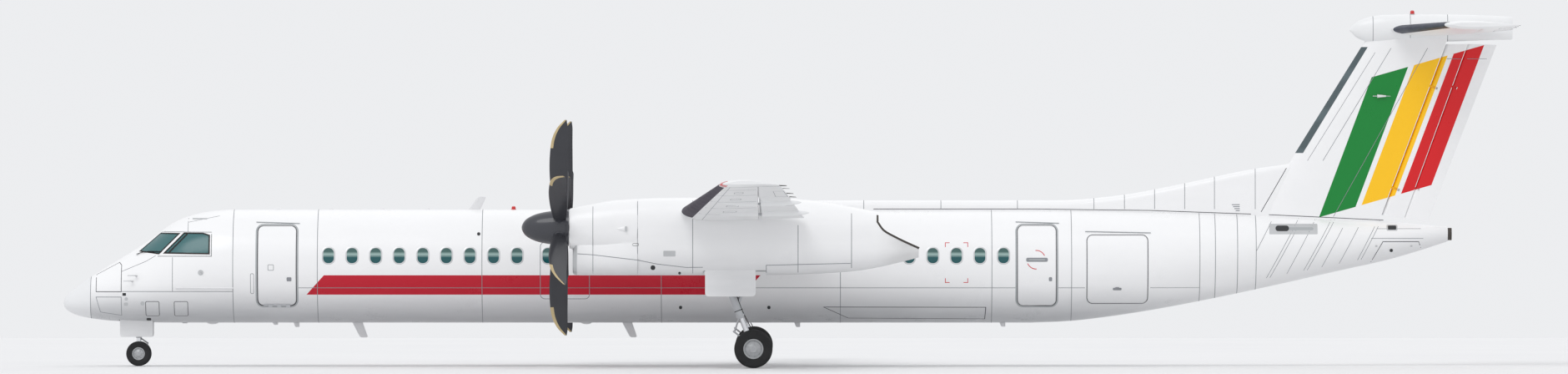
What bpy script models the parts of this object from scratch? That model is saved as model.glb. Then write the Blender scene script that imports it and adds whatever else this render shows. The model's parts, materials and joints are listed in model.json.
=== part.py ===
"""Twin turboprop regional airliner with a high wing and a T-tail, standing on its landing gear.

Metres, +Z up, the ground at z = 0, the nose towards -X and the left side towards -Y. Lengthwise
places are stations: metres aft of the nose tip. Heights are metres above the ground.
"""

import math

import bmesh
import bpy
from mathutils import Matrix, Vector

# Driving dimensions
LENGTH = 32.83
SPAN = 28.42
TAIL_SPAN = 9.27
WHEEL_TRACK = 8.80
PROPELLER_RADIUS = 2.41
MAIN_TYRE_RADIUS = 0.43
NOSE_TYRE_RADIUS = 0.28
MAIN_AXLE_STATION = 15.64
NOSE_AXLE_STATION = 1.71

# Clearances: faces that rest on each other, running faces, and moving edges
GAP = 0.0003
RUN = 0.0005
CLEAR = 0.008

LEFT = -1
RIGHT = 1
SIDE_NAMES = {LEFT: "left", RIGHT: "right"}
AFT = Vector((1.0, 0.0, 0.0))

# Body sections: station, crown height, keel height, height of the widest line, half width
BODY_SIDES = 30
BODY = (
    (0.000, 1.450, 1.390, 1.420, 0.040),
    (0.072, 1.591, 1.277, 1.420, 0.200),
    (0.216, 1.717, 1.187, 1.428, 0.340),
    (0.432, 1.888, 1.115, 1.456, 0.480),
    (0.719, 2.077, 1.066, 1.501, 0.620),
    (1.079, 2.301, 1.025, 1.582, 0.760),
    (1.438, 2.517, 1.007, 1.672, 0.880),
    (1.942, 2.841, 0.989, 1.825, 1.030),
    (2.517, 3.254, 0.980, 2.014, 1.170),
    (2.805, 3.380, 0.980, 2.086, 1.230),
    (3.092, 3.461, 0.980, 2.131, 1.275),
    (3.524, 3.524, 0.980, 2.179, 1.325),
    (3.884, 3.542, 0.980, 2.197, 1.345),
    (22.00, 3.542, 0.980, 2.197, 1.345),
    (22.80, 3.537, 1.019, 2.211, 1.340),
    (23.52, 3.528, 1.097, 2.247, 1.320),
    (24.60, 3.506, 1.259, 2.346, 1.260),
    (26.03, 3.461, 1.528, 2.517, 1.120),
    (27.47, 3.398, 1.834, 2.679, 0.910),
    (28.91, 3.335, 2.158, 2.823, 0.650),
    (29.99, 3.281, 2.400, 2.904, 0.440),
    (30.71, 3.200, 2.607, 2.949, 0.290),
    (31.36, 3.150, 2.820, 2.990, 0.150),
)

# Body pieces between their frame joints: name, first station, last station, paint
BODY_PIECES = (
    ("radome", 0.0, 0.636, "grey"),
    ("cockpit_section", 0.636, 3.884, "white"),
    ("entry_section", 3.884, 5.790, "white"),
    ("cabin_section", 5.790, 21.02, "white"),
    ("aft_cabin_section", 21.02, 25.72, "white"),
    ("tail_section", 25.72, 31.36, "white"),
)

# Fairing over the wing root: station, half width, top height
ROOT_FAIRING_FLOOR = 2.30
ROOT_FAIRING = (
    (12.60, 0.30, 3.450),
    (13.00, 0.90, 3.560),
    (13.50, 1.22, 3.600),
    (15.60, 1.27, 3.600),
    (16.80, 1.27, 3.600),
    (17.60, 1.00, 3.560),
    (18.30, 0.30, 3.450),
)

# Doors in the skin: name, side, first and last station, sill and head height
DOOR_CORNER = 0.12
DOORS = (
    ("entry_door", LEFT, 4.450, 5.300, 1.385, 3.165),
    ("front_exit_door", RIGHT, 4.560, 5.180, 1.700, 3.000),
    ("aft_passenger_door", LEFT, 21.61, 22.46, 1.385, 3.170),
    ("aft_service_door", RIGHT, 21.70, 22.40, 1.560, 3.000),
    ("baggage_door", LEFT, 23.18, 24.53, 1.435, 2.955),
)
DOOR_THICKNESS = 0.08
DOOR_BACK_GAP = 0.004
ENTRY_DOOR_GAP = 0.006

# Entrance behind the entry door: station, depth and height ranges, and the stair on the door
VESTIBULE_STATIONS = (4.48, 5.27)
VESTIBULE_DEPTH = 0.15
VESTIBULE_HEIGHTS = (1.46, 3.08)
VESTIBULE_CORNER = 0.06
STAIR_OPEN_ANGLE = 130.0
STAIR_TREADS = 4
STAIR_FIRST_RISE = 0.36
STAIR_RISE = 0.34
STAIR_TREAD_HALF = 0.30
STAIR_TREAD_ROOT = 0.05
STAIR_TREAD_DEPTH = 0.20
STAIR_TREAD_THICKNESS = 0.025

# Hinge of the entry door, and the room round it for the door's inner foot
HINGE_OUT = 0.022
HINGE_RADIUS = 0.016
HINGE_KNUCKLES = 6
HINGE_KNUCKLE = 0.10
HINGE_START = 0.12
HINGE_FLANGE = 0.05
HINGE_RELIEF = 0.012

# Cockpit panes, side view corners as station and height
PANE_RECESS = 0.004
PANE_THICKNESS = 0.03
PANES = (
    ("windscreen", (
        (1.750, 2.602), (2.215, 3.007), (2.650, 2.998), (2.197, 2.544),
    )),
    ("side_window", (
        (2.320, 2.560), (2.766, 3.009), (3.200, 3.004), (3.342, 2.957), (3.342, 2.544),
    )),
)
WINDSCREEN_POST = 0.03

# Wing stations: distance from the centreline, leading edge station and height,
# trailing edge station and height, thickness ratio
WING_JOINT = 5.0
WING_TIP_START = 13.87
WING = (
    (0.00, 14.013, 3.490, 16.820, 3.355, 0.157),
    (WING_JOINT, 14.013, 3.490, 16.820, 3.355, 0.157),
    (14.00, 14.930, 4.103, 16.250, 4.076, 0.120),
    (SPAN / 2.0, 15.020, 4.125, 16.230, 4.095, 0.070),
)
WING_CAMBER = 0.030
WING_REAR = 0.62
AILERON_SPAN = (10.42, 13.83)
AILERON_SETBACK = 0.045
AILERON_LUG_REACH = 0.062
FLAP_SPANS = {"inboard": (1.31, 3.78), "outboard": (5.03, 10.34)}
FLAP_TRACKS = {"inboard": (2.55,), "outboard": (7.0, 9.8)}
FLAP_PIVOT = 0.66
FLAP_DROP = 0.05
FLAP_SHARES = (0.985, 0.85, 0.72, 0.655)
FLAP_NOSE_GAP = 0.010

# Flap track fairings: half width, reach past the trailing edge, reach ahead as a share of the
# chord, depth below the pivot, and the section as shares of the half width and the depth
CANOE_HALF = 0.075
CANOE_OVERHANG = 0.19
CANOE_LEAD = 0.42
CANOE_DEPTH = 0.055
CANOE_SECTION = (
    (-1.0, 0.0), (-1.0, 0.6), (-0.6, 0.92), (0.0, 1.0), (0.6, 0.92), (1.0, 0.6), (1.0, 0.0),
)
SPOILER_SPAN = (6.1, 9.0)
SPOILER_CHORD = (0.45, 0.59)
SPOILER_THICKNESS = 0.022

# Tailplane stations, in the same columns as the wing
TAILPLANE = (
    (0.00, 30.010, 7.607, 32.790, 7.600, 0.100),
    (4.50, 31.120, 7.680, 32.790, 7.668, 0.115),
    (TAIL_SPAN / 2.0, 31.250, 7.684, 32.770, 7.672, 0.070),
)
ELEVATOR_HINGE = 32.02
ELEVATOR_SPAN = (0.26, 4.47)
ELEVATOR_LUG_REACH = 0.08

# Hinge lugs of the control surfaces: places along the span, radius as a share of the surface's
# nose, width, and the room behind each lug
LUG_SHARES = (0.2, 0.8)
LUG_NOSE = 0.6
LUG_WIDTH = 0.04
LUG_ROOM = 0.012
SLOT_HEIGHT = 0.4
RUDDER_LUG_HEIGHTS = (4.0, 6.3)
RUDDER_LUG_WIDTH = 0.05
NOSE_SWEEP = 1.07

# Fin and rudder: lines as (station, height) at foot and head
FIN_EDGE = ((26.960, 3.300), (29.450, 7.290))
FORE_HINGE = ((29.966, 3.382), (31.446, 7.312))
REAR_HINGE = ((30.439, 3.344), (31.868, 7.228))
RUDDER_EDGE = ((30.903, 3.229), (32.485, 7.305))
FIN_THICKNESS = 0.11
RUDDER_HEAD = 7.285

# Spine ahead of the fin: station, top height, half width
SPINE = (
    (15.90, 3.650, 0.10),
    (16.50, 3.745, 0.19),
    (22.60, 3.752, 0.19),
    (23.90, 3.860, 0.18),
    (25.30, 4.115, 0.17),
    (26.80, 4.430, 0.16),
    (27.78, 4.580, 0.14),
)
SPINE_FLOOR = 3.20

# Tail bullet: station, top, bottom, half width
BULLET = (
    (29.135, 7.625, 7.590, 0.02),
    (29.300, 7.790, 7.430, 0.13),
    (29.550, 7.890, 7.330, 0.19),
    (29.900, 7.945, 7.296, 0.23),
    (30.500, 7.958, 7.340, 0.24),
    (31.400, 7.955, 7.345, 0.22),
    (32.300, 7.930, 7.372, 0.17),
    (LENGTH, 7.905, 7.385, 0.08),
)

# Nacelle: station, top, bottom, half width
NACELLE_Y = WHEEL_TRACK / 2.0
NACELLE_SIDES = 20
COWL_JOINT = 13.05
COWL = (
    (11.520, 3.563, 2.675, 0.420),
    (11.700, 3.610, 2.620, 0.465),
    (12.050, 3.673, 2.553, 0.510),
    (12.500, 3.752, 2.499, 0.540),
    (COWL_JOINT, 3.788, 2.416, 0.560),
)
CHIN = (
    (11.600, 2.720, 2.110, 0.360),
    (11.720, 2.900, 2.073, 0.400),
    (12.300, 3.000, 2.073, 0.470),
    (COWL_JOINT, 3.200, 2.073, 0.540),
)
NACELLE = (
    (COWL_JOINT, 3.788, 2.073, 0.560),
    (13.480, 3.804, 2.073, 0.560),
    (14.300, 3.808, 2.073, 0.560),
    (16.300, 3.790, 2.084, 0.560),
    (17.220, 3.720, 2.120, 0.550),
    (17.820, 3.607, 2.160, 0.520),
    (18.410, 3.500, 2.250, 0.450),
    (18.960, 3.400, 2.375, 0.330),
    (19.340, 3.300, 2.475, 0.220),
)
# Slanted cut at the jet pipe, side view corners as station and height
EXHAUST_CUT = (
    (18.43, 3.70), (18.43, 3.27), (18.56, 3.09), (18.87, 2.91), (19.36, 2.68), (19.60, 2.68), (19.60, 3.70),
)
JET_PIPE = ((17.90, 3.05), (19.00, 3.02))
EXHAUST_RADIUS = 0.21
INTAKE = (11.55, 12.35)
ENGINE_STATIONS = (12.05, 13.95)
ENGINE_HALF_WIDTH = 0.33
ENGINE_HEIGHTS = (2.78, 3.42)

# Propeller and spinner: station, radius
PROPELLER_HEIGHT = 3.14
PROPELLER_STATION = 11.30
BLADES = 6
SPINNER = (
    (10.450, 0.000), (10.500, 0.075), (10.640, 0.175), (10.860, 0.275), (11.170, 0.367), (11.510, 0.410),
)
SPINNER_STEPS = 18
SHAFT_RADIUS = 0.07
SHAFT_HOLE_RADIUS = 0.09
# Blade: radius, chord, thickness ratio, pitch from the disc in degrees, shift of the chord's middle
BLADE = (
    (0.18, 0.20, 0.55, 82.0, 0.000),
    (0.45, 0.30, 0.22, 78.0, 0.000),
    (0.90, 0.40, 0.12, 73.0, -0.015),
    (1.40, 0.44, 0.09, 69.0, -0.025),
    (1.90, 0.41, 0.07, 66.0, -0.010),
    (2.25, 0.34, 0.06, 64.0, 0.030),
    (PROPELLER_RADIUS, 0.18, 0.07, 63.0, 0.090),
)

# Blade section round the nose: share of the chord from its middle, share of the thickness
BLADE_SECTION = ((-0.5, 0.0), (-0.28, 0.45), (0.05, 0.5), (0.5, 0.0), (0.05, -0.5), (-0.28, -0.45))

# Main gear: bay, leg, yoke, brace and links; the links' knee is set off from the leg's line
MAIN_BAY = (14.54, 15.93)
MAIN_BAY_HALF = 0.36
MAIN_BAY_TOP = 2.75
MAIN_PIVOT = (14.86, 2.44)
MAIN_PIN_RADIUS = 0.065
MAIN_CYLINDER_RADIUS = 0.095
MAIN_PISTON_RADIUS = 0.060
MAIN_BOSS_HALF = 0.085
MAIN_BOSS_RADIUS = 0.095
MAIN_BORE_RADIUS = 0.052
MAIN_YOKE_REACH = 0.27
MAIN_BRACE_TOP = (15.81, 2.61)
MAIN_BRACE_RADIUS = 0.045
MAIN_BRACE_PIN = 0.040
MAIN_LINK_KNEE = (-0.27, 0.0, -0.02)
MAIN_LINK_FOOT = 0.05
MAIN_LINK_RADIUS = 0.028
# Door plates: first and last station, foot and head height
MAIN_DOOR = (14.56, 15.69, 1.60, 2.36)
DOOR_PLATE = 0.02

# Wheels: half width, rim radius, distance from the middle, boss half width, axle radius
MAIN_WHEEL = (0.135, 0.21, 0.255, MAIN_BOSS_HALF, 0.045)
WHEEL_STEPS = 20
AXLE_CORE = 0.02

# Nose gear
NOSE_BAY = (1.27, 2.06)
NOSE_BAY_HALF = 0.27
NOSE_BAY_TOP = 1.46
NOSE_PIVOT_HEIGHT = 1.33
NOSE_PIN_RADIUS = 0.045
NOSE_LEG_FOOT = 0.74
NOSE_LEG_RADIUS = 0.08
NOSE_BRACE_FOOT = 0.92
NOSE_BRACE_TOP = (1.37, 1.36)
NOSE_BRACE_RADIUS = 0.032
NOSE_FORK_RADIUS = 0.055
NOSE_BOSS_HALF = 0.075
NOSE_BOSS_RADIUS = 0.065
NOSE_BORE_RADIUS = 0.034
NOSE_LINK_KNEE = (0.20, 0.52)
NOSE_LINK_TOP = 0.66
NOSE_LINK_RADIUS = 0.022
NOSE_DOOR = (1.29, 2.04, 0.66, 1.27)
NOSE_WHEEL = (0.085, 0.13, 0.19, NOSE_BOSS_HALF, 0.028)

# Edges sharper than this stay sharp in the shading, in degrees
SHARP_ANGLE = 30.0

# Blade antennas of the cabin section: side (1 above, -1 below), root's first and last station,
# tip's first and last station, height of the tip
ANTENNA_HALF = 0.016
ANTENNAS = (
    (1, 9.165, 9.435, 9.385, 9.583, 3.830),
    (-1, 6.539, 6.773, 6.724, 6.904, 0.645),
    (-1, 12.652, 12.878, 12.837, 13.000, 0.650),
)

# Jacking pads: radius, and the station, distance from the centreline and face height of each
PAD_RADIUS = 0.06
NOSE_PAD = (2.75, 0.0, 0.965)
WING_PAD = (15.0, 2.0, 3.275)

# Paint: colour, roughness, metallic
PAINTS = {
    "white": ((0.86, 0.86, 0.87), 0.35, 0.0),
    "grey": ((0.62, 0.63, 0.64), 0.45, 0.0),
    "metal": ((0.55, 0.56, 0.58), 0.35, 0.9),
    "engine": ((0.30, 0.31, 0.32), 0.5, 0.8),
    "glass": ((0.05, 0.12, 0.13), 0.08, 0.0),
    "blade": ((0.05, 0.05, 0.06), 0.4, 0.0),
    "rubber": ((0.03, 0.03, 0.03), 0.8, 0.0),
    "burnt": ((0.12, 0.11, 0.10), 0.5, 0.7),
}


# Scene, collections and materials

for old in list(bpy.data.objects):
    bpy.data.objects.remove(old)

parts = bpy.data.collections.new("turboprop_airliner")
bpy.context.scene.collection.children.link(parts)
cutters = bpy.data.collections.new("cutters")
cutters.hide_render = True
bpy.context.scene.collection.children.link(cutters)


def place(station, across, height):
    """Point at a station, a distance to the right of the centreline and a height."""
    return Vector((station - LENGTH / 2.0, across, height))


def finish_for(name, paint):
    colour, roughness, metallic = PAINTS[paint]
    material = bpy.data.materials.new(name + "_" + paint)
    material.use_nodes = True
    shader = material.node_tree.nodes["Principled BSDF"]
    shader.inputs["Base Color"].default_value = (*colour, 1.0)
    shader.inputs["Roughness"].default_value = roughness
    shader.inputs["Metallic"].default_value = metallic
    return material


def add_object(name, mesh_data, paint=None):
    """Object for a bmesh: a part when it has a paint, otherwise a tool that is used up later."""
    bmesh.ops.recalc_face_normals(mesh_data, faces=mesh_data.faces)
    mesh = bpy.data.meshes.new(name)
    mesh_data.to_mesh(mesh)
    mesh_data.free()
    result = bpy.data.objects.new(name, mesh)
    if paint:
        parts.objects.link(result)
        mesh.materials.append(finish_for(name, paint))
    else:
        cutters.objects.link(result)
        result.display_type = "WIRE"
    return result


# Shapes

def loft(name, rings, paint=None):
    """Closed skin through rings that have the same number of points."""
    shape = bmesh.new()
    loops = [[shape.verts.new(point) for point in ring] for ring in rings]
    for near, far in zip(loops, loops[1:]):
        for i in range(len(near)):
            j = (i + 1) % len(near)
            shape.faces.new((near[i], near[j], far[j]))
            shape.faces.new((near[i], far[j], far[i]))
    shape.faces.new(loops[0])
    shape.faces.new(loops[-1])
    return add_object(name, shape, paint)


def grown(rings, amount):
    """The same rings, each pushed out in its own plane, with the end rings moved out too."""
    result = []
    for ring in rings:
        middle = sum(ring, Vector()) / len(ring)
        normal = Vector()
        for a, b in zip(ring, ring[1:] + ring[:1]):
            normal += (a - middle).cross(b - middle)
        normal.normalize()
        moved = []
        for before, point, after in zip(ring[-1:] + ring[:-1], ring, ring[1:] + ring[:1]):
            first = (point - before).normalized().cross(normal)
            second = (after - point).normalized().cross(normal)
            outward = (first + second).normalized()
            moved.append(point + outward * amount / max(0.4, outward.dot(first)))
        result.append(moved)
    for end, inner in ((0, 1), (-1, -2)):
        away = sum(rings[end], Vector()) / len(rings[end]) - sum(rings[inner], Vector()) / len(rings[inner])
        away.normalize()
        result[end] = [point + away * amount for point in result[end]]
    return result


def box(name, low, high, paint=None, corner=0.0, along=1):
    """Box between two corners, with its edges along one axis rounded if a corner radius is given."""
    shape = bmesh.new()
    bmesh.ops.create_cube(shape, size=1.0)
    for vert in shape.verts:
        vert.co = Vector([low[k] + (vert.co[k] + 0.5) * (high[k] - low[k]) for k in range(3)])
    if corner:
        edges = [e for e in shape.edges if abs((e.verts[0].co - e.verts[1].co)[along]) > 1e-6]
        bmesh.ops.bevel(shape, geom=edges, offset=corner, segments=3, profile=0.5, affect="EDGES")
    return add_object(name, shape, paint)


def rod(name, start, end, radius, paint=None, sides=12, end_radius=None):
    """Round bar between two points."""
    shape = bmesh.new()
    span = end - start
    tip = radius if end_radius is None else end_radius
    bmesh.ops.create_cone(shape, cap_ends=True, segments=sides, radius1=radius, radius2=tip, depth=span.length)
    turn = span.to_track_quat("Z", "Y").to_matrix().to_4x4()
    bmesh.ops.transform(shape, matrix=Matrix.Translation((start + end) / 2.0) @ turn, verts=shape.verts)
    return add_object(name, shape, paint)


def prism(name, outline, low, high):
    """Side view outline of (station, height) corners, run across from low to high."""
    return loft(name, [[place(s, across, z) for s, z in outline] for across in (low, high)])


def turned(name, profile, steps, matrix, paint=None, closed=False):
    """Profile of (radius, height) points swept round Z by a Screw, then set in place."""
    shape = bmesh.new()
    points = [shape.verts.new((radius, 0.0, height)) for radius, height in profile]
    for a, b in zip(points, points[1:] + (points[:1] if closed else [])):
        shape.edges.new((a, b))
    mesh = bpy.data.meshes.new(name + "_profile")
    shape.to_mesh(mesh)
    shape.free()
    outline = bpy.data.objects.new(name + "_profile", mesh)
    cutters.objects.link(outline)
    screw = outline.modifiers.new("turn", "SCREW")
    screw.steps = steps
    screw.render_steps = steps
    screw.use_merge_vertices = True
    screw.merge_threshold = 0.0001
    skin = bmesh.new()
    skin.from_mesh(evaluated_mesh(outline))
    bpy.data.objects.remove(outline)
    bmesh.ops.transform(skin, matrix=matrix, verts=skin.verts)
    return add_object(name, skin, paint)


def evaluated_mesh(source):
    bpy.context.view_layer.update()
    graph = bpy.context.evaluated_depsgraph_get()
    return bpy.data.meshes.new_from_object(source.evaluated_get(graph))


def combine(target, tool, operation):
    """Boolean of two solids; the tool is used up."""
    step = target.modifiers.new("shape", "BOOLEAN")
    step.operation = operation
    step.object = tool
    mesh = evaluated_mesh(target)
    target.modifiers.remove(step)
    target.data = mesh
    bpy.data.objects.remove(tool)


def cut(target, tool):
    combine(target, tool, "DIFFERENCE")


def fuse(target, tool):
    combine(target, tool, "UNION")


def keep(target, tool):
    combine(target, tool, "INTERSECT")


def set_origin(part, point):
    """Move a part's origin to a point without moving its shape."""
    part.data.transform(Matrix.Translation(-point))
    part.location = point


# Body

def between(rows, key):
    """Row of a table at a key, straight between its neighbours."""
    for low, high in zip(rows, rows[1:]):
        if key <= high[0]:
            break
    share = (key - low[0]) / (high[0] - low[0])
    return [a + (b - a) * share for a, b in zip(low, high)]


def body_ring(station, grow=0.0):
    station, crown, keel, waist, half = between(BODY, station)
    ring = []
    for k in range(BODY_SIDES):
        angle = 2.0 * math.pi * (k + 0.5) / BODY_SIDES
        rise = (crown - waist if math.sin(angle) > 0.0 else waist - keel) + grow
        ring.append(place(station, (half + grow) * math.cos(angle), waist + rise * math.sin(angle)))
    return ring


def body_skin(name, first, last, grow=0.0, paint=None):
    rows = {row[0] for row in BODY} | {piece[1] for piece in BODY_PIECES}
    stations = [first] + sorted(s for s in rows if first + 0.01 < s < last - 0.01) + [last]
    return loft(name, [body_ring(s, grow) for s in stations], paint)


def root_fairing(grow=0.0):
    rings = []
    for station, half, top in ROOT_FAIRING:
        shoulder = min(0.35, half * 0.6)
        low = ROOT_FAIRING_FLOOR
        outline = [(-half, low), (-half, top - 0.30), (-half + shoulder * 0.35, top - 0.12)]
        outline += [(-half + shoulder, top - 0.03), (0.0, top), (half - shoulder, top - 0.03)]
        outline += [(half - shoulder * 0.35, top - 0.12), (half, top - 0.30), (half, low)]
        rings.append([place(station, y, z) for y, z in outline])
    return loft("root_fairing", grown(rings, grow) if grow else rings)


def door_prism(side, first, last, sill, head, margin=0.0):
    near, far = sorted((side * 0.55, side * 1.60))
    low = place(first - margin, near, sill - margin)
    high = place(last + margin, far, head + margin)
    return box("door_prism", low, high, corner=DOOR_CORNER + margin)


def build_body():
    pieces = {}
    for name, first, last, paint in BODY_PIECES:
        start = first if first == 0.0 else first + GAP / 2.0
        end = last if name == "tail_section" else last - GAP / 2.0
        pieces[name] = body_skin(name, start, end, paint=paint)
    fuse(pieces["cabin_section"], root_fairing())
    return pieces


def door_owner(first):
    """Body piece that a station lies in: its name and its end stations."""
    for name, start, end, _ in BODY_PIECES:
        if start < first < end:
            return name, start, end
    return None


def build_doors(pieces):
    doors = {}
    for name, side, first, last, sill, head in DOORS:
        margin = ENTRY_DOOR_GAP if name == "entry_door" else GAP
        owner, start, end = door_owner(first)
        pocket = door_prism(side, first, last, sill, head, margin)
        cut(pocket, body_skin("inner", start, end, -DOOR_THICKNESS - DOOR_BACK_GAP))
        cut(pieces[owner], pocket)
        door = body_skin(name, start + GAP / 2.0, end - GAP / 2.0, paint="white")
        keep(door, door_prism(side, first, last, sill, head))
        cut(door, body_skin("inner", start, end, -DOOR_THICKNESS))
        doors[name] = door
    return doors


def skin_half_width(station, height):
    """Half width of the body at a height."""
    _, crown, keel, waist, half = between(BODY, station)
    rise = crown - waist if height > waist else waist - keel
    return half * math.sqrt(1.0 - ((height - waist) / rise) ** 2)


def build_entry(pieces, doors):
    """Entrance hollow, the stair on its door and the hinge along the sill."""
    section = pieces["entry_section"]
    door = doors["entry_door"]
    _, _, first, last, sill, _ = DOORS[0]
    low = place(VESTIBULE_STATIONS[0], -1.6, VESTIBULE_HEIGHTS[0])
    high = place(VESTIBULE_STATIONS[1], -VESTIBULE_DEPTH, VESTIBULE_HEIGHTS[1])
    cut(section, box("vestibule", low, high, corner=VESTIBULE_CORNER))
    middle = (first + last) / 2.0
    hinge_y = -skin_half_width(middle, sill) - HINGE_OUT
    hinge = place(middle, hinge_y, sill - ENTRY_DOOR_GAP / 2.0)
    cut(section, door_foot_room(hinge, first, last, sill))

    for k in range(STAIR_TREADS):
        height = sill + STAIR_FIRST_RISE + STAIR_RISE * k
        inner = -skin_half_width(middle, height) + DOOR_THICKNESS
        low = (-STAIR_TREAD_HALF, -STAIR_TREAD_ROOT, -STAIR_TREAD_THICKNESS)
        tread = box("tread", low, (STAIR_TREAD_HALF, STAIR_TREAD_DEPTH, 0.0))
        tread.data.transform(Matrix.Rotation(math.radians(180.0 - STAIR_OPEN_ANGLE), 4, "X"))
        tread.data.transform(Matrix.Translation(place(middle, inner, height)))
        fuse(door, tread)

    for k in range(HINGE_KNUCKLES):
        start = hinge.copy()
        end = hinge.copy()
        start.x = place(first + HINGE_START + k * HINGE_KNUCKLE + RUN / 2.0, 0.0, 0.0).x
        end.x = start.x + HINGE_KNUCKLE - RUN
        owner = section if k % 2 else door
        fuse(owner, rod("knuckle", start, end, HINGE_RADIUS, sides=10))
        foot = hinge.z - HINGE_FLANGE if owner is section else hinge.z
        low = (start.x, hinge.y, foot)
        high = (end.x, hinge.y + HINGE_FLANGE, foot + HINGE_FLANGE)
        fuse(owner, box("flange", low, high))
    set_origin(door, hinge)


def door_foot_room(hinge, first, last, sill):
    """Half round room above the sill, in which the foot of the door turns about its hinge."""
    _, _, keel, waist, half = between(BODY, first)
    drop = (waist - sill) / (waist - keel - DOOR_THICKNESS)
    foot = -(half - DOOR_THICKNESS) * math.sqrt(1.0 - drop ** 2)
    radius = foot - hinge.y + HINGE_RELIEF
    start = hinge.copy()
    end = hinge.copy()
    start.x = place(first - ENTRY_DOOR_GAP, 0.0, 0.0).x
    end.x = place(last + ENTRY_DOOR_GAP, 0.0, 0.0).x
    room = rod("door_foot_room", start, end, radius, sides=32)
    low = (start.x - 0.1, hinge.y - 0.5, sill - ENTRY_DOOR_GAP)
    keep(room, box("above_sill", low, (end.x + 0.1, hinge.y + 0.5, sill + 0.5)))
    return room


def jack_pad(owner, station, across, face):
    """Round pad with a flat face downwards, for a jack."""
    top = place(station, across, face + 0.07)
    fuse(owner, rod("pad", place(station, across, face), top, PAD_RADIUS, sides=16))


def build_antennas(section):
    """Swept blades on the crown and the keel of the cabin section."""
    for side, first, last, tip_first, tip_last, tip in ANTENNAS:
        _, crown, keel, _, _ = between(BODY, first)
        root = crown - 0.02 if side > 0 else keel + 0.02
        rings = []
        for start, end, height in ((first, last, root), (tip_first, tip_last, tip)):
            middle = start + (end - start) * 0.35
            outline = [(start, 0.0), (middle, ANTENNA_HALF), (end, 0.0), (middle, -ANTENNA_HALF)]
            rings.append([place(station, across, height) for station, across in outline])
        fuse(section, loft("antenna", rings))


def build_panes(pieces):
    section = pieces["cockpit_section"]
    for side in (LEFT, RIGHT):
        for name, outline in PANES:
            near, far = sorted((side * WINDSCREEN_POST, side * 1.6))
            first = outline[0][0] - 0.3
            last = outline[-2][0] + 0.3
            skin = -PANE_RECESS
            back = skin - PANE_THICKNESS
            pane = body_skin(name + "_" + SIDE_NAMES[side], first, last, skin, paint="glass")
            cut(pane, body_skin("inner", first - 0.1, last + 0.1, back))
            keep(pane, prism("pane_prism", outline, near, far))
            rings = [[place(s, across, z) for s, z in outline] for across in (near, far)]
            pocket = loft("pane_pocket", grown(rings, GAP))
            cut(pocket, body_skin("inner", first - 0.2, last + 0.2, back - GAP))
            cut(section, pocket)


# Aerofoils

def half_thickness(share, ratio):
    """Half thickness of the section as a share of the chord."""
    thickness = 0.2969 * math.sqrt(max(share, 0.0))
    for power, factor in enumerate((-0.126, -0.3516, 0.2843, -0.1036), start=1):
        thickness += factor * share ** power
    return 5.0 * ratio * thickness


def aerofoil_point(row, side, share, face, camber):
    """Point on the upper (1), lower (-1) or mean (0) line of a wing row."""
    across, nose_s, nose_z, tail_s, tail_z, ratio = row
    chord = tail_s - nose_s
    lift = camber * 4.0 * share * (1.0 - share) + face * half_thickness(share, ratio)
    return place(nose_s + chord * share, side * across, nose_z + (tail_z - nose_z) * share + chord * lift)


def front_ring(row, side, camber, rear):
    """Ring round the fixed part of a section, from the rear face round the nose."""
    shares = [0.0, 0.012, 0.05, 0.13, 0.27, 0.44, rear]
    upper = [aerofoil_point(row, side, share, 1, camber) for share in reversed(shares)]
    lower = [aerofoil_point(row, side, share, -1, camber) for share in shares[1:]]
    return upper + lower


def whole_ring(row, side, camber):
    shares = [0.0, 0.012, 0.05, 0.13, 0.27, 0.44, 0.62, 0.80, 0.985]
    upper = [aerofoil_point(row, side, share, 1, camber) for share in reversed(shares)]
    lower = [aerofoil_point(row, side, share, -1, camber) for share in shares[1:]]
    return upper + lower


def moving_ring(hinge, radius, edge, edge_half=0.004, arcs=6):
    """Ring of a hinged surface: a round nose about the hinge and a straight taper to its edge."""
    along = (edge - hinge).normalized()
    up = Vector((-along.z, 0.0, along.x))
    ring = [edge + up * edge_half]
    for k in range(arcs + 1):
        angle = math.pi / 2.0 + math.pi * k / arcs
        ring.append(hinge + (along * math.cos(angle) + up * math.sin(angle)) * radius)
    ring.append(edge - up * edge_half)
    return ring


def frame_at(point, axis, aft):
    """Matrix with X towards aft, Y along the axis and Z square to both."""
    y = axis.normalized()
    x = (aft - y * aft.dot(y)).normalized()
    z = x.cross(y)
    turn = Matrix((x, y, z)).transposed().to_4x4()
    return Matrix.Translation(point) @ turn


def hinge_lug(fixed, moving, point, axis, aft, radius, reach, width=LUG_WIDTH, head=SLOT_HEIGHT):
    """Lug on the fixed piece round the hinge line, in a slot of the moving piece."""
    matrix = frame_at(point, axis, aft)
    outline = [(-reach, -0.8 * radius)]
    outline += [(radius * math.sin(math.pi * k / 6), -radius * math.cos(math.pi * k / 6)) for k in range(7)]
    outline += [(-reach, 0.8 * radius)]
    rings = [[matrix @ Vector((x, side * width / 2.0, z)) for x, z in outline] for side in (-1, 1)]
    slot = box("slot", (-reach, -width / 2.0 - RUN, -head), (radius + LUG_ROOM, width / 2.0 + RUN, head))
    slot.data.transform(matrix)
    cut(moving, slot)
    fuse(fixed, loft("lug", rings))


# Wing

def wing_row(across):
    return between(WING, across)


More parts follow.
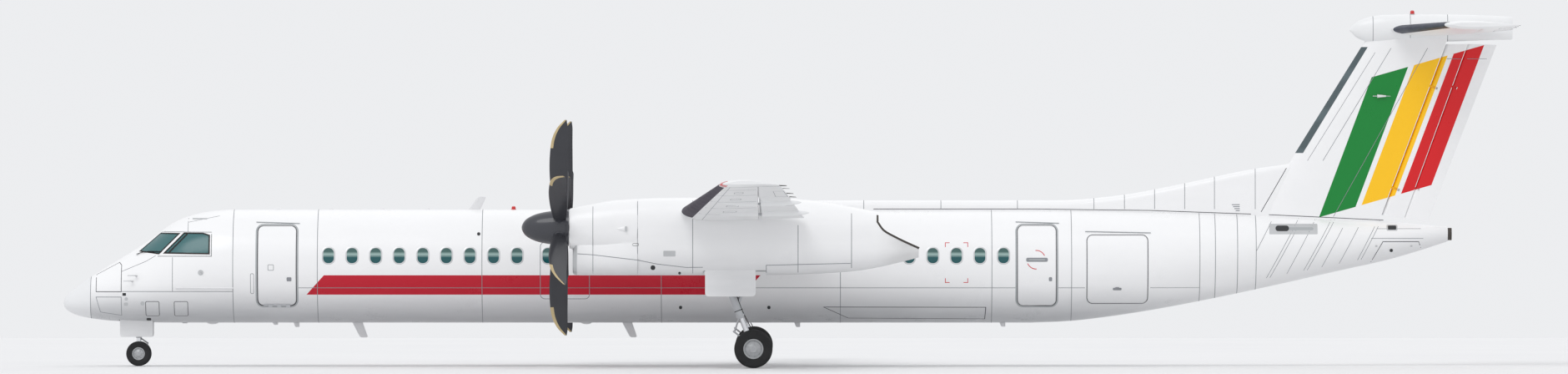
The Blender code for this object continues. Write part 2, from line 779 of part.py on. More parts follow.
def canoe(y, first, last, top, bottom, half, tail_first):
    """Slim fairing of a flap hinge, between two stations."""
    rings = []
    for share in (0.0, 0.25, 0.6, 1.0):
        slim = share if tail_first else 1.0 - share
        swell = math.sqrt(1.0 - 0.96 * slim ** 2)
        station = first + (last - first) * share
        depth = (top - bottom) * (0.45 + 0.55 * swell)
        wide = half * swell
        ring = [place(station, y + wide * across, top - depth * down) for across, down in CANOE_SECTION]
        rings.append(ring)
    return loft("canoe", rings)


def flap_pivot(across, side):
    row = wing_row(across)
    low = aerofoil_point(row, side, FLAP_PIVOT, -1, WING_CAMBER)
    return low - Vector((0.0, 0.0, FLAP_DROP))


def build_flap(kind, side, wing):
    span = FLAP_SPANS[kind]
    name = "flap_" + kind + "_" + SIDE_NAMES[side]
    rings = []
    for across in span:
        row = wing_row(across)
        nose = WING_REAR + FLAP_NOSE_GAP
        ring = [aerofoil_point(row, side, share, 1, WING_CAMBER) for share in FLAP_SHARES]
        ring.append(aerofoil_point(row, side, nose, 0.55, WING_CAMBER))
        ring.append(aerofoil_point(row, side, nose, -0.3, WING_CAMBER))
        ring += [aerofoil_point(row, side, share, -1, WING_CAMBER) for share in reversed(FLAP_SHARES)]
        rings.append(ring)
    flap = loft(name, rings, "white")
    axis = flap_pivot(span[1], side) - flap_pivot(span[0], side)
    for across in FLAP_TRACKS[kind]:
        row = wing_row(across)
        pivot = flap_pivot(across, side)
        face = aerofoil_point(row, side, WING_REAR, -1, WING_CAMBER)
        tail = aerofoil_point(row, side, 1.0, 0, WING_CAMBER)
        station = pivot.x + LENGTH / 2.0
        y = side * across
        bottom = pivot.z - CANOE_DEPTH
        end = tail.x + LENGTH / 2.0 + CANOE_OVERHANG
        fuse(flap, canoe(y, station - 0.02, end, pivot.z + 0.10, bottom, CANOE_HALF, True))
        first = station - CANOE_LEAD * (row[3] - row[1])
        end = face.x + LENGTH / 2.0 - 0.001
        fuse(wing, canoe(y, first, end, face.z + 0.06, bottom, CANOE_HALF, False))
        reach = pivot.x - face.x + 0.05
        hinge_lug(wing, flap, pivot, axis, AFT, 0.030, reach, width=0.03, head=0.12)
    set_origin(flap, flap_pivot(span[0], side))
    return flap


def hinged_surface(name, rows, side, camber, hinge_share, paint):
    """Control surface between two rows, hinged at a share of each row's chord."""
    rings = []
    hinges = []
    for row in rows:
        share = hinge_share(row)
        hinge = aerofoil_point(row, side, share, 0, camber)
        radius = half_thickness(share, row[5]) * (row[3] - row[1])
        edge = aerofoil_point(row, side, 1.0, 0, camber)
        rings.append(moving_ring(hinge, radius, edge))
        hinges.append((hinge, radius))
    return loft(name, rings, paint), hinges


def aileron_share(row):
    return WING_REAR + AILERON_SETBACK


def build_outer_wing(side):
    name = "wing_" + SIDE_NAMES[side]
    rows = [wing_row(WING_JOINT + GAP), wing_row(14.0)]
    wing = loft(name, [front_ring(row, side, WING_CAMBER, WING_REAR) for row in rows], "white")
    tip_rows = [wing_row(WING_TIP_START), wing_row(14.0), wing_row(SPAN / 2.0)]
    fuse(wing, loft("tip", [whole_ring(row, side, WING_CAMBER) for row in tip_rows]))

    build_spoiler(side, wing)

    rows = [wing_row(across) for across in AILERON_SPAN]
    name = "aileron_" + SIDE_NAMES[side]
    aileron, hinges = hinged_surface(name, rows, side, WING_CAMBER, aileron_share, "white")
    add_lugs(wing, aileron, hinges, LUG_SHARES, AILERON_LUG_REACH)
    set_origin(aileron, hinges[0][0])
    build_flap("outboard", side, wing)
    return wing


def add_lugs(fixed, moving, hinges, shares, reach):
    (first, first_radius), (last, last_radius) = hinges
    axis = last - first
    for share in shares:
        point = first + axis * share
        nose = first_radius + (last_radius - first_radius) * share
        hinge_lug(fixed, moving, point, axis, AFT, nose * LUG_NOSE, nose + reach)


def build_spoiler(side, wing):
    """Thin panel in a recess of the wing's upper skin, hinged along its front edge."""
    rings = []
    pocket = []
    for across in SPOILER_SPAN:
        row = wing_row(across)
        front = aerofoil_point(row, side, SPOILER_CHORD[0], 1, WING_CAMBER)
        rear = aerofoil_point(row, side, SPOILER_CHORD[1], 1, WING_CAMBER)
        down = Vector((0.0, 0.0, -SPOILER_THICKNESS))
        back = Vector((0.05, 0.0, 0.0))
        rings.append([front, rear, rear + down, front + back + down])
        edge = (rear - front).normalized() * CLEAR
        lift = Vector((0.0, 0.0, 0.06))
        floor = down - Vector((0.0, 0.0, GAP))
        pocket.append([front - edge + lift, rear + edge + lift, rear + edge + floor, front - edge + floor])
    shift = (rings[1][0] - rings[0][0]).normalized() * CLEAR
    pocket = [[point - shift for point in pocket[0]], [point + shift for point in pocket[1]]]
    cut(wing, loft("spoiler_pocket", pocket))
    spoiler = loft("spoiler_" + SIDE_NAMES[side], rings, "white")
    set_origin(spoiler, rings[0][0])


def build_wings():
    centre_rows = [(-WING_JOINT, *WING[0][1:]), (WING_JOINT, *WING[0][1:])]
    centre = loft("wing_centre", [front_ring(row, 1, WING_CAMBER, WING_REAR) for row in centre_rows], "white")
    for side in (LEFT, RIGHT):
        jack_pad(centre, WING_PAD[0], side * WING_PAD[1], WING_PAD[2])
        build_flap("inboard", side, centre)
        build_outer_wing(side)


def wing_tool():
    """The centre wing grown by the resting gap, to seat it in the body and the nacelles."""
    rows = [(-WING_JOINT, *WING[0][1:]), (WING_JOINT, *WING[0][1:])]
    rings = [front_ring(row, 1, WING_CAMBER, WING_REAR) for row in rows]
    return loft("wing_tool", grown(rings, GAP))


# Nacelles and engines

def oval_ring(station, y, top, bottom, half, sides, power):
    ring = []
    middle = (top + bottom) / 2.0
    for k in range(sides):
        angle = 2.0 * math.pi * (k + 0.5) / sides
        c = math.cos(angle)
        s = math.sin(angle)
        across = math.copysign(abs(c) ** (2.0 / power), c) * half
        rise = math.copysign(abs(s) ** (2.0 / power), s) * (top - bottom) / 2.0
        ring.append(place(station, y + across, middle + rise))
    return ring


def oval_skin(name, table, y, sides, power, paint=None, grow=0.0):
    rings = [oval_ring(s, y, top, bottom, half, sides, power) for s, top, bottom, half in table]
    return loft(name, grown(rings, grow) if grow else rings, paint)


def build_power_unit(side):
    y = side * NACELLE_Y
    label = SIDE_NAMES[side]
    engine_low = place(ENGINE_STATIONS[0], y - ENGINE_HALF_WIDTH, ENGINE_HEIGHTS[0])
    engine_high = place(ENGINE_STATIONS[1], y + ENGINE_HALF_WIDTH, ENGINE_HEIGHTS[1])
    margin = Vector((GAP, GAP, GAP))
    shaft_end = place(SPINNER[-1][0] + RUN, y, PROPELLER_HEIGHT)
    shaft_start = place(ENGINE_STATIONS[0] + 0.1, y, PROPELLER_HEIGHT)

    cowl_rows = list(COWL[:-1]) + [(COWL_JOINT - GAP, *COWL[-1][1:])]
    chin_rows = list(CHIN[:-1]) + [(COWL_JOINT - GAP, *CHIN[-1][1:])]
    cowl = oval_skin("engine_cowl_" + label, cowl_rows, y, NACELLE_SIDES, 2.2, "white")
    fuse(cowl, oval_skin("chin", chin_rows, y, NACELLE_SIDES, 2.6))
    intake = ((INTAKE[0], 2.640, 2.150, 0.300), (INTAKE[1], 2.560, 2.200, 0.220))
    cut(cowl, oval_skin("intake", intake, y, 16, 2.6))
    cut(cowl, box("engine_bay", engine_low - margin, engine_high + margin + Vector((1.0, 0.0, 0.0))))
    cut(cowl, rod("shaft_hole", shaft_end - Vector((0.2, 0.0, 0.0)), shaft_start, SHAFT_HOLE_RADIUS))

    nacelle = oval_skin("nacelle_" + label, NACELLE, y, NACELLE_SIDES, 2.6, "white")
    cut(nacelle, wing_tool())
    cut(nacelle, box("engine_bay", engine_low - margin, engine_high + margin))
    cut(nacelle, prism("exhaust_cut", EXHAUST_CUT, y - 0.8, y + 0.8))
    pipe_root, pipe_mouth = (place(station, y, height) for station, height in JET_PIPE)
    cut(nacelle, rod("jet_pipe", pipe_root, pipe_mouth, EXHAUST_RADIUS, sides=16))
    bay_low = place(MAIN_BAY[0], y - MAIN_BAY_HALF, 1.9)
    bay_high = place(MAIN_BAY[1], y + MAIN_BAY_HALF, MAIN_BAY_TOP)
    cut(nacelle, box("gear_bay", bay_low, bay_high))

    engine = box("engine_" + label, engine_low, engine_high, "engine")
    fuse(engine, rod("shaft", shaft_start, shaft_end, SHAFT_RADIUS))


def build_propeller(side):
    y = side * NACELLE_Y
    centre = place(PROPELLER_STATION, y, PROPELLER_HEIGHT)
    back = SPINNER[-1][0]
    profile = [(radius, back - station) for station, radius in SPINNER] + [(0.0, 0.0)]
    turn = Matrix.Translation(place(back, y, PROPELLER_HEIGHT)) @ Matrix.Rotation(-math.pi / 2.0, 4, "Y")
    propeller = turned("propeller_" + SIDE_NAMES[side], profile, SPINNER_STEPS, turn, "blade")
    for k in range(BLADES):
        around = Matrix.Rotation(2.0 * math.pi * k / BLADES, 4, "X")
        rings = []
        for radius, chord, ratio, pitch, shift in BLADE:
            angle = math.radians(pitch)
            along = Vector((-math.sin(angle), math.cos(angle), 0.0))
            thick = Vector((math.cos(angle), math.sin(angle), 0.0))
            ring = []
            for share, lift in BLADE_SECTION:
                offset = along * (share * chord - shift) + thick * (lift * chord * ratio)
                ring.append(centre + around @ (offset + Vector((0.0, 0.0, radius))))
            rings.append(ring)
        fuse(propeller, loft("blade", rings))
    set_origin(propeller, centre)


# Tail

def line_at(line, height):
    """Station of a slanted line at a height."""
    (foot_s, foot_z), (head_s, head_z) = line
    return foot_s + (head_s - foot_s) * (height - foot_z) / (head_z - foot_z)


def fin_half(height, station):
    nose = line_at(FIN_EDGE, height)
    chord = line_at(RUDDER_EDGE, height) - nose
    return half_thickness((station - nose) / chord, FIN_THICKNESS) * chord


def fin_ring(height):
    """Ring round the fixed fin at a height."""
    nose = line_at(FIN_EDGE, height)
    hinge = line_at(FORE_HINGE, height)
    rear = hinge - fin_half(height, hinge) * NOSE_SWEEP - CLEAR
    ring = []
    shares = (0.0, 0.015, 0.06, 0.18, 0.40, 0.70, 1.0)
    for share in reversed(shares):
        station = nose + (rear - nose) * share
        ring.append(place(station, fin_half(height, station), height))
    for share in shares[1:]:
        station = nose + (rear - nose) * share
        ring.append(place(station, -fin_half(height, station), height))
    return ring


def rudder_ring(front_line, rear_line, height, drop, follows):
    """Ring of a rudder piece: a round nose on its hinge line, a flat or thin rear edge."""
    hinge = line_at(front_line, height)
    radius = fin_half(height, hinge)
    edge = line_at(rear_line, height)
    if follows:
        edge_half = fin_half(height, edge)
        edge = edge - edge_half * NOSE_SWEEP - CLEAR
    else:
        edge_half = 0.005
    points = [(edge, edge_half)]
    for k in range(7):
        angle = math.pi * k / 6
        points.append((hinge - radius * math.sin(angle), radius * math.cos(angle)))
    points.append((edge, -edge_half))
    slope = (front_line[1][0] - front_line[0][0]) / (front_line[1][1] - front_line[0][1])
    ring = []
    for station, across in points:
        fall = drop * (station - hinge) / (edge - hinge)
        ring.append(place(station - fall * slope, across, height - fall))
    return ring


def rudder_piece(name, front_line, rear_line, foot, foot_drop, head, head_drop, follows):
    rings = [rudder_ring(front_line, rear_line, foot, foot_drop, follows)]
    rings.append(rudder_ring(front_line, rear_line, head, head_drop, follows))
    return loft(name, rings, "white")


def line_point(line, height):
    return place(line_at(line, height), 0.0, height)


def build_fin(pieces):
    heights = (3.20, 4.60, 6.00, 7.60)
    fin = loft("fin", [fin_ring(z) for z in heights], "white")
    cut(fin, body_skin("tail_tool", 25.0, 31.36, GAP))

    fore = rudder_piece("rudder_fore", FORE_HINGE, REAR_HINGE, 3.405, 0.055, RUDDER_HEAD, 0.0, True)
    rear = rudder_piece("rudder_trailing", REAR_HINGE, RUDDER_EDGE, 3.350, 0.090, RUDDER_HEAD, 0.02, False)
    for line, fixed, moving, reach in ((FORE_HINGE, fin, fore, 0.10), (REAR_HINGE, fore, rear, 0.06)):
        axis = line_point(line, 7.0) - line_point(line, 4.0)
        for height in RUDDER_LUG_HEIGHTS:
            point = line_point(line, height)
            radius = fin_half(height, line_at(line, height))
            depth = radius * NOSE_SWEEP + reach
            hinge_lug(fixed, moving, point, axis, AFT, radius * LUG_NOSE, depth, RUDDER_LUG_WIDTH)
    set_origin(fore, line_point(FORE_HINGE, 4.0))
    set_origin(rear, line_point(REAR_HINGE, 4.0))
    return fin


def spine_rings():
    rings = []
    for station, top, half in SPINE:
        low = SPINE_FLOOR
        outline = [(-half * 1.25, low), (-half * 1.1, top - 0.16), (-half * 0.55, top - 0.03), (0.0, top)]
        outline += [(half * 0.55, top - 0.03), (half * 1.1, top - 0.16), (half * 1.25, low)]
        rings.append([place(station, y, z) for y, z in outline])
    return rings


def build_spine():
    spine = loft("dorsal_spine", spine_rings(), "white")
    cut(spine, body_skin("body_tool", 10.0, 31.0, GAP))
    cut(spine, root_fairing(GAP))
    cut(spine, loft("fin_tool", grown([fin_ring(z) for z in (3.0, 4.60, 6.0)], GAP)))


def elevator_share(row):
    return (ELEVATOR_HINGE - row[1]) / (row[3] - row[1])


def tail_rear(row):
    """Share of the chord at which the fixed tailplane ends."""
    share = elevator_share(row)
    chord = row[3] - row[1]
    return share - half_thickness(share, row[5]) - CLEAR / chord


def build_tailplane(fin):
    tip = TAIL_SPAN / 2.0
    spans = [-TAILPLANE[1][0], 0.0, TAILPLANE[1][0]]
    rings = []
    for y in spans:
        row = between(TAILPLANE, abs(y))
        row[0] = y
        rings.append(front_ring(row, 1, 0.0, tail_rear(row)))
    plane = loft("tailplane", rings, "white")
    for side in (LEFT, RIGHT):
        rows = [between(TAILPLANE, y) for y in (ELEVATOR_SPAN[1] + 0.015, TAILPLANE[1][0], tip)]
        fuse(plane, loft("tip", [whole_ring(row, side, 0.0) for row in rows]))
        rows = [between(TAILPLANE, y) for y in ELEVATOR_SPAN]
        name = "elevator_" + SIDE_NAMES[side]
        elevator, hinges = hinged_surface(name, rows, side, 0.0, elevator_share, "white")
        add_lugs(plane, elevator, hinges, LUG_SHARES, ELEVATOR_LUG_REACH)
        set_origin(elevator, hinges[0][0])

    bullet = oval_skin("tail_bullet", BULLET, 0.0, 16, 2.0, "white")
    cut(bullet, loft("plane_tool", grown(rings, GAP)))
    beacon = rod("beacon", place(30.56, 0.0, 7.90), place(30.56, 0.0, 8.05), 0.05, sides=12, end_radius=0.03)
    fuse(bullet, beacon)
    cut(fin, oval_skin("bullet_tool", BULLET, 0.0, 16, 2.0, grow=GAP))


def build_tail_pipe():
    """Short pipe of the auxiliary power unit at the end of the tail."""
    start = place(31.36 + GAP, 0.0, 2.985)
    end = place(31.45, 0.0, 2.985)
    pipe = rod("apu_exhaust", start, end, 0.14, "burnt", sides=20)
    cut(pipe, rod("bore", start + Vector((0.02, 0.0, 0.0)), end + Vector((0.1, 0.0, 0.0)), 0.11, sides=20))


# Landing gear

def wheel_profile(tyre_radius, half_width, rim_radius, inner_face, outer_face, offset):
    """Closed section of one wheel, as (radius, distance along the axle) to the flats."""
    shoulder = tyre_radius - half_width * 0.55
    outer = offset + half_width
    inner = offset - half_width
    section = [
        (AXLE_CORE, outer_face), (rim_radius * 0.8, outer_face), (rim_radius, outer - half_width * 0.25),
        (shoulder, outer), (tyre_radius, offset + half_width * 0.45), (tyre_radius, offset - half_width * 0.45),
        (shoulder, inner), (rim_radius * 0.6, inner_face), (AXLE_CORE, inner_face),
    ]
    swell = 1.0 / math.cos(math.pi / WHEEL_STEPS)
    return [(radius * swell, along) for radius, along in section]


def wheel_pair(name, centre, tyre_radius, half_width, rim_radius, offset, boss_half, axle_radius):
    """Twin wheels and their axle as one body, standing on a flat of their tyres."""
    outer_face = offset + half_width * 0.55
    inner_face = boss_half + RUN
    profile = wheel_profile(tyre_radius, half_width, rim_radius, inner_face, outer_face, offset)
    half_step = Matrix.Rotation(math.pi / WHEEL_STEPS, 4, "Z")
    pair = None
    for side in (LEFT, RIGHT):
        turn = Matrix.Translation(centre) @ Matrix.Rotation(-side * math.pi / 2.0, 4, "X") @ half_step
        if pair is None:
            pair = turned(name, profile, WHEEL_STEPS, turn, "rubber", closed=True)
        else:
            fuse(pair, turned("wheel", profile, WHEEL_STEPS, turn, closed=True))
    reach = Vector((0.0, offset + half_width * 0.6, 0.0))
    fuse(pair, rod("axle", centre - reach, centre + reach, axle_radius, sides=16))
    set_origin(pair, centre)


def build_main_gear(side):
    """Main leg with its yoke, brace and links, its twin wheels and its doors."""
    y = side * NACELLE_Y
    label = SIDE_NAMES[side]
    axle = place(MAIN_AXLE_STATION, y, MAIN_TYRE_RADIUS)
    pivot = place(MAIN_PIVOT[0], y, MAIN_PIVOT[1])
    wheel_pair("main_wheels_" + label, axle, MAIN_TYRE_RADIUS, *MAIN_WHEEL)

    across = Vector((0.0, MAIN_BAY_HALF - GAP, 0.0))
    down = axle - pivot
    leg = rod("main_leg_" + label, pivot - across, pivot + across, MAIN_PIN_RADIUS, "metal")
    fuse(leg, rod("cylinder", pivot, pivot + down * 0.66, MAIN_CYLINDER_RADIUS))
    fuse(leg, rod("piston", pivot + down * 0.60, axle, MAIN_PISTON_RADIUS))
    boss = Vector((0.0, MAIN_BOSS_HALF, 0.0))
    fuse(leg, rod("boss", axle - boss, axle + boss, MAIN_BOSS_RADIUS, sides=16))
    for arm in (LEFT, RIGHT):
        shoulder = pivot + Vector((0.0, arm * MAIN_YOKE_REACH, 0.0))
        fuse(leg, rod("yoke", shoulder, pivot + down * 0.45, MAIN_BRACE_RADIUS, sides=10))
    brace_top = place(MAIN_BRACE_TOP[0], y, MAIN_BRACE_TOP[1])
    fuse(leg, rod("brace", pivot + down * 0.52, brace_top, MAIN_BRACE_RADIUS, sides=10))
    fuse(leg, rod("brace_pin", brace_top - across, brace_top + across, MAIN_BRACE_PIN, sides=10))
    knee = pivot + down * 0.80 + Vector(MAIN_LINK_KNEE)
    fuse(leg, rod("link", pivot + down * 0.62, knee, MAIN_LINK_RADIUS, sides=8))
    foot = axle + Vector((0.0, 0.0, MAIN_LINK_FOOT))
    fuse(leg, rod("link", knee + Vector((-0.02, 0.0, 0.01)), foot, MAIN_LINK_RADIUS, sides=8))
    bore = Vector((0.0, 0.3, 0.0))
    cut(leg, rod("axle_bore", axle - bore, axle + bore, MAIN_BORE_RADIUS, sides=16))

    for edge in (LEFT, RIGHT):
        word = "outer" if edge == side else "inner"
        wall = y + edge * (MAIN_BAY_HALF - GAP)
        low = place(MAIN_DOOR[0], min(wall, wall - edge * DOOR_PLATE), MAIN_DOOR[2])
        high = place(MAIN_DOOR[1], max(wall, wall - edge * DOOR_PLATE), MAIN_DOOR[3])
        box("main_door_" + label + "_" + word, low, high, "white", corner=0.08, along=1)


def build_nose_gear(pieces):
    """Nose leg, the fork that steers in it, the twin wheels and the doors."""
    bay_low = place(NOSE_BAY[0], -NOSE_BAY_HALF, 0.8)
    bay_high = place(NOSE_BAY[1], NOSE_BAY_HALF, NOSE_BAY_TOP)
    cut(pieces["cockpit_section"], box("nose_bay", bay_low, bay_high))

    axle = place(NOSE_AXLE_STATION, 0.0, NOSE_TYRE_RADIUS)
    pivot = place(NOSE_AXLE_STATION, 0.0, NOSE_PIVOT_HEIGHT)
    foot = place(NOSE_AXLE_STATION, 0.0, NOSE_LEG_FOOT)
    across = Vector((0.0, NOSE_BAY_HALF - GAP, 0.0))
    leg = rod("nose_leg", foot, pivot, NOSE_LEG_RADIUS, "metal", sides=16)
    fuse(leg, rod("pivot", pivot - across, pivot + across, NOSE_PIN_RADIUS, sides=10))
    brace_foot = place(NOSE_AXLE_STATION, 0.0, NOSE_BRACE_FOOT)
    brace_top = place(NOSE_BRACE_TOP[0], 0.0, NOSE_BRACE_TOP[1])
    fuse(leg, rod("brace", brace_foot, brace_top, NOSE_BRACE_RADIUS, sides=10))
    fuse(leg, rod("brace_pin", brace_top - across, brace_top + across, NOSE_BRACE_RADIUS, sides=10))

    top = foot - Vector((0.0, 0.0, RUN))
    fork = rod("nose_fork", axle, top, NOSE_FORK_RADIUS, "metal", sides=16)
    boss = Vector((0.0, NOSE_BOSS_HALF, 0.0))
    fuse(fork, rod("boss", axle - boss, axle + boss, NOSE_BOSS_RADIUS))
    knee = place(NOSE_AXLE_STATION + NOSE_LINK_KNEE[0], 0.0, NOSE_LINK_KNEE[1])
    link_top = place(NOSE_AXLE_STATION, 0.0, NOSE_LINK_TOP)
    fuse(fork, rod("link", knee, link_top, NOSE_LINK_RADIUS, sides=8))
    link_foot = axle + Vector((0.0, 0.0, 0.03))
    fuse(fork, rod("link", knee + Vector((0.01, 0.0, -0.01)), link_foot, NOSE_LINK_RADIUS, sides=8))
    bore = Vector((0.0, 0.3, 0.0))
    cut(fork, rod("axle_bore", axle - bore, axle + bore, NOSE_BORE_RADIUS, sides=16))
    set_origin(fork, axle)
    wheel_pair("nose_wheels", axle, NOSE_TYRE_RADIUS, *NOSE_WHEEL)

    for side in (LEFT, RIGHT):
        wall = side * (NOSE_BAY_HALF - GAP)
        low = place(NOSE_DOOR[0], min(wall, wall - side * DOOR_PLATE), NOSE_DOOR[2])
        high = place(NOSE_DOOR[1], max(wall, wall - side * DOOR_PLATE), NOSE_DOOR[3])
        box("nose_door_" + SIDE_NAMES[side], low, high, "white", corner=0.05, along=1)


def shade(part):
    """Smooth shading over the curves, with the real edges kept sharp."""
    part.data.shade_smooth()
    part.data.set_sharp_from_angle(angle=math.radians(SHARP_ANGLE))


def main():
    pieces = build_body()
    doors = build_doors(pieces)
    build_entry(pieces, doors)
    build_panes(pieces)
    build_nose_gear(pieces)
    jack_pad(pieces["cockpit_section"], *NOSE_PAD)
    build_wings()
    cut(pieces["cabin_section"], wing_tool())
    build_antennas(pieces["cabin_section"])
    build_spine()
    fin = build_fin(pieces)
    build_tailplane(fin)
    build_tail_pipe()
    for side in (LEFT, RIGHT):
        build_power_unit(side)
        build_propeller(side)
        build_main_gear(side)
    for part in parts.objects:
        shade(part)


main()
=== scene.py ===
"""Looks of a twin turboprop regional airliner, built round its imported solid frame.

Metres, +Z up, the ground at z = 0, the nose towards -X and the left side towards -Y. Lengthwise
places are stations, metres aft of the nose tip, and a side view point is (station, height).
"""

import json
import logging
import math
from dataclasses import dataclass, field
from enum import Enum
from typing import Any, Callable, Iterable, Optional, Sequence, Union

import bmesh
import bpy
from mathutils import Matrix, Vector

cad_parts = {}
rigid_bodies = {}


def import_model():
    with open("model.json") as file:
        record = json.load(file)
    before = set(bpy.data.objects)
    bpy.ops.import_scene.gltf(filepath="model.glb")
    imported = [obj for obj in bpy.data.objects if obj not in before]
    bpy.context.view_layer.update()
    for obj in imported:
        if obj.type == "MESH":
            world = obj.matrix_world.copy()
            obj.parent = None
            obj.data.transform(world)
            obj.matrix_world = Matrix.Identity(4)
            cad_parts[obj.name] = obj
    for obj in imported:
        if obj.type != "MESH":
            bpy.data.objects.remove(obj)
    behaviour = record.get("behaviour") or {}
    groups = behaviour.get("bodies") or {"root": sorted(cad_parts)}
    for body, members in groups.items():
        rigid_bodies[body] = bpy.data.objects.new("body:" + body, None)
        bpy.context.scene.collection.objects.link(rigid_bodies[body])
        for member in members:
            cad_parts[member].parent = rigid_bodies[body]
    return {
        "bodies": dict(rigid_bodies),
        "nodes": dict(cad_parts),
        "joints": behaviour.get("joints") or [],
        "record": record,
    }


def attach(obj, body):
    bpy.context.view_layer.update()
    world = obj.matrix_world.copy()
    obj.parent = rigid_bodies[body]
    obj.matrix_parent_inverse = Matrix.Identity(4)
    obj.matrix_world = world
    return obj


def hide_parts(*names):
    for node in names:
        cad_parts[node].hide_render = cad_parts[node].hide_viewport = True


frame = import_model()
log = logging.getLogger("airliner")

Ring = list[Vector]
Point = tuple[float, float]
Colour = tuple[float, float, float]

LENGTH = 32.83
ROOT = "root"
EDGE_HALF = 0.004
SHOULDER = 0.17

UP = Vector((0.0, 0.0, 1.0))
AFT = Vector((1.0, 0.0, 0.0))
AHEAD = Vector((-1.0, 0.0, 0.0))


class Side(Enum):
    """Left or right half, with its sign across."""

    LEFT = -1
    RIGHT = 1

    @property
    def label(self) -> str:
        """Word used in piece names."""
        return self.name.lower()


class Cut(Enum):
    """What a carving tool does to its target."""

    TAKE = "DIFFERENCE"
    JOIN = "UNION"
    KEEP = "INTERSECT"


def spot(station: float, across: float, height: float) -> Vector:
    """Point in the frame of the part.

    Args:
        station: Metres aft of the nose tip.
        across: Metres to the right of the centreline.
        height: Metres above the ground.

    Returns:
        The point.
    """
    return Vector((station - LENGTH / 2.0, across, height))


# Curves and outlines


class Curve:
    """Smooth line through the rows of a table, without overshoot."""

    def __init__(self, rows: Sequence[Sequence[float]], blunt: bool = False) -> None:
        """Keep the rows.

        Args:
            rows: Rows of a key and its values, in order of the key.
            blunt: Whether the first row is the tip of a rounded nose.
        """
        self.first = rows[0][0]
        self.blunt = blunt
        self.keys = [self._key(row[0]) for row in rows]
        self.columns = [list(column) for column in zip(*(row[1:] for row in rows))]
        self.slopes = [self._slopes(column) for column in self.columns]

    def _key(self, value: float) -> float:
        """Key on the scale that the curve is smooth on."""
        return math.sqrt(max(value - self.first, 0.0)) if self.blunt else value

    def _slopes(self, column: list[float]) -> list[float]:
        """Slope at each key, level where the column turns."""
        steps = [b - a for a, b in zip(self.keys, self.keys[1:])]
        rises = [(b - a) / step for a, b, step in zip(column, column[1:], steps)]
        slopes = [rises[0]]
        for k in range(1, len(rises)):
            before, after = rises[k - 1], rises[k]
            if before * after <= 0.0:
                slopes.append(0.0)
                continue
            heavy = 2.0 * steps[k] + steps[k - 1]
            light = steps[k] + 2.0 * steps[k - 1]
            slopes.append((heavy + light) / (heavy / before + light / after))
        return slopes + [rises[-1]]

    def at(self, value: float) -> list[float]:
        """Values at a key.

        Args:
            value: Key, such as a station.

        Returns:
            One number for each column.
        """
        key = self._key(value)
        k = 0
        while k < len(self.keys) - 2 and key > self.keys[k + 1]:
            k += 1
        step = self.keys[k + 1] - self.keys[k]
        t = min(max((key - self.keys[k]) / step, 0.0), 1.0)
        found = []
        for column, slopes in zip(self.columns, self.slopes):
            rest = 1.0 - t
            value_a = column[k] * (1.0 + 2.0 * t) * rest * rest
            value_b = column[k + 1] * (3.0 - 2.0 * t) * t * t
            slope = step * t * rest * (slopes[k] * rest - slopes[k + 1] * t)
            found.append(value_a + value_b + slope)
        return found


def straight(rows: Sequence[Sequence[float]], key: float) -> list[float]:
    """Row of a table at a key, straight between its neighbours.

    Args:
        rows: Rows in order of their first number.
        key: First number that is wanted.

    Returns:
        The whole row, key first.
    """
    low, high = rows[0], rows[1]
    for low, high in zip(rows, rows[1:]):
        if key <= high[0]:
            break
    share = (key - low[0]) / (high[0] - low[0])
    return [a + (b - a) * share for a, b in zip(low, high)]


def spread(first: float, last: float, count: int) -> list[float]:
    """Evenly spaced numbers, both ends among them."""
    return [first + (last - first) * k / (count - 1) for k in range(count)]


def bulged(value: float, power: float) -> float:
    """Power of a number that keeps its sign."""
    return math.copysign(abs(value) ** power, value)


def boxy_ring(station: float, middle: float, sizes: Sequence[float], power: float, sides: int) -> Ring:
    """Ring between an ellipse and a box.

    Args:
        station: Station.
        middle: Distance of its middle from the centreline.
        sizes: Height of its middle, half height and half width.
        power: 2 for an ellipse, more for a boxier ring.
        sides: Points round it.

    Returns:
        The ring.
    """
    height, half_h, half_w = sizes
    ring = []
    for k in range(sides):
        angle = 2.0 * math.pi * (k + 0.5) / sides
        across = bulged(math.cos(angle), 2.0 / power) * half_w
        ring.append(spot(station, middle + across, height + bulged(math.sin(angle), 2.0 / power) * half_h))
    return ring


def rounded(half_w: float, half_h: float, radius: float, arc: int = 6) -> list[Point]:
    """Outline of a rectangle with round corners about its middle.

    Args:
        half_w: Half width.
        half_h: Half height.
        radius: Corner radius.
        arc: Steps in each corner.

    Returns:
        Points round the outline.
    """
    radius = min(radius, half_w - 1e-4, half_h - 1e-4)
    outline = []
    for quarter, (x, z) in enumerate(((1, 1), (-1, 1), (-1, -1), (1, -1))):
        for k in range(arc + 1):
            angle = math.pi / 2.0 * (quarter + k / arc)
            east = x * (half_w - radius) + radius * math.cos(angle)
            outline.append((east, z * (half_h - radius) + radius * math.sin(angle)))
    return outline


def dense(outline: Sequence[Point], step: float, closed: bool) -> list[Point]:
    """Outline with more points along its long edges.

    Args:
        outline: Corner points.
        step: Longest distance between two points.
        closed: Whether the last point joins the first.

    Returns:
        The denser outline.
    """
    ends = list(outline[1:]) + ([outline[0]] if closed else [])
    result: list[Point] = []
    for (a, b), (c, d) in zip(outline, ends):
        count = max(1, math.ceil(math.hypot(c - a, d - b) / step))
        result += [(a + (c - a) * k / count, b + (d - b) * k / count) for k in range(count)]
    return result if closed else result + [outline[-1]]


# Shapes


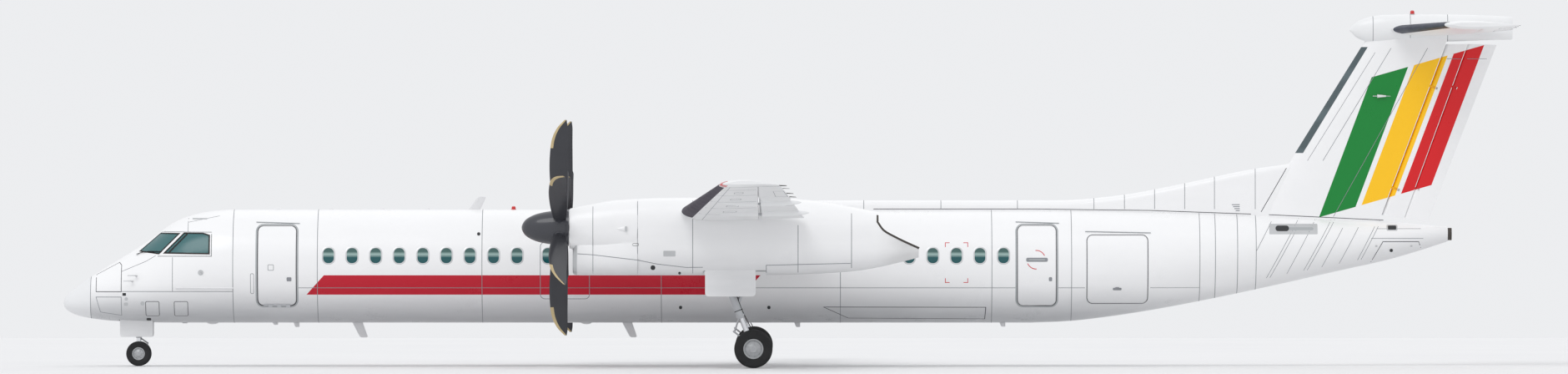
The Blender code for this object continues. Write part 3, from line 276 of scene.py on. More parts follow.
class Shape:
    """Points and faces that grow into one piece."""

    def __init__(self) -> None:
        """Start with nothing."""
        self.points: list[Vector] = []
        self.faces: list[tuple[int, ...]] = []
        self.marks: list[int] = []

    def _face(self, corners: Iterable[int], mark: int) -> None:
        """One face, with the number of its finish."""
        self.faces.append(tuple(corners))
        self.marks.append(mark)

    def loft(self, rings: Sequence[Ring], mark: int = 0, hoop: bool = False) -> None:
        """Skin through rings that have the same number of points.

        Args:
            rings: Rings in order.
            mark: Number of the finish.
            hoop: Whether the last ring joins the first.
        """
        start = len(self.points)
        count = len(rings[0])
        for ring in rings:
            self.points += ring
        total = len(rings)
        for k in range(total if hoop else total - 1):
            near = start + k * count
            far = start + ((k + 1) % total) * count
            for i in range(count):
                j = (i + 1) % count
                self._face((near + i, near + j, far + j, far + i), mark)
        if not hoop:
            self._face(range(start, start + count), mark)
            last = start + (total - 1) * count
            self._face(range(last, last + count), mark)

    def rod(self, start: Vector, end: Vector, radius: float, mark: int = 0, sides: int = 16,
            end_radius: Optional[float] = None) -> None:
        """Round bar with slightly rounded ends.

        Args:
            start: Middle of the first end.
            end: Middle of the last end.
            radius: Radius of the bar.
            mark: Number of the finish.
            sides: Sides of the bar.
            end_radius: Radius at the last end, where it differs.
        """
        tip = radius if end_radius is None else end_radius
        round_off = min(0.12 * min(radius, tip), 0.006)
        length = (end - start).length
        profile = [(radius - round_off, 0.0), (radius, round_off), (tip, length - round_off),
                   (tip - round_off, length)]
        self.turned(profile, start, end - start, sides, mark)

    def turned(self, profile: Sequence[Point], start: Vector, axis: Vector, sides: int = 32,
               mark: int = 0, hoop: bool = False) -> None:
        """Profile swept round an axis.

        Args:
            profile: (radius, distance along the axis) points.
            start: Where the axis starts.
            axis: Direction of the axis.
            sides: Steps of a full turn.
            mark: Number of the finish.
            hoop: Whether the profile is a closed loop.
        """
        turn = axis.to_track_quat("Z", "Y").to_matrix()
        rings = []
        for radius, along in profile:
            ring = []
            for k in range(sides):
                angle = 2.0 * math.pi * k / sides
                flat = Vector((radius * math.cos(angle), radius * math.sin(angle), along))
                ring.append(start + turn @ flat)
            rings.append(ring)
        self.loft(rings, mark, hoop=hoop)

    def tube(self, path: Sequence[Vector], radius: float, mark: int = 0, sides: int = 8) -> None:
        """Round tube along a line of points.

        Args:
            path: Points of the middle line.
            radius: Radius of the tube.
            mark: Number of the finish.
            sides: Sides of the tube.
        """
        rings = []
        side = Vector((0.31, 0.87, 0.39))
        for k, point in enumerate(path):
            ahead = path[min(k + 1, len(path) - 1)] - path[max(k - 1, 0)]
            ahead.normalize()
            side = (side - ahead * side.dot(ahead)).normalized()
            other = ahead.cross(side)
            ring = []
            for i in range(sides):
                angle = 2.0 * math.pi * i / sides
                ring.append(point + (side * math.cos(angle) + other * math.sin(angle)) * radius)
            rings.append(ring)
        self.loft(rings, mark)

    def block(self, low: Vector, high: Vector, mark: int = 0, bevel: float = 0.004) -> None:
        """Plate or block with bevelled edges.

        Args:
            low: Lowest corner.
            high: Highest corner.
            mark: Number of the finish.
            bevel: Width of the bevel.
        """
        middle = (low + high) / 2.0
        half = (high - low) / 2.0
        bevel = min(bevel, min(half) * 0.5)
        rings = []
        for z, inset in ((-half.z, bevel), (-half.z + bevel, 0.0), (half.z - bevel, 0.0), (half.z, bevel)):
            x, y = half.x - inset, half.y - inset
            corners = ((x, y - bevel), (x - bevel, y), (-x + bevel, y), (-x, y - bevel),
                       (-x, -y + bevel), (-x + bevel, -y), (x - bevel, -y), (x, -y + bevel))
            rings.append([middle + Vector((a, b, z)) for a, b in corners])
        self.loft(rings, mark)

    def strip(self, path: Sequence[Vector], normals: Sequence[Vector], width: float, mark: int = 0,
              closed: bool = False, rise: float = 0.0022, sink: float = 0.003) -> None:
        """Thin raised line along a surface.

        Args:
            path: Points on the surface.
            normals: Direction away from the surface at each point.
            width: Width of the line.
            mark: Number of the finish.
            closed: Whether the line is a loop.
            rise: Height above the surface.
            sink: Depth below the surface.
        """
        rings = []
        count = len(path)
        for k, (point, out) in enumerate(zip(path, normals)):
            before = path[k - 1] if closed or k else point
            after = path[(k + 1) % count] if closed or k < count - 1 else point
            first = (point - before).normalized()
            second = (after - point).normalized()
            along = (first + second).normalized()
            across = along.cross(out).normalized()
            open_up = max(0.5, along.dot(second if second.length else first))
            reach = across * (width / 2.0 / open_up)
            rings.append([point - reach - out * sink, point - reach * 0.9 + out * rise,
                          point + reach * 0.9 + out * rise, point + reach - out * sink])
        self.loft(rings, mark, hoop=closed)

    def bead(self, outline: Sequence[Point], place: Callable[[float, float, float], Vector],
             profile: Sequence[Point]) -> None:
        """Raised frame round a rounded outline.

        Args:
            outline: Outline about its middle.
            place: Point for an east, a height and a lift from the surface.
            profile: (distance outwards, lift) points of the closed section.
        """
        count = len(outline)
        outs = []
        for k in range(count):
            (a, b), (c, d) = outline[k - 1], outline[(k + 1) % count]
            length = math.hypot(c - a, d - b) or 1.0
            outs.append(((d - b) / length, -(c - a) / length))
        rings = []
        for out, lift in profile:
            rings.append([place(x + u * out, z + v * out, lift) for (x, z), (u, v) in zip(outline, outs)])
        self.loft(rings, hoop=True)

    def patch(self, outline: Sequence[Point], place: Callable[[float, float, float], Vector],
              rise: float, sink: float, mark: int = 0, rings: int = 4, crown: float = 0.0) -> None:
        """Closed plate that follows a surface.

        Args:
            outline: Outline about its middle.
            place: Point for an east, a height and a lift from the surface.
            rise: Height of its edge above the surface.
            sink: Depth below the surface.
            mark: Number of the finish.
            rings: Steps from its edge to its middle.
            crown: Extra height in the middle.
        """
        skins = [[place(x, z, -sink) for x, z in outline]]
        for k in range(rings):
            size = 1.0 - k / rings
            lift = rise + crown * (1.0 - size * size)
            skins.append([place(x * size, z * size, lift) for x, z in outline])
        tip = place(0.0, 0.0, rise + crown)
        skins.append([tip + (point - tip) * 0.02 for point in skins[-1]])
        self.loft(skins, mark)

    def build(self, name: str, *finishes: "Finish") -> bpy.types.Object:
        """Piece made of the shape.

        Args:
            name: Name of the piece.
            finishes: Finishes in the order of their numbers.

        Returns:
            The new object.
        """
        mesh = bpy.data.meshes.new(name)
        mesh.from_pydata([tuple(p) for p in self.points], [], self.faces)
        mesh.polygons.foreach_set("material_index", self.marks)
        mesh.validate()
        for finish in finishes:
            mesh.materials.append(finish.material())
        made = bpy.data.objects.new(name, mesh)
        bpy.context.scene.collection.objects.link(made)
        turn_outwards(made)
        smooth(made)
        return made


def lofted(rings: Sequence[Ring]) -> Shape:
    """Shape of one skin through rings."""
    shape = Shape()
    shape.loft(rings)
    return shape


def turn_outwards(piece: bpy.types.Object) -> None:
    """Turn every face of a piece outwards."""
    work = bmesh.new()
    work.from_mesh(piece.data)
    bmesh.ops.recalc_face_normals(work, faces=work.faces)
    work.to_mesh(piece.data)
    work.free()


def smooth(piece: bpy.types.Object, degrees: float = 32.0) -> None:
    """Shade a piece smooth, with its real edges kept sharp.

    Args:
        piece: Piece to shade.
        degrees: Angle from which an edge stays sharp.
    """
    piece.data.shade_smooth()
    piece.data.set_sharp_from_angle(angle=math.radians(degrees))


def carve(target: bpy.types.Object, tool: Union["Shape", bpy.types.Object], action: Cut,
          finish: Optional["Finish"] = None) -> None:
    """Change a piece with a tool that is used up.

    Args:
        target: Piece to change.
        tool: Shape or object that acts on it.
        action: Take away, join or keep.
        finish: Finish of the faces that the tool leaves.
    """
    if isinstance(tool, Shape):
        tool = tool.build("tool", finish) if finish else tool.build("tool")
    if not tool.data.materials:
        tool.data.materials.append(target.data.materials[0])
    step = target.modifiers.new("shape", "BOOLEAN")
    step.operation = action.value
    step.solver = "EXACT"
    step.material_mode = "TRANSFER"
    step.object = tool
    bpy.context.view_layer.update()
    graph = bpy.context.evaluated_depsgraph_get()
    mesh = bpy.data.meshes.new_from_object(target.evaluated_get(graph))
    target.modifiers.remove(step)
    target.data = mesh
    bpy.data.objects.remove(tool)
    smooth(target)


def settle(piece: bpy.types.Object, body: str = ROOT, stands_for: Sequence[str] = ()) -> bpy.types.Object:
    """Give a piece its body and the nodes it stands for.

    Args:
        piece: Piece in place.
        body: Body that it rides on.
        stands_for: Nodes that it replaces.

    Returns:
        The piece.
    """
    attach(piece, body)
    if stands_for:
        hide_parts(*stands_for)
    log.info("%s rides on %s", piece.name, body)
    return piece


# Shader maths


class Wire:
    """Shader socket that can stand in a Python sum."""

    def __init__(self, net: "Net", socket: bpy.types.NodeSocket) -> None:
        """Keep the socket and the net it belongs to."""
        self.net = net
        self.socket = socket

    def _math(self, operation: str, *values: Any) -> "Wire":
        """One Math node."""
        settings = {"operation": operation}
        return self.net.node("ShaderNodeMath", settings, dict(enumerate(values)))

    def __add__(self, other: Any) -> "Wire":
        """Sum."""
        return self._math("ADD", self, other)

    def __sub__(self, other: Any) -> "Wire":
        """Difference."""
        return self._math("SUBTRACT", self, other)

    def __rsub__(self, other: Any) -> "Wire":
        """Difference from a number."""
        return self._math("SUBTRACT", other, self)

    def __mul__(self, other: Any) -> "Wire":
        """Product."""
        return self._math("MULTIPLY", self, other)

    def __truediv__(self, other: Any) -> "Wire":
        """Quotient."""
        return self._math("DIVIDE", self, other)

    __radd__ = __add__
    __rmul__ = __mul__

    def sine(self) -> "Wire":
        """Sine of an angle."""
        return self._math("SINE", self)

    def over(self, edge: float, soft: float) -> "Wire":
        """0 below an edge and 1 above it.

        Args:
            edge: Value in the middle of the change.
            soft: Width of the change.

        Returns:
            The mask.
        """
        settings = {"interpolation_type": "SMOOTHSTEP"}
        values = {0: self, 1: edge - soft / 2.0, 2: edge + soft / 2.0}
        return self.net.node("ShaderNodeMapRange", settings, values)

    def within(self, low: float, high: float, soft: float) -> "Wire":
        """1 between two edges and 0 outside them.

        Args:
            low: Lower edge.
            high: Upper edge.
            soft: Width of each change.

        Returns:
            The mask.
        """
        return self.over(low, soft) * (1.0 - self.over(high, soft))


class Net:
    """Nodes of one material."""

    def __init__(self, name: str) -> None:
        """Start a material with its shader."""
        self.material = bpy.data.materials.new(name)
        self.material.use_nodes = True
        self.tree = self.material.node_tree
        self.shader = self.tree.nodes["Principled BSDF"]
        self.place = self.node("ShaderNodeTexCoord", out="Object")
        parts = self.node("ShaderNodeSeparateXYZ", values={0: self.place}).socket.node
        self.x, self.y, self.z = (Wire(self, parts.outputs[k]) for k in range(3))

    def node(self, kind: str, settings: Optional[dict[str, Any]] = None,
             values: Optional[dict[Any, Any]] = None, out: Any = 0) -> Wire:
        """Add a node.

        Args:
            kind: Type of the node.
            settings: Its settings, or the stops of its ramp.
            values: Values or wires for its sockets.
            out: Socket that is returned.

        Returns:
            The wire from that socket.
        """
        made = self.tree.nodes.new(kind)
        for key, value in (settings or {}).items():
            if key == "stops":
                elements = made.color_ramp.elements
                elements[0].position, elements[1].position = value[0][0], value[-1][0]
                for position, _ in value[1:-1]:
                    elements.new(position)
                for element, (_, colour) in zip(elements, value):
                    element.color = (*colour, 1.0)
            else:
                setattr(made, key, value)
        for key, value in (values or {}).items():
            self.feed(made.inputs[key], value)
        return Wire(self, made.outputs[out])

    def feed(self, socket: bpy.types.NodeSocket, value: Any) -> None:
        """Give a socket a wire, a number, a vector or a colour.

        Args:
            socket: Socket to set.
            value: What it gets.
        """
        if isinstance(value, Wire):
            self.tree.links.new(value.socket, socket)
        elif isinstance(value, tuple) and socket.type == "RGBA":
            socket.default_value = (*value, 1.0)
        else:
            socket.default_value = value

    def set(self, **values: Any) -> None:
        """Feed the shader, with socket names in lower case and underscores."""
        for key, value in values.items():
            words = " ".join(word.capitalize() for word in key.split("_"))
            self.feed(self.shader.inputs[words.replace("Ior", "IOR")], value)

    def mix(self, share: Any, first: Any, second: Any) -> Wire:
        """Colour between two colours.

        Args:
            share: How much of the second.
            first: First colour.
            second: Second colour.

        Returns:
            The mixed colour.
        """
        values = {0: share, 6: first, 7: second}
        return self.node("ShaderNodeMix", {"data_type": "RGBA"}, values, out=2)

    def noise(self, scale: float, detail: float = 3.0,
              stretch: tuple[float, float, float] = (1.0, 1.0, 1.0)) -> Wire:
        """Cloudy pattern in the part's own space.

        Args:
            scale: Size of the pattern, as clouds in a metre.
            detail: Finer layers.
            stretch: Factor on each axis.

        Returns:
            The pattern, round 0.5.
        """
        settings = {"operation": "MULTIPLY"}
        vector = self.node("ShaderNodeVectorMath", settings, {0: self.place, 1: stretch})
        values = {"Vector": vector, "Scale": scale, "Detail": detail}
        return self.node("ShaderNodeTexNoise", None, values)

    def bump(self, height: Wire, strength: float, distance: float) -> None:
        """Relief from a pattern.

        Args:
            height: Pattern.
            strength: Share of the relief.
            distance: Depth in metres.
        """
        values = {"Strength": strength, "Distance": distance, "Height": height}
        self.set(normal=self.node("ShaderNodeBump", None, values))


# Finishes


@dataclass(frozen=True)
class Finish:
    """Finish with its plain colour and gloss; the nodes add grime and relief."""

    name: str
    colour: Colour
    roughness: float = 0.35
    metallic: float = 0.0
    coat: float = 0.0
    grime: float = 0.10
    grain: float = 60.0
    relief: float = 0.0004

    def material(self) -> bpy.types.Material:
        """Material of this finish, made once."""
        known = bpy.data.materials.get(self.name)
        return known if known else self.nodes().material

    def nodes(self) -> Net:
        """Nodes of the finish.

        Returns:
            The finished net.
        """
        net = Net(self.name)
        cloud = net.noise(1.3, 4.0)
        streak = net.noise(2.2, 3.0, (0.25, 1.0, 1.6))
        grain = net.noise(self.grain, 2.0)
        wear = (cloud * 0.5 + streak * 0.5).over(0.55, 0.5)
        dull = tuple(c * 0.72 + 0.02 for c in self.colour)
        colour = net.mix(wear * self.grime, self.colour, dull)
        colour = self.pattern(net, colour)
        net.set(base_color=colour, metallic=self.metallic, coat_weight=self.coat, specular_ior_level=0.3)
        net.set(roughness=(cloud - 0.5) * 0.16 + (grain - 0.5) * 0.06 + self.roughness)
        net.bump(grain, 0.35, self.relief)
        return net

    def pattern(self, net: Net, colour: Wire) -> Wire:
        """Colours laid over the ground colour.

        Args:
            net: Nodes of the material.
            colour: Ground colour.

        Returns:
            The colour with its pattern.
        """
        return colour


@dataclass(frozen=True)
class BodyPaint(Finish):
    """White gloss with painted shade over the lower body and under the tail cone, and a crimson band along
    the cabin.
    """

    # Grey of the painted shade on the lower body and under the tail cone.
    belly_shade: Colour = (0.34, 0.35, 0.37)
    band: Colour = (0.52, 0.006, 0.024)
    band_ends: Point = (5.54, 15.40)
    band_heights: Point = (1.62, 2.06)
    rake: float = 0.9

    def pattern(self, net: Net, colour: Wire) -> Wire:
        """Painted shade on the lower body, streaked along the keel, painted shade under the tail cone, and
        the band.
        """
        station = net.x + LENGTH / 2.0
        keel_streaks = net.noise(3.0, 4.0, (0.3, 1.0, 1.0))
        # Painted shade: the lower body turns grey towards the keel, stronger in streaks.
        low = 1.0 - net.z.over(1.40, 1.05)
        colour = net.mix(low * 0.62 + low * keel_streaks * 0.25, colour, self.belly_shade)
        # Painted shade under the upswept tail cone, in the same grey.
        tail = station.over(25.0, 6.0) * (1.0 - (net.z - station * 0.26 + 5.2).over(0.0, 0.9))
        colour = net.mix(tail * 0.42, colour, self.belly_shade)
        low_z, high_z = self.band_heights
        slanted = station - (net.z - low_z) * self.rake
        band = net.z.within(low_z, high_z, 0.006) * slanted.within(*self.band_ends, 0.006)
        return net.mix(band, colour, self.band)


@dataclass(frozen=True)
class FinPaint(Finish):
    """White gloss with three straight bands that run up the fin, parallel to its hinge."""

    bands: tuple[tuple[float, float, Colour], ...] = (
        (-1.52, -0.78, (0.004, 0.225, 0.034)),
        (-0.66, 0.02, (1.00, 0.565, 0.010)),
        (0.14, 0.76, (0.68, 0.010, 0.014)),
    )
    foot: float = 3.85
    head: float = 7.02
    hinge: Point = (29.966, 3.382)
    slope: float = 0.3766

    def pattern(self, net: Net, colour: Wire) -> Wire:
        """The bands, cut square at foot and head."""
        station = net.x + LENGTH / 2.0
        aft = station - self.hinge[0] - (net.z - self.hinge[1]) * self.slope
        rising = net.z - aft * 0.32
        upright = rising.within(self.foot, self.head, 0.006)
        for low, high, paint in self.bands:
            colour = net.mix(aft.within(low, high, 0.006) * upright, colour, paint)
        return colour


@dataclass(frozen=True)
class NacellePaint(Finish):
    """White gloss with soot behind the jet pipe, and mottled darker grey towards the bottom."""

    soot: Colour = (0.16, 0.15, 0.14)

    def pattern(self, net: Net, colour: Wire) -> Wire:
        """Mottled darker grey towards the bottom, and soot behind the jet pipe."""
        station = net.x + LENGTH / 2.0
        mottle = net.noise(2.5, 4.0, (0.25, 1.0, 1.0))
        low = 1.0 - net.z.over(2.35, 0.7)
        # Darker grey towards the bottom, in mottled patches.
        colour = net.mix(low * mottle * 0.45, colour, (0.42, 0.43, 0.45))
        return net.mix(station.over(18.75, 0.9) * mottle * 0.5, colour, self.soot)


@dataclass(frozen=True)
class Glass(Finish):
    """Tinted pane with a painted reflection: dark at its head, a pale band of painted sky reflection across
    its middle and deep at its foot.
    """

    # Colours of the painted reflection, from head to foot.
    head: Colour = (0.06, 0.13, 0.12)
    pale: Colour = (0.36, 0.50, 0.47)
    foot: Colour = (0.006, 0.085, 0.095)
    low: float = 2.34
    high: float = 2.66

    def pattern(self, net: Net, colour: Wire) -> Wire:
        """Bands of painted reflection from foot to head."""
        share = (net.z - self.low) / (self.high - self.low)
        # Painted reflection: deep at the foot, a pale band of reflected sky above the middle, dark at the
        # head.
        ramp = {"stops": ((0.0, self.foot), (0.38, self.foot), (0.60, self.pale), (0.78, self.head),
                          (1.0, self.head))}
        painted_reflection = net.node("ShaderNodeValToRGB", ramp, {0: share})
        return net.mix(0.92, colour, painted_reflection)


@dataclass(frozen=True)
class Ribbed(Finish):
    """Rubber with ribs across the span or round the tread."""

    ribs: float = 9.0
    axis: str = "y"

    def pattern(self, net: Net, colour: Wire) -> Wire:
        """Slightly paler ribs."""
        along = getattr(net, self.axis)
        ribs = (along * (self.ribs * 2.0 * math.pi)).sine().over(0.6, 0.8)
        pale = tuple(min(1.0, c * 1.7 + 0.01) for c in self.colour)
        return net.mix(ribs * 0.35, colour, pale)


WHITE: Colour = (0.90, 0.90, 0.905)
BODY = BodyPaint("body_white", WHITE, 0.30, coat=0.12, grime=0.10, relief=0.0003)
FIN = FinPaint("fin_white", WHITE, 0.30, coat=0.12, grime=0.10, relief=0.0003)
NACELLE_WHITE = NacellePaint("nacelle_white", WHITE, 0.30, coat=0.12, grime=0.14, relief=0.0003)
WING_WHITE = Finish("wing_white", (0.85, 0.855, 0.86), 0.32, coat=0.1, grime=0.16, relief=0.0003)
RADOME = Finish("radome_white", (0.80, 0.805, 0.815), 0.40, grime=0.10, relief=0.0005)
SEAM = Finish("seam_grey", (0.27, 0.28, 0.30), 0.55, grime=0.4)
SEAM_DARK = Finish("seam_dark", (0.07, 0.07, 0.08), 0.55, grime=0.4)
DOOR_BAND = Finish("door_band_grey", (0.42, 0.44, 0.45), 0.45, grime=0.3)
HANDLE_GREY = Finish("handle_grey", (0.30, 0.31, 0.33), 0.4, metallic=0.3, grime=0.4)
FRAME_BLACK = Finish("pane_frame_black", (0.018, 0.016, 0.015), 0.5, grime=0.3)
FRAME_SILVER = Finish("window_frame", (0.62, 0.63, 0.64), 0.32, metallic=0.55, grime=0.2)
CABIN_GLASS = Glass("cabin_glass", (0.03, 0.10, 0.10), 0.10, coat=0.4, grime=0.1)
COCKPIT_GLASS = Glass("cockpit_glass", (0.02, 0.08, 0.08), 0.09, coat=0.3, grime=0.1,
                      head=(0.025, 0.085, 0.085), pale=(0.014, 0.080, 0.080), foot=(0.002, 0.055, 0.060),
                      low=2.50, high=3.02)
BOOT_DARK = Ribbed("boot_charcoal", (0.034, 0.026, 0.044), 0.62, grime=0.5, ribs=1.4)
BOOT_NAVY = Ribbed("boot_navy", (0.014, 0.022, 0.045), 0.50, grime=0.4, ribs=1.4)
BOOT_TEAL = Ribbed("boot_grey_teal", (0.085, 0.115, 0.125), 0.60, grime=0.4, ribs=1.1, axis="z")
BLADE = Finish("blade_charcoal", (0.040, 0.041, 0.048), 0.42, coat=0.15, grime=0.5)
SHEATH = Finish("blade_edge_tan", (0.56, 0.44, 0.24), 0.45, grime=0.5)
SPINNER = Finish("spinner_slate", (0.050, 0.052, 0.062), 0.34, coat=0.4, grime=0.4)
RUBBER = Finish("tyre_black", (0.020, 0.020, 0.021), 0.82, grime=0.9, grain=140.0, relief=0.0012)
RIM = Finish("rim_grey", (0.55, 0.56, 0.57), 0.38, metallic=0.6, grime=0.5)
STEEL = Finish("gear_grey", (0.50, 0.51, 0.53), 0.38, metallic=0.45, grime=0.5)
CHROME = Finish("piston_chrome", (0.75, 0.76, 0.78), 0.10, metallic=1.0, grime=0.2)
HOSE = Finish("hose_black", (0.02, 0.02, 0.022), 0.6, grime=0.6)
BURNT = Finish("burnt_steel", (0.10, 0.085, 0.075), 0.52, metallic=0.8, grime=0.8)
ENGINE = Finish("engine_metal", (0.30, 0.31, 0.32), 0.5, metallic=0.8, grime=0.6)
DUCT = Finish("duct_grey", (0.16, 0.16, 0.17), 0.6, grime=0.6)
BAY = Finish("bay_primer", (0.34, 0.36, 0.33), 0.7, grime=0.8)
LINING = Finish("cabin_lining", (0.62, 0.60, 0.56), 0.6, grime=0.3)
FLOOR = Finish("entrance_floor", (0.09, 0.10, 0.11), 0.8, grime=0.6, relief=0.0012)
RED_PAINT = Finish("rescue_red", (0.62, 0.020, 0.028), 0.4, grime=0.2)
RED_LAMP = Finish("lamp_red", (0.60, 0.012, 0.012), 0.12, coat=1.0, grime=0.2)
GREEN_LAMP = Finish("lamp_green", (0.010, 0.32, 0.09), 0.12, coat=1.0, grime=0.2)
CLEAR_LAMP = Finish("lamp_clear", (0.62, 0.66, 0.68), 0.08, metallic=0.3, coat=1.0, grime=0.2)
AERIAL = Finish("aerial_white", (0.80, 0.80, 0.81), 0.4, grime=0.3)
AERIAL_BLACK = Finish("aerial_black", (0.03, 0.03, 0.03), 0.5, grime=0.3)
VENT = Finish("vent_dark", (0.035, 0.037, 0.040), 0.6, grime=0.5)
PLATE = Finish("bare_plate", (0.58, 0.59, 0.60), 0.42, metallic=0.3, grime=0.5)


# Surfaces that details sit on


class Skin:
    """Outer surface with a left and a right flank."""

    plate_sink = 0.004

    def base(self, station: float, height: float, side: int) -> Vector:
        """Point on the flank."""
        raise NotImplementedError

    def out(self, station: float, height: float, side: int) -> Vector:
        """Direction away from the flank."""
        step = 0.004
        along = self.base(station + step, height, side) - self.base(station - step, height, side)
        up = self.base(station, height + step, side) - self.base(station, height - step, side)
        return (along.cross(up) * -side).normalized()

    def at(self, station: float, height: float, side: int, lift: float = 0.0) -> Vector:
        """Point on the flank or off it.

        Args:
            station: Station.
            height: Height.
            side: -1 for the left flank, 1 for the right.
            lift: Distance from the surface.

        Returns:
            The point.
        """
        return self.base(station, height, side) + self.out(station, height, side) * lift

    def line(self, shape: Shape, points: Sequence[Point], side: int, width: float = 0.014,
             closed: bool = False, mark: int = 0, step: float = 0.08) -> None:
        """Seam along side view points.

        Args:
            shape: Shape that gets the seam.
            points: Corner points.
            side: Flank.
            width: Width of the seam.
            closed: Whether it is a loop.
            mark: Number of the finish.
            step: Longest run between two points.
        """
        self.strip(shape, dense(points, step, closed), side, width, mark, closed)

    def strip(self, shape: Shape, points: Sequence[Point], side: int, width: float, mark: int = 0,
              closed: bool = False, rise: float = 0.0022, sink: float = 0.003) -> None:
        """Raised line through side view points as they are.

        Args:
            shape: Shape that gets the line.
            points: Its points.
            side: Flank.
            width: Width of the line.
            mark: Number of the finish.
            closed: Whether it is a loop.
            rise: Height above the surface.
            sink: Depth below the surface.
        """
        path = [self.base(s, z, side) for s, z in points]
        normals = [self.out(s, z, side) for s, z in points]
        shape.strip(path, normals, width, mark, closed, rise, sink)

    def frame(self, shape: Shape, middle: Point, size: Point, corner: float, side: int,
              width: float = 0.014, mark: int = 0) -> None:
        """Seam round a panel with round corners.

        Args:
            shape: Shape that gets the seam.
            middle: Middle of the panel.
            size: Width and height.
            corner: Corner radius.
            side: Flank.
            width: Width of the seam.
            mark: Number of the finish.
        """
        outline = rounded(size[0] / 2.0, size[1] / 2.0, corner, 5)
        points = [(middle[0] + x, middle[1] + z) for x, z in outline]
        self.line(shape, points, side, width, True, mark)

    def plate(self, shape: Shape, middle: Point, size: Point, corner: float, side: int,
              mark: int = 0, rise: float = 0.002) -> None:
        """Plate with round corners that follows the flank.

        Args:
            shape: Shape that gets the plate.
            middle: Middle of the plate.
            size: Width and height.
            corner: Corner radius.
            side: Flank.
            mark: Number of the finish.
            rise: Height of its edge.
        """
        outline = dense(rounded(size[0] / 2.0, size[1] / 2.0, corner, 5), 0.05, True)
        shape.patch(outline, self.placer(middle, side), rise, self.plate_sink, mark)

    def placer(self, middle: Point, side: int) -> Callable[[float, float, float], Vector]:
        """Function from an offset and a lift to a point."""
        return lambda x, z, lift: self.at(middle[0] + x, middle[1] + z, side, lift)


# Body


@dataclass
class Hull(Skin):
    """Round body: two half ellipses that meet at the widest line."""

    rows: tuple[tuple[float, ...], ...] = (
        (0.000, 1.4215, 1.4185, 1.420, 0.002), (0.072, 1.591, 1.277, 1.420, 0.200),
        (0.216, 1.717, 1.187, 1.428, 0.340), (0.432, 1.888, 1.115, 1.456, 0.480),
        (0.719, 2.077, 1.066, 1.501, 0.620), (1.079, 2.301, 1.025, 1.582, 0.760),
        (1.438, 2.517, 1.007, 1.672, 0.880), (1.942, 2.841, 0.989, 1.825, 1.030),
        (2.517, 3.254, 0.980, 2.014, 1.170), (2.805, 3.380, 0.980, 2.086, 1.230),
        (3.092, 3.461, 0.980, 2.131, 1.275), (3.524, 3.524, 0.980, 2.179, 1.325),
        (3.884, 3.542, 0.980, 2.197, 1.345), (22.00, 3.542, 0.980, 2.197, 1.345),
        (22.80, 3.537, 1.019, 2.211, 1.340), (23.52, 3.528, 1.097, 2.247, 1.320),
        (24.60, 3.506, 1.259, 2.346, 1.260), (26.03, 3.461, 1.528, 2.517, 1.120),
        (27.47, 3.398, 1.834, 2.679, 0.910), (28.91, 3.335, 2.158, 2.823, 0.650),
        (29.99, 3.281, 2.400, 2.904, 0.440), (30.71, 3.200, 2.607, 2.949, 0.290),
        (31.36, 3.150, 2.820, 2.990, 0.150),
    )
    sides: int = 96
    fine_step: float = 0.12
    long_step: float = 0.60
    straight: Point = (3.884, 22.0)

    def __post_init__(self) -> None:
        """Make the smooth curve through the rows."""
        self.curve = Curve(self.rows, blunt=True)

    def around(self, station: float, angle: float, grow: float = 0.0) -> Vector:
        """Point on the skin at an angle from the right hand side."""
        crown, keel, waist, half = self.curve.at(station)
        rise = (crown - waist if math.sin(angle) > 0.0 else waist - keel) + grow
        return spot(station, (half + grow) * math.cos(angle), waist + rise * math.sin(angle))

    def angle(self, station: float, height: float, side: int) -> float:
        """Angle of a height on one flank."""
        crown, keel, waist, _ = self.curve.at(station)
        rise = crown - waist if height > waist else waist - keel
        turn = math.asin(min(1.0, max(-1.0, (height - waist) / rise)))
        return turn if side > 0 else math.pi - turn

    def base(self, station: float, height: float, side: int) -> Vector:
        """Point on the flank."""
        return self.around(station, self.angle(station, height, side))

    def out_at(self, station: float, angle: float) -> Vector:
        """Direction away from the skin at an angle."""
        along = self.around(station + 0.01, angle) - self.around(max(station - 0.01, 0.0), angle)
        turn = self.around(station, angle + 0.01) - self.around(station, angle - 0.01)
        return turn.cross(along).normalized()

    def out(self, station: float, height: float, side: int) -> Vector:
        """Direction away from the flank."""
        return self.out_at(station, self.angle(station, height, side))

    def half_width(self, station: float, height: float, grow: float = 0.0) -> float:
        """Half width at a height, of the skin or of one inside it."""
        crown, keel, waist, half = self.curve.at(station)
        rise = (crown - waist if height > waist else waist - keel) + grow
        return (half + grow) * math.sqrt(max(0.0, 1.0 - ((height - waist) / rise) ** 2))

    def stations(self, first: float, last: float) -> list[float]:
        """Stations of the rings between two ends, on a grid that all pieces share."""
        found = [first]
        station = 0.0
        while station < last - 0.01:
            if station > first + 0.01:
                found.append(station)
            if self.straight[0] < station < self.straight[1]:
                station += self.long_step
            else:
                station += self.fine_step if station > 0.30 else 0.03
            station = round(station, 4)
        return found + [last]

    def shell(self, first: float, last: float, grow: float = 0.0) -> Shape:
        """Solid between two stations, as large as the skin or a little smaller."""
        turn = 2.0 * math.pi / self.sides
        return lofted([[self.around(station, turn * (k + 0.5), grow) for k in range(self.sides)]
                       for station in self.stations(first, last)])

    def hoop(self, shape: Shape, station: float, width: float,
             angles: Point = (0.0, 2.0 * math.pi)) -> None:
        """Seam round the body, or part of the way round.

        Args:
            shape: Shape that gets the seam.
            station: Station of the seam.
            width: Width of the seam.
            angles: First and last angle.
        """
        first, sweep = angles[0], angles[1] - angles[0]
        full = sweep > 6.28
        steps = self.sides if full else max(4, round(self.sides * sweep / 6.28))
        turns = [first + sweep * k / steps for k in range(steps + (not full))]
        path = [self.around(station, angle) for angle in turns]
        normals = [self.out_at(station, angle) for angle in turns]
        shape.strip(path, normals, width, closed=full)


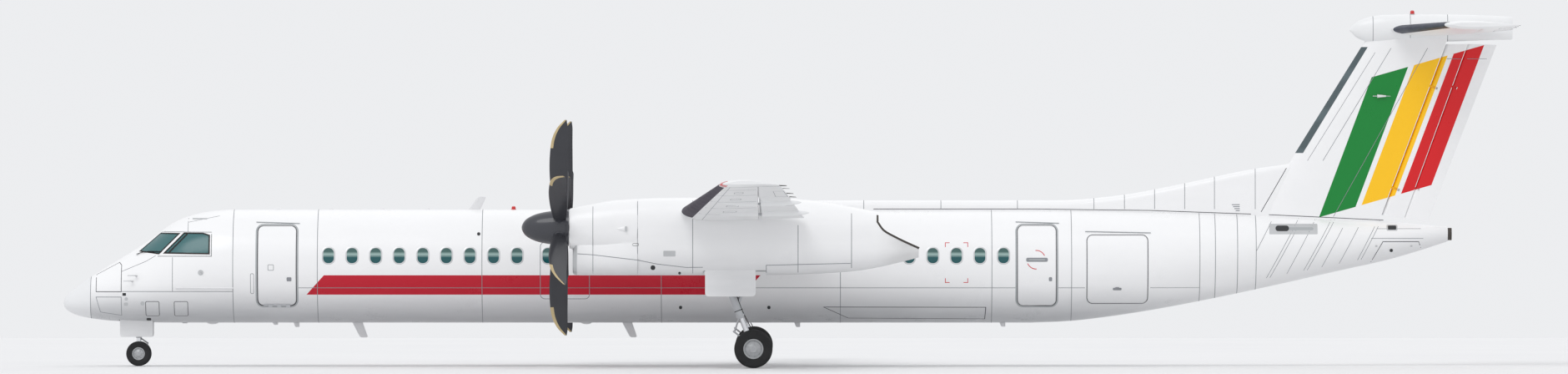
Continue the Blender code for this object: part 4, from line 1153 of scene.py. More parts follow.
@dataclass(frozen=True)
class Door:
    """Door in the skin, with the place of its outline."""

    name: str
    side: int
    first: float
    last: float
    sill: float
    head: float
    gap: float = 0.003
    corner: float = 0.12
    reach: Point = (0.55, 1.60)

    def outline(self, margin: float, arc: int = 6) -> list[Point]:
        """Outline in the side view, a margin larger than the door."""
        half_w = (self.last - self.first) / 2.0 + margin
        half_h = (self.head - self.sill) / 2.0 + margin
        middle = ((self.first + self.last) / 2.0, (self.sill + self.head) / 2.0)
        corners = rounded(half_w, half_h, self.corner + margin, arc)
        return [(middle[0] + x, middle[1] + z) for x, z in corners]

    def prism(self, margin: float = 0.0) -> Shape:
        """Block that cuts out the door, or its opening.

        Args:
            margin: How much larger than the door it is.

        Returns:
            The block.
        """
        return lofted([[spot(s, self.side * y, z) for s, z in self.outline(margin)] for y in self.reach])


@dataclass
class Fuselage:
    """Body sections, doors, entrance and cockpit panes."""

    hull: Hull
    pieces: tuple[tuple[str, float, float], ...] = (
        ("radome", 0.0, 0.636), ("cockpit_section", 0.636, 3.884), ("entry_section", 3.884, 5.790),
        ("cabin_section", 5.790, 21.02), ("aft_cabin_section", 21.02, 25.72),
        ("tail_section", 25.72, 31.36),
    )
    doors: tuple[Door, ...] = (
        Door("entry_door", -1, 4.450, 5.300, 1.385, 3.165, 0.006),
        Door("front_exit_door", 1, 4.560, 5.180, 1.700, 3.000),
        Door("aft_passenger_door", -1, 21.61, 22.46, 1.385, 3.170),
        Door("aft_service_door", 1, 21.70, 22.40, 1.560, 3.000),
        Door("baggage_door", -1, 23.18, 24.53, 1.435, 2.955),
    )
    door_thickness: float = 0.08
    door_back_gap: float = 0.006
    seam_gap: float = 0.001
    vestibule: tuple[tuple[float, float], tuple[float, float], tuple[float, float]] = (
        (4.48, 5.27), (-1.60, -0.15), (1.46, 3.08))
    foot_room: float = 0.150
    hinge: tuple[float, float, float] = (4.875, -1.0238, 1.382)
    treads: int = 4
    first_tread: float = 0.36
    tread_step: float = 0.34
    stair_turn: float = 50.0
    fairing_floor: float = 2.30
    fairing: tuple[tuple[float, float, float], ...] = (
        (12.60, 0.30, 3.450), (13.00, 0.90, 3.560), (13.50, 1.22, 3.600), (15.60, 1.27, 3.600),
        (16.80, 1.27, 3.600), (17.60, 1.00, 3.560), (18.30, 0.30, 3.450),
    )
    nose_bay: tuple[Point, Point, Point] = ((1.27, 2.06), (-0.27, 0.27), (0.8, 1.46))
    panes: tuple[tuple[str, tuple[Point, ...]], ...] = (
        ("windscreen", ((1.750, 2.602), (2.215, 3.007), (2.650, 2.998), (2.197, 2.544))),
        ("side_window", ((2.320, 2.560), (2.766, 3.009), (3.200, 3.004), (3.342, 2.957),
                         (3.342, 2.544))),
    )
    pane_thickness: float = 0.03
    pane_gap: float = 0.002
    post: float = 0.03

    def fairing_shape(self) -> Shape:
        """Fairing over the wing root."""
        curve = Curve(self.fairing)
        rings = []
        for station in spread(self.fairing[0][0], self.fairing[-1][0], 34):
            half, top = curve.at(station)
            shoulder = min(0.55, half * 0.8)
            ring = [spot(station, -half, self.fairing_floor)]
            for k in range(9):
                angle = math.pi / 2.0 * k / 8
                across = half - shoulder + shoulder * math.cos(angle)
                ring.append(spot(station, -across, top - 0.34 + 0.34 * math.sin(angle)))
            ring += [Vector((p.x, -p.y, p.z)) for p in reversed(ring)]
            rings.append(ring)
        return lofted(rings)

    def build(self, wing_tool: Callable[[], Shape]) -> None:
        """Build and dress the whole body.

        Args:
            wing_tool: Maker of the block that seats the centre wing.
        """
        made = {}
        for name, first, last in self.pieces:
            finish = RADOME if name == "radome" else BODY
            start = first if first == 0.0 else first + self.seam_gap
            made[name] = self.hull.shell(start, last - self.seam_gap).build("looks_" + name, finish)
        self._cut_doors(made)
        self._cut_entrance(made["entry_section"])
        self._cut_panes(made["cockpit_section"])
        (a, b), (c, d), (e, f) = self.nose_bay
        bay = Shape()
        bay.block(spot(a, c, e), spot(b, d, f), bevel=0.001)
        carve(made["cockpit_section"], bay, Cut.TAKE, BAY)
        self._add_pad(made["cockpit_section"])
        carve(made["cabin_section"], self.fairing_shape(), Cut.JOIN, BODY)
        carve(made["cabin_section"], wing_tool(), Cut.TAKE, BODY)
        for name, piece in made.items():
            settle(piece, ROOT, [name])

    def _add_pad(self, section: bpy.types.Object) -> None:
        """Jacking pad under the nose."""
        pad = Shape()
        pad.rod(spot(2.75, 0.0, 0.965), spot(2.75, 0.0, 1.035), 0.06, sides=32)
        carve(section, pad, Cut.JOIN, PLATE)

    def _cut_doors(self, made: dict[str, bpy.types.Object]) -> None:
        """Cut the doors out of their sections and build them."""
        for door in self.doors:
            owner = next(n for n, a, b in self.pieces if a < door.first < b)
            first, last = door.first - 0.25, door.last + 0.25
            pocket = door.prism(door.gap).build("tool", BAY)
            inner = self.hull.shell(first - 0.1, last + 0.1, -self.door_thickness - self.door_back_gap)
            carve(pocket, inner, Cut.TAKE, BAY)
            carve(made[owner], pocket, Cut.TAKE)
            leaf = self.hull.shell(first, last).build("looks_" + door.name, BODY)
            carve(leaf, door.prism(), Cut.KEEP, FRAME_SILVER)
            carve(leaf, self.hull.shell(first - 0.1, last + 0.1, -self.door_thickness), Cut.TAKE, LINING)
            if door.name == "entry_door":
                self._add_stair(leaf)
            body = "entry_door" if door.name == "entry_door" else ROOT
            settle(leaf, body, [door.name])

    def _knuckles(self, own: int) -> Shape:
        """Every second knuckle of the entry door's hinge, with its flange."""
        shape = Shape()
        _, y, z = self.hinge
        first = self.doors[0].first + 0.12
        for k in range(own, 6, 2):
            a, b = first + 0.1 * k + 0.001, first + 0.1 * (k + 1) - 0.001
            shape.rod(spot(a, y, z), spot(b, y, z), 0.016)
            low, high = (z - 0.05, z) if own else (z, z + 0.05)
            shape.block(spot(a, y - 0.002, low), spot(b, y + 0.05, high), bevel=0.001)
        return shape

    def _add_stair(self, leaf: bpy.types.Object) -> None:
        """Treads, side rails and hinge knuckles of the entry door.

        Args:
            leaf: The door; not used.
        """
        door = self.doors[0]
        middle = (door.first + door.last) / 2.0
        turn = Matrix.Rotation(math.radians(self.stair_turn), 3, "X")
        stair = Shape()
        for k in range(self.treads):
            height = door.sill + self.first_tread + self.tread_step * k
            inner = -self.hull.half_width(middle, height) + self.door_thickness
            start = len(stair.points)
            stair.block(Vector((-0.30, -0.05, -0.025)), Vector((0.30, 0.20, 0.0)), 0, 0.004)
            for rib in range(7):
                y = 0.005 + 0.028 * rib
                stair.block(Vector((-0.27, y, 0.0)), Vector((0.27, y + 0.012, 0.004)), 1, 0.001)
            for n in range(start, len(stair.points)):
                stair.points[n] = turn @ stair.points[n] + spot(middle, inner, height)
        for across in (-0.325, 0.325):
            path = []
            for height in spread(door.sill + 0.12, door.head - 0.25, 14):
                inner = -self.hull.half_width(middle, height) + self.door_thickness
                path.append(spot(middle + across, inner + 0.012, height))
            stair.tube(path, 0.016, 2, 8)
        rails = stair.build("entry_stair", PLATE, FLOOR, STEEL)
        settle(rails, "entry_door")
        settle(self._knuckles(0).build("entry_hinge_door", STEEL), "entry_door")
        settle(self._knuckles(1).build("entry_hinge_body", STEEL), ROOT)

    def _cut_entrance(self, section: bpy.types.Object) -> None:
        """Hollow behind the entry door, with its floor and lining.

        Args:
            section: Entry section.
        """
        (a, b), (c, d), (e, f) = self.vestibule
        outline = rounded((b - a) / 2.0, (f - e) / 2.0, 0.06)
        middle = ((a + b) / 2.0, (e + f) / 2.0)
        hollow = lofted([[spot(middle[0] + x, y, middle[1] + z) for x, z in outline] for y in (c, d)])
        carve(section, hollow, Cut.TAKE, LINING)
        _, y, z = self.hinge
        door = self.doors[0]
        turns = spread(0.0, math.pi, 20)
        ring = [(self.foot_room * math.cos(t), self.foot_room * math.sin(t)) for t in turns]
        room = lofted([[spot(s, y + u, z - 0.003 + v) for u, v in ring]
                       for s in (door.first - door.gap, door.last + door.gap)])
        carve(section, room, Cut.TAKE, BAY)
        inside = Shape()
        inside.block(spot(a + 0.03, -0.98, e), spot(b - 0.03, d - 0.01, e + 0.006), 0, 0.002)
        for k in range(9):
            y = -0.93 + 0.085 * k
            inside.block(spot(a + 0.07, y, e + 0.004), spot(b - 0.07, y + 0.02, e + 0.010), 1, 0.001)
        inside.block(spot(a + 0.10, d - 0.012, e + 0.06), spot(b - 0.10, d, f - 0.12), 2, 0.004)
        inside.block(spot(a + 0.14, d - 0.016, e + 0.75), spot(b - 0.14, d - 0.010, f - 0.30), 3, 0.003)
        settle(inside.build("entrance_fittings", FLOOR, PLATE, LINING, SEAM), ROOT)

    def _cut_panes(self, section: bpy.types.Object) -> None:
        """Cockpit panes and the pockets they sit in.

        Args:
            section: Cockpit section.
        """
        for side in Side:
            for name, outline in self.panes:
                first = outline[0][0] - 0.3
                last = outline[-2][0] + 0.3
                ends = (side.value * self.post, side.value * 1.6)
                pane = self.hull.shell(first, last, -0.003).build(
                    "looks_" + name + "_" + side.label, COCKPIT_GLASS)
                carve(pane, self.hull.shell(first - 0.1, last + 0.1, -self.pane_thickness), Cut.TAKE)
                carve(pane, lofted([[spot(s, y, z) for s, z in outline] for y in ends]), Cut.KEEP)
                settle(pane, ROOT, [name + "_" + side.label])
                middle = [sum(p[k] for p in outline) / len(outline) for k in (0, 1)]
                wide = [(s + math.copysign(self.pane_gap, s - middle[0]),
                         z + math.copysign(self.pane_gap, z - middle[1])) for s, z in outline]
                tool = lofted([[spot(s, y, z) for s, z in wide] for y in ends]).build("tool", FRAME_BLACK)
                depth = self.pane_thickness + self.pane_gap
                carve(tool, self.hull.shell(first - 0.2, last + 0.2, -depth), Cut.TAKE, FRAME_BLACK)
                carve(section, tool, Cut.TAKE)


# Aerofoils


def half_thickness(share: float, ratio: float) -> float:
    """Half thickness of a section as a share of its chord.

    Args:
        share: Place along the chord.
        ratio: Greatest thickness as a share of the chord.

    Returns:
        The half thickness.
    """
    thickness = 0.2969 * math.sqrt(max(share, 0.0))
    for power, factor in enumerate((-0.126, -0.3516, 0.2843, -0.1036), start=1):
        thickness += factor * share ** power
    return 5.0 * ratio * thickness


@dataclass
class Plan:
    """Lifting surface: rows of across, leading and trailing edge, thickness ratio."""

    rows: tuple[tuple[float, ...], ...]
    camber: float = 0.0
    steps: int = 22

    def row(self, across: float) -> list[float]:
        """Row of the table at a distance from the centreline."""
        return straight(self.rows, across)

    def point(self, across: float, share: float, face: float, side: int) -> Vector:
        """Point on the upper (1), mean (0) or lower (-1) line.

        Args:
            across: Distance from the centreline.
            share: Place along the chord.
            face: Which line, or a share of the half thickness.
            side: -1 for the left half, 1 for the right.

        Returns:
            The point.
        """
        return self.of_row(self.row(across), across, share, face, side)

    def of_row(self, row: Sequence[float], across: float, share: float, face: float, side: int) -> Vector:
        """Point of one row."""
        _, nose_s, nose_z, tail_s, tail_z, ratio = row
        chord = tail_s - nose_s
        rise = self.camber * 4.0 * share * (1.0 - share) + face * half_thickness(share, ratio)
        height = nose_z + (tail_z - nose_z) * share + chord * rise
        return spot(nose_s + chord * share, side * across, height)

    def shares(self, last: float) -> list[float]:
        """Places along the chord, closer together at the nose."""
        return [last * (1.0 - math.cos(math.pi / 2.0 * k / self.steps)) for k in range(self.steps + 1)]

    def ring(self, across: float, side: int, last: float) -> Ring:
        """Ring round the nose up to a share of the chord."""
        return self.row_ring(self.row(across), across, side, last)

    def row_ring(self, row: Sequence[float], across: float, side: int, last: float) -> Ring:
        """Ring of one row round the nose."""
        shares = self.shares(last)
        upper = [self.of_row(row, across, share, 1.0, side) for share in reversed(shares)]
        return upper + [self.of_row(row, across, share, -1.0, side) for share in shares[1:]]

    def tip(self, rows: Sequence[Point], side: int, back: float = 0.0) -> Shape:
        """Rounded tip.

        Args:
            rows: Distances from the centreline, with the share of the chord cut off the nose.
            side: Half of the surface.
            back: How much of that share the tail loses too.

        Returns:
            The tip.
        """
        rings = []
        for across, shrink in rows:
            row = self.row(across)
            chord = row[3] - row[1]
            row[1] += chord * shrink
            row[3] -= chord * shrink * back
            rings.append(self.row_ring(row, across, side, 0.985))
        return lofted(rings)

    def out(self, across: float, share: float, face: float, side: int) -> Vector:
        """Direction away from the surface."""
        share = min(max(share, 0.003), 0.995)
        along = self.point(across, share + 0.002, face, side) - self.point(across, share - 0.002, face, side)
        run = self.point(across + 0.01, share, face, side) - self.point(across - 0.01, share, face, side)
        out = along.cross(run).normalized()
        return out if out.z * face > 0.0 else -out

    def line(self, shape: Shape, points: Sequence[Point], side: int, face: float, width: float = 0.014,
             closed: bool = False, mark: int = 0) -> None:
        """Seam along (across, share) points.

        Args:
            shape: Shape that gets the seam.
            points: Corner points.
            side: Half of the surface.
            face: 1 for the upper skin, -1 for the lower.
            width: Width of the seam.
            closed: Whether it is a loop.
            mark: Number of the finish.
        """
        full = dense(points, 0.09, closed)
        path = [self.point(a, c, face, side) for a, c in full]
        normals = [self.out(a, c, face, side) for a, c in full]
        shape.strip(path, normals, width, mark, closed)

    def boot(self, shape: Shape, first: float, last: float, reach: float, side: int, mark: int = 0,
             lift: float = 0.0025, sink: float = 0.004, count: int = 24) -> None:
        """Thin cover over the leading edge.

        Args:
            shape: Shape that gets the cover.
            first: First distance from the centreline.
            last: Last distance.
            reach: Share of the chord that it covers.
            side: Half of the surface.
            mark: Number of the finish.
            lift: Height above the skin.
            sink: Depth of its back.
            count: Rings along the span.
        """
        rings = []
        for across in spread(first, last, count):
            row = self.row(across)
            outer, inner = [], []
            for k in range(-12, 13):
                share = reach * (1.0 - math.cos(math.pi / 2.0 * abs(k) / 12))
                face = 1.0 if k >= 0 else -1.0
                point = self.of_row(row, across, share, face, side)
                out = self.out(across, share, face, side) if k else AHEAD
                outer.append(point + out * lift)
                inner.append(point - out * sink)
            rings.append(outer + inner[::-1])
        shape.loft(rings, mark)


@dataclass
class Flap:
    """One flap with its track fairings."""

    kind: str
    first: float
    last: float
    tracks: tuple[float, ...]


@dataclass
class Wings:
    """Centre wing and outer wings with everything that moves on them."""

    plan: Plan = field(default_factory=lambda: Plan((
        (0.00, 14.013, 3.490, 16.820, 3.355, 0.157),
        (5.00, 14.013, 3.490, 16.820, 3.355, 0.157),
        (14.00, 14.930, 4.103, 16.250, 4.076, 0.120),
        (14.21, 15.020, 4.125, 16.230, 4.095, 0.070),
    ), 0.030))
    joint: float = 5.0
    rear: float = 0.62
    tip_start: float = 13.87
    flaps: tuple[Flap, ...] = (Flap("inboard", 1.31, 3.78, (2.55,)),
                               Flap("outboard", 5.03, 10.34, (7.0, 9.8)))
    flap_pivot: float = 0.66
    flap_drop: float = 0.05
    flap_nose_gap: float = 0.010
    flap_chord: Point = (0.655, 0.985)
    flap_nose: tuple[Point, ...] = ((0.86, 0.019), (0.62, 0.007), (0.30, 0.001), (0.0, 0.0),
                                    (-0.35, 0.004), (-0.72, 0.016))
    canoe_half: float = 0.075
    canoe_overhang: float = 0.19
    canoe_lead: float = 0.42
    canoe_depth: float = 0.055
    aileron: Point = (10.42, 13.83)
    aileron_setback: float = 0.045
    spoiler: Point = (6.1, 9.0)
    spoiler_chord: Point = (0.45, 0.59)
    spoiler_thickness: float = 0.022
    boot_spans: tuple[Point, ...] = ((1.45, 3.75), (5.30, 13.75))
    boot_reach: float = 0.085
    rib_seams: Point = (0.10, 0.60)
    nose_seam: float = 0.17
    rear_seam: float = 0.56
    tip_seam: float = 0.97
    pad: tuple[float, float, float] = (15.0, 2.0, 3.275)

    def tool(self) -> Shape:
        """Block that seats the centre wing in the body and the nacelles."""
        rings = [self.plan.ring(self.joint - 0.001, side, self.rear) for side in (-1, 1)]
        grown = []
        for ring in rings:
            middle = sum(ring, Vector()) / len(ring)
            grown.append([p + (p - middle).normalized() * 0.002 for p in ring])
        return lofted(grown)

    def build(self) -> None:
        """Build and dress the wings."""
        spans = (-self.joint, -3.0, -1.3, 1.3, 3.0, self.joint)
        centre = lofted([self.plan.ring(abs(y), -1 if y < 0 else 1, self.rear) for y in spans])
        piece = centre.build("looks_wing_centre", WING_WHITE)
        for side in Side:
            s, y, z = self.pad
            pad = Shape()
            pad.rod(spot(s, side.value * y, z), spot(s, side.value * y, z + 0.07), 0.06, sides=32)
            carve(piece, pad, Cut.JOIN, PLATE)
        self.owners = {"inboard": piece}
        for side in Side:
            self._outer(side)
            self._flaps(side)
            self._aileron(side)
            self._spoiler(side)
            self._trim(side)
        settle(piece, ROOT, ["wing_centre"])

    def _outer(self, side: Side) -> None:
        """Outer wing with its tip and its spoiler pocket."""
        spans = spread(self.joint + 0.0003, 14.0, 12)
        wing = lofted([self.plan.ring(y, side.value, self.rear) for y in spans])
        piece = wing.build("looks_wing_" + side.label, WING_WHITE)
        rows = ((self.tip_start, 0.0), (14.0, 0.0), (14.06, 0.0), (14.12, 0.01), (14.17, 0.03),
                (14.21, 0.08))
        carve(piece, self.plan.tip(rows, side.value, 0.3), Cut.JOIN, WING_WHITE)
        rings = []
        for across in (self.spoiler[0] - 0.008, self.spoiler[1] + 0.008):
            front = self.plan.point(across, self.spoiler_chord[0], 1.0, side.value)
            back = self.plan.point(across, self.spoiler_chord[1], 1.0, side.value)
            edge = (back - front).normalized() * 0.008
            floor = Vector((0.0, 0.0, -self.spoiler_thickness - 0.001))
            lift = Vector((0.0, 0.0, 0.06))
            rings.append([front - edge + lift, back + edge + lift, back + edge + floor,
                          front - edge + floor])
        carve(piece, lofted(rings), Cut.TAKE, BAY)
        self.owners["outboard" + side.label] = piece
        settle(piece, ROOT, ["wing_" + side.label])

    def _pivot(self, across: float, side: int) -> Vector:
        """Point that a flap swings about."""
        low = self.plan.point(across, self.flap_pivot, -1.0, side)
        return low - Vector((0.0, 0.0, self.flap_drop))

    def _canoe(self, y: float, first: float, last: float, top: float, bottom: float,
               tail_first: bool) -> Shape:
        """Slim fairing of a flap track, between two stations."""
        rings = []
        for angle in spread(0.0, math.pi / 2.0, 20):
            share = math.sin(angle) if tail_first else 1.0 - math.cos(angle)
            station = first + (last - first) * share
            slim = share if tail_first else 1.0 - share
            swell = math.sqrt(max(0.0, 1.0 - slim ** 2.2)) if slim < 0.999 else 0.10
            crest = top - (top - bottom) * (0.42 * (1.0 - swell) if tail_first else 0.0)
            depth = (top - bottom) * (swell if tail_first else 0.45 + 0.55 * swell)
            wide = self.canoe_half * swell
            ring = [spot(station, y - wide, crest)]
            for k in range(15):
                turn = math.pi * k / 14
                down = 0.25 + 0.75 * math.sin(turn) ** 0.8
                ring.append(spot(station, y - wide * bulged(math.cos(turn), 0.75), crest - depth * down))
            rings.append(ring + [spot(station, y + wide, crest)])
        return lofted(rings)

    def _flaps(self, side: Side) -> None:
        """Flaps of one wing, with the fairings that go with them."""
        for flap in self.flaps:
            rings = []
            shares = spread(*self.flap_chord, 15)
            for across in spread(flap.first, flap.last, 8):
                nose = self.rear + self.flap_nose_gap
                ring = [self.plan.point(across, c, 1.0, side.value) for c in reversed(shares)]
                for face, bulge in self.flap_nose:
                    ring.append(self.plan.point(across, nose + bulge, face, side.value))
                ring += [self.plan.point(across, c, -1.0, side.value) for c in shares]
                rings.append(ring)
            name = "flap_" + flap.kind + "_" + side.label
            piece = lofted(rings).build("looks_" + name, WING_WHITE)
            owner = self.owners.get(flap.kind) or self.owners[flap.kind + side.label]
            for across in flap.tracks:
                self._track(piece, owner, across, side.value)
            settle(piece, name, [name])
            seams = Shape()
            for share in (0.34, 0.67):
                across = flap.first + (flap.last - flap.first) * share
                for face in (1.0, -1.0):
                    self.plan.line(seams, ((across, 0.665), (across, 0.97)), side.value, face, 0.010)
            settle(seams.build("seams_" + name, SEAM), name)

    def _track(self, flap: bpy.types.Object, owner: bpy.types.Object, across: float, side: int) -> None:
        """Fairing of one track: its front on the wing and its tail on the flap."""
        row = self.plan.row(across)
        pivot = self._pivot(across, side)
        face = self.plan.point(across, self.rear, -1.0, side)
        tail = self.plan.point(across, 1.0, 0.0, side)
        station = pivot.x + LENGTH / 2.0
        y = side * across
        bottom = pivot.z - self.canoe_depth
        end = tail.x + LENGTH / 2.0 + self.canoe_overhang
        carve(flap, self._canoe(y, station - 0.02, end, pivot.z + 0.10, bottom, True), Cut.JOIN, WING_WHITE)
        first = station - self.canoe_lead * (row[3] - row[1])
        end = face.x + LENGTH / 2.0 - 0.001
        carve(owner, self._canoe(y, first, end, face.z + 0.06, bottom, False), Cut.JOIN, WING_WHITE)
        slot = Shape()
        low = pivot + Vector((-0.17, -0.017, -0.13))
        slot.block(low, pivot + Vector((0.045, 0.017, 0.13)), bevel=0.001)
        carve(flap, slot, Cut.TAKE, BAY)
        reach = pivot.x - face.x + 0.05
        outline = [(-reach, -0.024)]
        outline += [(0.03 * math.sin(t), -0.03 * math.cos(t)) for t in spread(0.0, math.pi, 9)]
        outline += [(-reach, 0.024)]
        lug = lofted([[pivot + Vector((u, w, v)) for u, v in outline] for w in (-0.014, 0.014)])
        carve(owner, lug, Cut.JOIN, STEEL)

    def _hinge(self, across: float, side: int) -> tuple[Vector, float]:
        """Hinge point of the aileron and the radius of its nose."""
        row = self.plan.row(across)
        share = self.rear + self.aileron_setback
        radius = half_thickness(share, row[5]) * (row[3] - row[1])
        return self.plan.point(across, share, 0.0, side), radius

    def _aileron(self, side: Side) -> None:
        """Aileron with its hinge lugs and tab."""
        name = "aileron_" + side.label
        rings = []
        for across in spread(*self.aileron, 8):
            hinge, radius = self._hinge(across, side.value)
            edge = self.plan.point(across, 1.0, 0.0, side.value)
            rings.append(hinged_ring(hinge, radius, edge))
        piece = lofted(rings).build("looks_" + name, WING_WHITE)
        inner, outer = (self._hinge(y, side.value)[0] for y in self.aileron)
        owner = self.owners["outboard" + side.label]
        for share in (0.2, 0.8):
            across = self.aileron[0] + (self.aileron[1] - self.aileron[0]) * share
            point, radius = self._hinge(across, side.value)
            hinge_lug(owner, piece, point, outer - inner, radius * 0.6, radius + 0.062)
        settle(piece, name, [name])
        seams = Shape()
        tab = dense(((11.1, 0.84), (12.6, 0.84), (12.6, 0.985), (11.1, 0.985)), 0.09, True)
        start = self.rear + self.aileron_setback
        for face in (1.0, -1.0):
            rows = []
            for across, share in tab:
                edge = self.plan.point(across, 1.0, 0.0, side.value)
                rows.append((*self._hinge(across, side.value), edge, (share - start) / (1.0 - start)))
            hinged_seam(seams, rows, face)
        settle(seams.build("seams_" + name, SEAM), name)

    def _spoiler(self, side: Side) -> None:
        """Spoiler panel in its recess."""
        rings = []
        for across in spread(*self.spoiler, 8):
            down = UP * -self.spoiler_thickness
            top = [self.plan.point(across, c, 1.0, side.value) for c in spread(*self.spoiler_chord, 7)]
            rings.append(top + [top[-1] + down, top[0] + Vector((0.05, 0.0, 0.0)) + down])
        name = "spoiler_" + side.label
        settle(lofted(rings).build("looks_" + name, WING_WHITE), name, [name])

    def _trim(self, side: Side) -> None:
        """Boots, lamps, wicks, seams and small plates of one wing."""
        sign = side.value
        boots = Shape()
        for first, last in self.boot_spans:
            self.plan.boot(boots, first, last, self.boot_reach, sign)
        settle(boots.build("wing_boots_" + side.label, BOOT_DARK))
        lamps = Shape()
        self.plan.boot(lamps, 13.84, 14.10, 0.10, sign, 0, 0.004, 0.004, 10)
        self.plan.boot(lamps, 5.03, 5.27, 0.055, sign, 1, 0.004, 0.004, 8)
        colour = RED_LAMP if side is Side.LEFT else GREEN_LAMP
        settle(lamps.build("wing_lamps_" + side.label, colour, CLEAR_LAMP))
        seams = Shape()
        front, rear = self.rib_seams
        for face in (1.0, -1.0):
            for across in (6.6, 8.2, 9.9, 11.6, 13.1, self.tip_start):
                last = rear if across < self.tip_start else self.tip_seam
                if face > 0 and self.spoiler[0] < across < self.spoiler[1]:
                    last = self.spoiler_chord[0] - 0.01
                self.plan.line(seams, ((across, front), (across, last)), sign, face, 0.012)
            for first, last in ((5.05, 13.86), (1.40, 3.75)):
                self.plan.line(seams, ((first, self.nose_seam), (last, self.nose_seam)), sign, face, 0.010)
            for across in (2.1, 2.9):
                self.plan.line(seams, ((across, front), (across, rear)), sign, face, 0.010)
        self.plan.line(seams, ((9.2, self.rear_seam), (13.86, self.rear_seam)), sign, 1.0, 0.010)
        for across in (7.3, 8.8, 10.6, 12.3):
            points = [(across + x, 0.36 + z * 0.6) for x, z in rounded(0.19, 0.10, 0.08, 4)]
            self.plan.line(seams, points, sign, -1.0, 0.012, True)
        settle(seams.build("wing_seams_" + side.label, SEAM))
        for kind, spans, share, drop in (("wing", (13.95, 14.08), 0.975, 0.004),
                                         ("aileron", (10.9, 11.9, 13.3), 0.99, 0.008)):
            wicks = Shape()
            for across in spans:
                start = self.plan.point(across, share, 0.0, sign)
                wicks.rod(start, start + Vector((0.17, 0.0, -drop)), 0.006, 0, 8, 0.003)
            body = ROOT if kind == "wing" else "aileron_" + side.label
            settle(wicks.build(kind + "_wicks_" + side.label, AERIAL_BLACK), body)


def hinged_ring(hinge: Vector, radius: float, edge: Vector) -> Ring:
    """Ring of a surface with a round nose about its hinge and a thin rear edge.

    Args:
        hinge: Hinge point.
        radius: Radius of the nose.
        edge: Rear edge.

    Returns:
        The ring.
    """
    along = (edge - hinge).normalized()
    up = Vector((-along.z, 0.0, along.x))
    ring = [edge + up * EDGE_HALF]
    for angle in spread(math.pi / 2.0, math.pi * 1.5, 13):
        ring.append(hinge + (along * math.cos(angle) + up * math.sin(angle)) * radius)
    return ring + [edge - up * EDGE_HALF]


def hinged_seam(seams: Shape, rows: Sequence[tuple[Vector, float, Vector, float]], face: float) -> None:
    """Closed seam on one face of a hinged surface.

    Args:
        seams: Shape that gets the seam.
        rows: Hinge point, radius of the nose, rear edge and place along the chord for each point.
        face: 1 for the upper skin, -1 for the lower.
    """
    path = []
    for hinge, radius, edge, share in rows:
        along = edge - hinge
        up = Vector((-along.z, 0.0, along.x)).normalized()
        path.append(hinge + along * share + up * face * (radius + (EDGE_HALF - radius) * share))
    seams.strip(path, [UP * face] * len(path), 0.010, 0, True)


def hinge_lug(fixed: bpy.types.Object, moving: bpy.types.Object, point: Vector, axis: Vector,
              radius: float, reach: float, width: float = 0.04, head: float = 0.4,
              finish: Finish = WING_WHITE) -> None:
    """Lug on the fixed piece round a hinge line, in a slot of the moving piece.

    Args:
        fixed: Piece that gets the lug.
        moving: Piece that gets the slot.
        point: Point on the hinge line.
        axis: Direction of the hinge line.
        radius: Radius of the lug.
        reach: How far it reaches forward.
        width: Width along the hinge line.
        head: Half height of the slot.
        finish: Finish of the lug and the slot.
    """
    y = axis.normalized()
    x = (AFT - y * AFT.dot(y)).normalized()
    turn = Matrix((x, y, x.cross(y))).transposed()
    outline = [(-reach, -0.8 * radius)]
    outline += [(radius * math.sin(t), -radius * math.cos(t)) for t in spread(0.0, math.pi, 9)]
    outline += [(-reach, 0.8 * radius)]
    end = radius + 0.012
    slot = ((-reach, -head), (end, -head), (end, head), (-reach, head))
    for piece, section, half, action in ((moving, slot, width / 2.0 + 0.001, Cut.TAKE),
                                         (fixed, outline, width / 2.0, Cut.JOIN)):
        rings = [[point + turn @ Vector((u, w, v)) for u, v in section] for w in (-half, half)]
        carve(piece, lofted(rings), action, finish)


# Power units


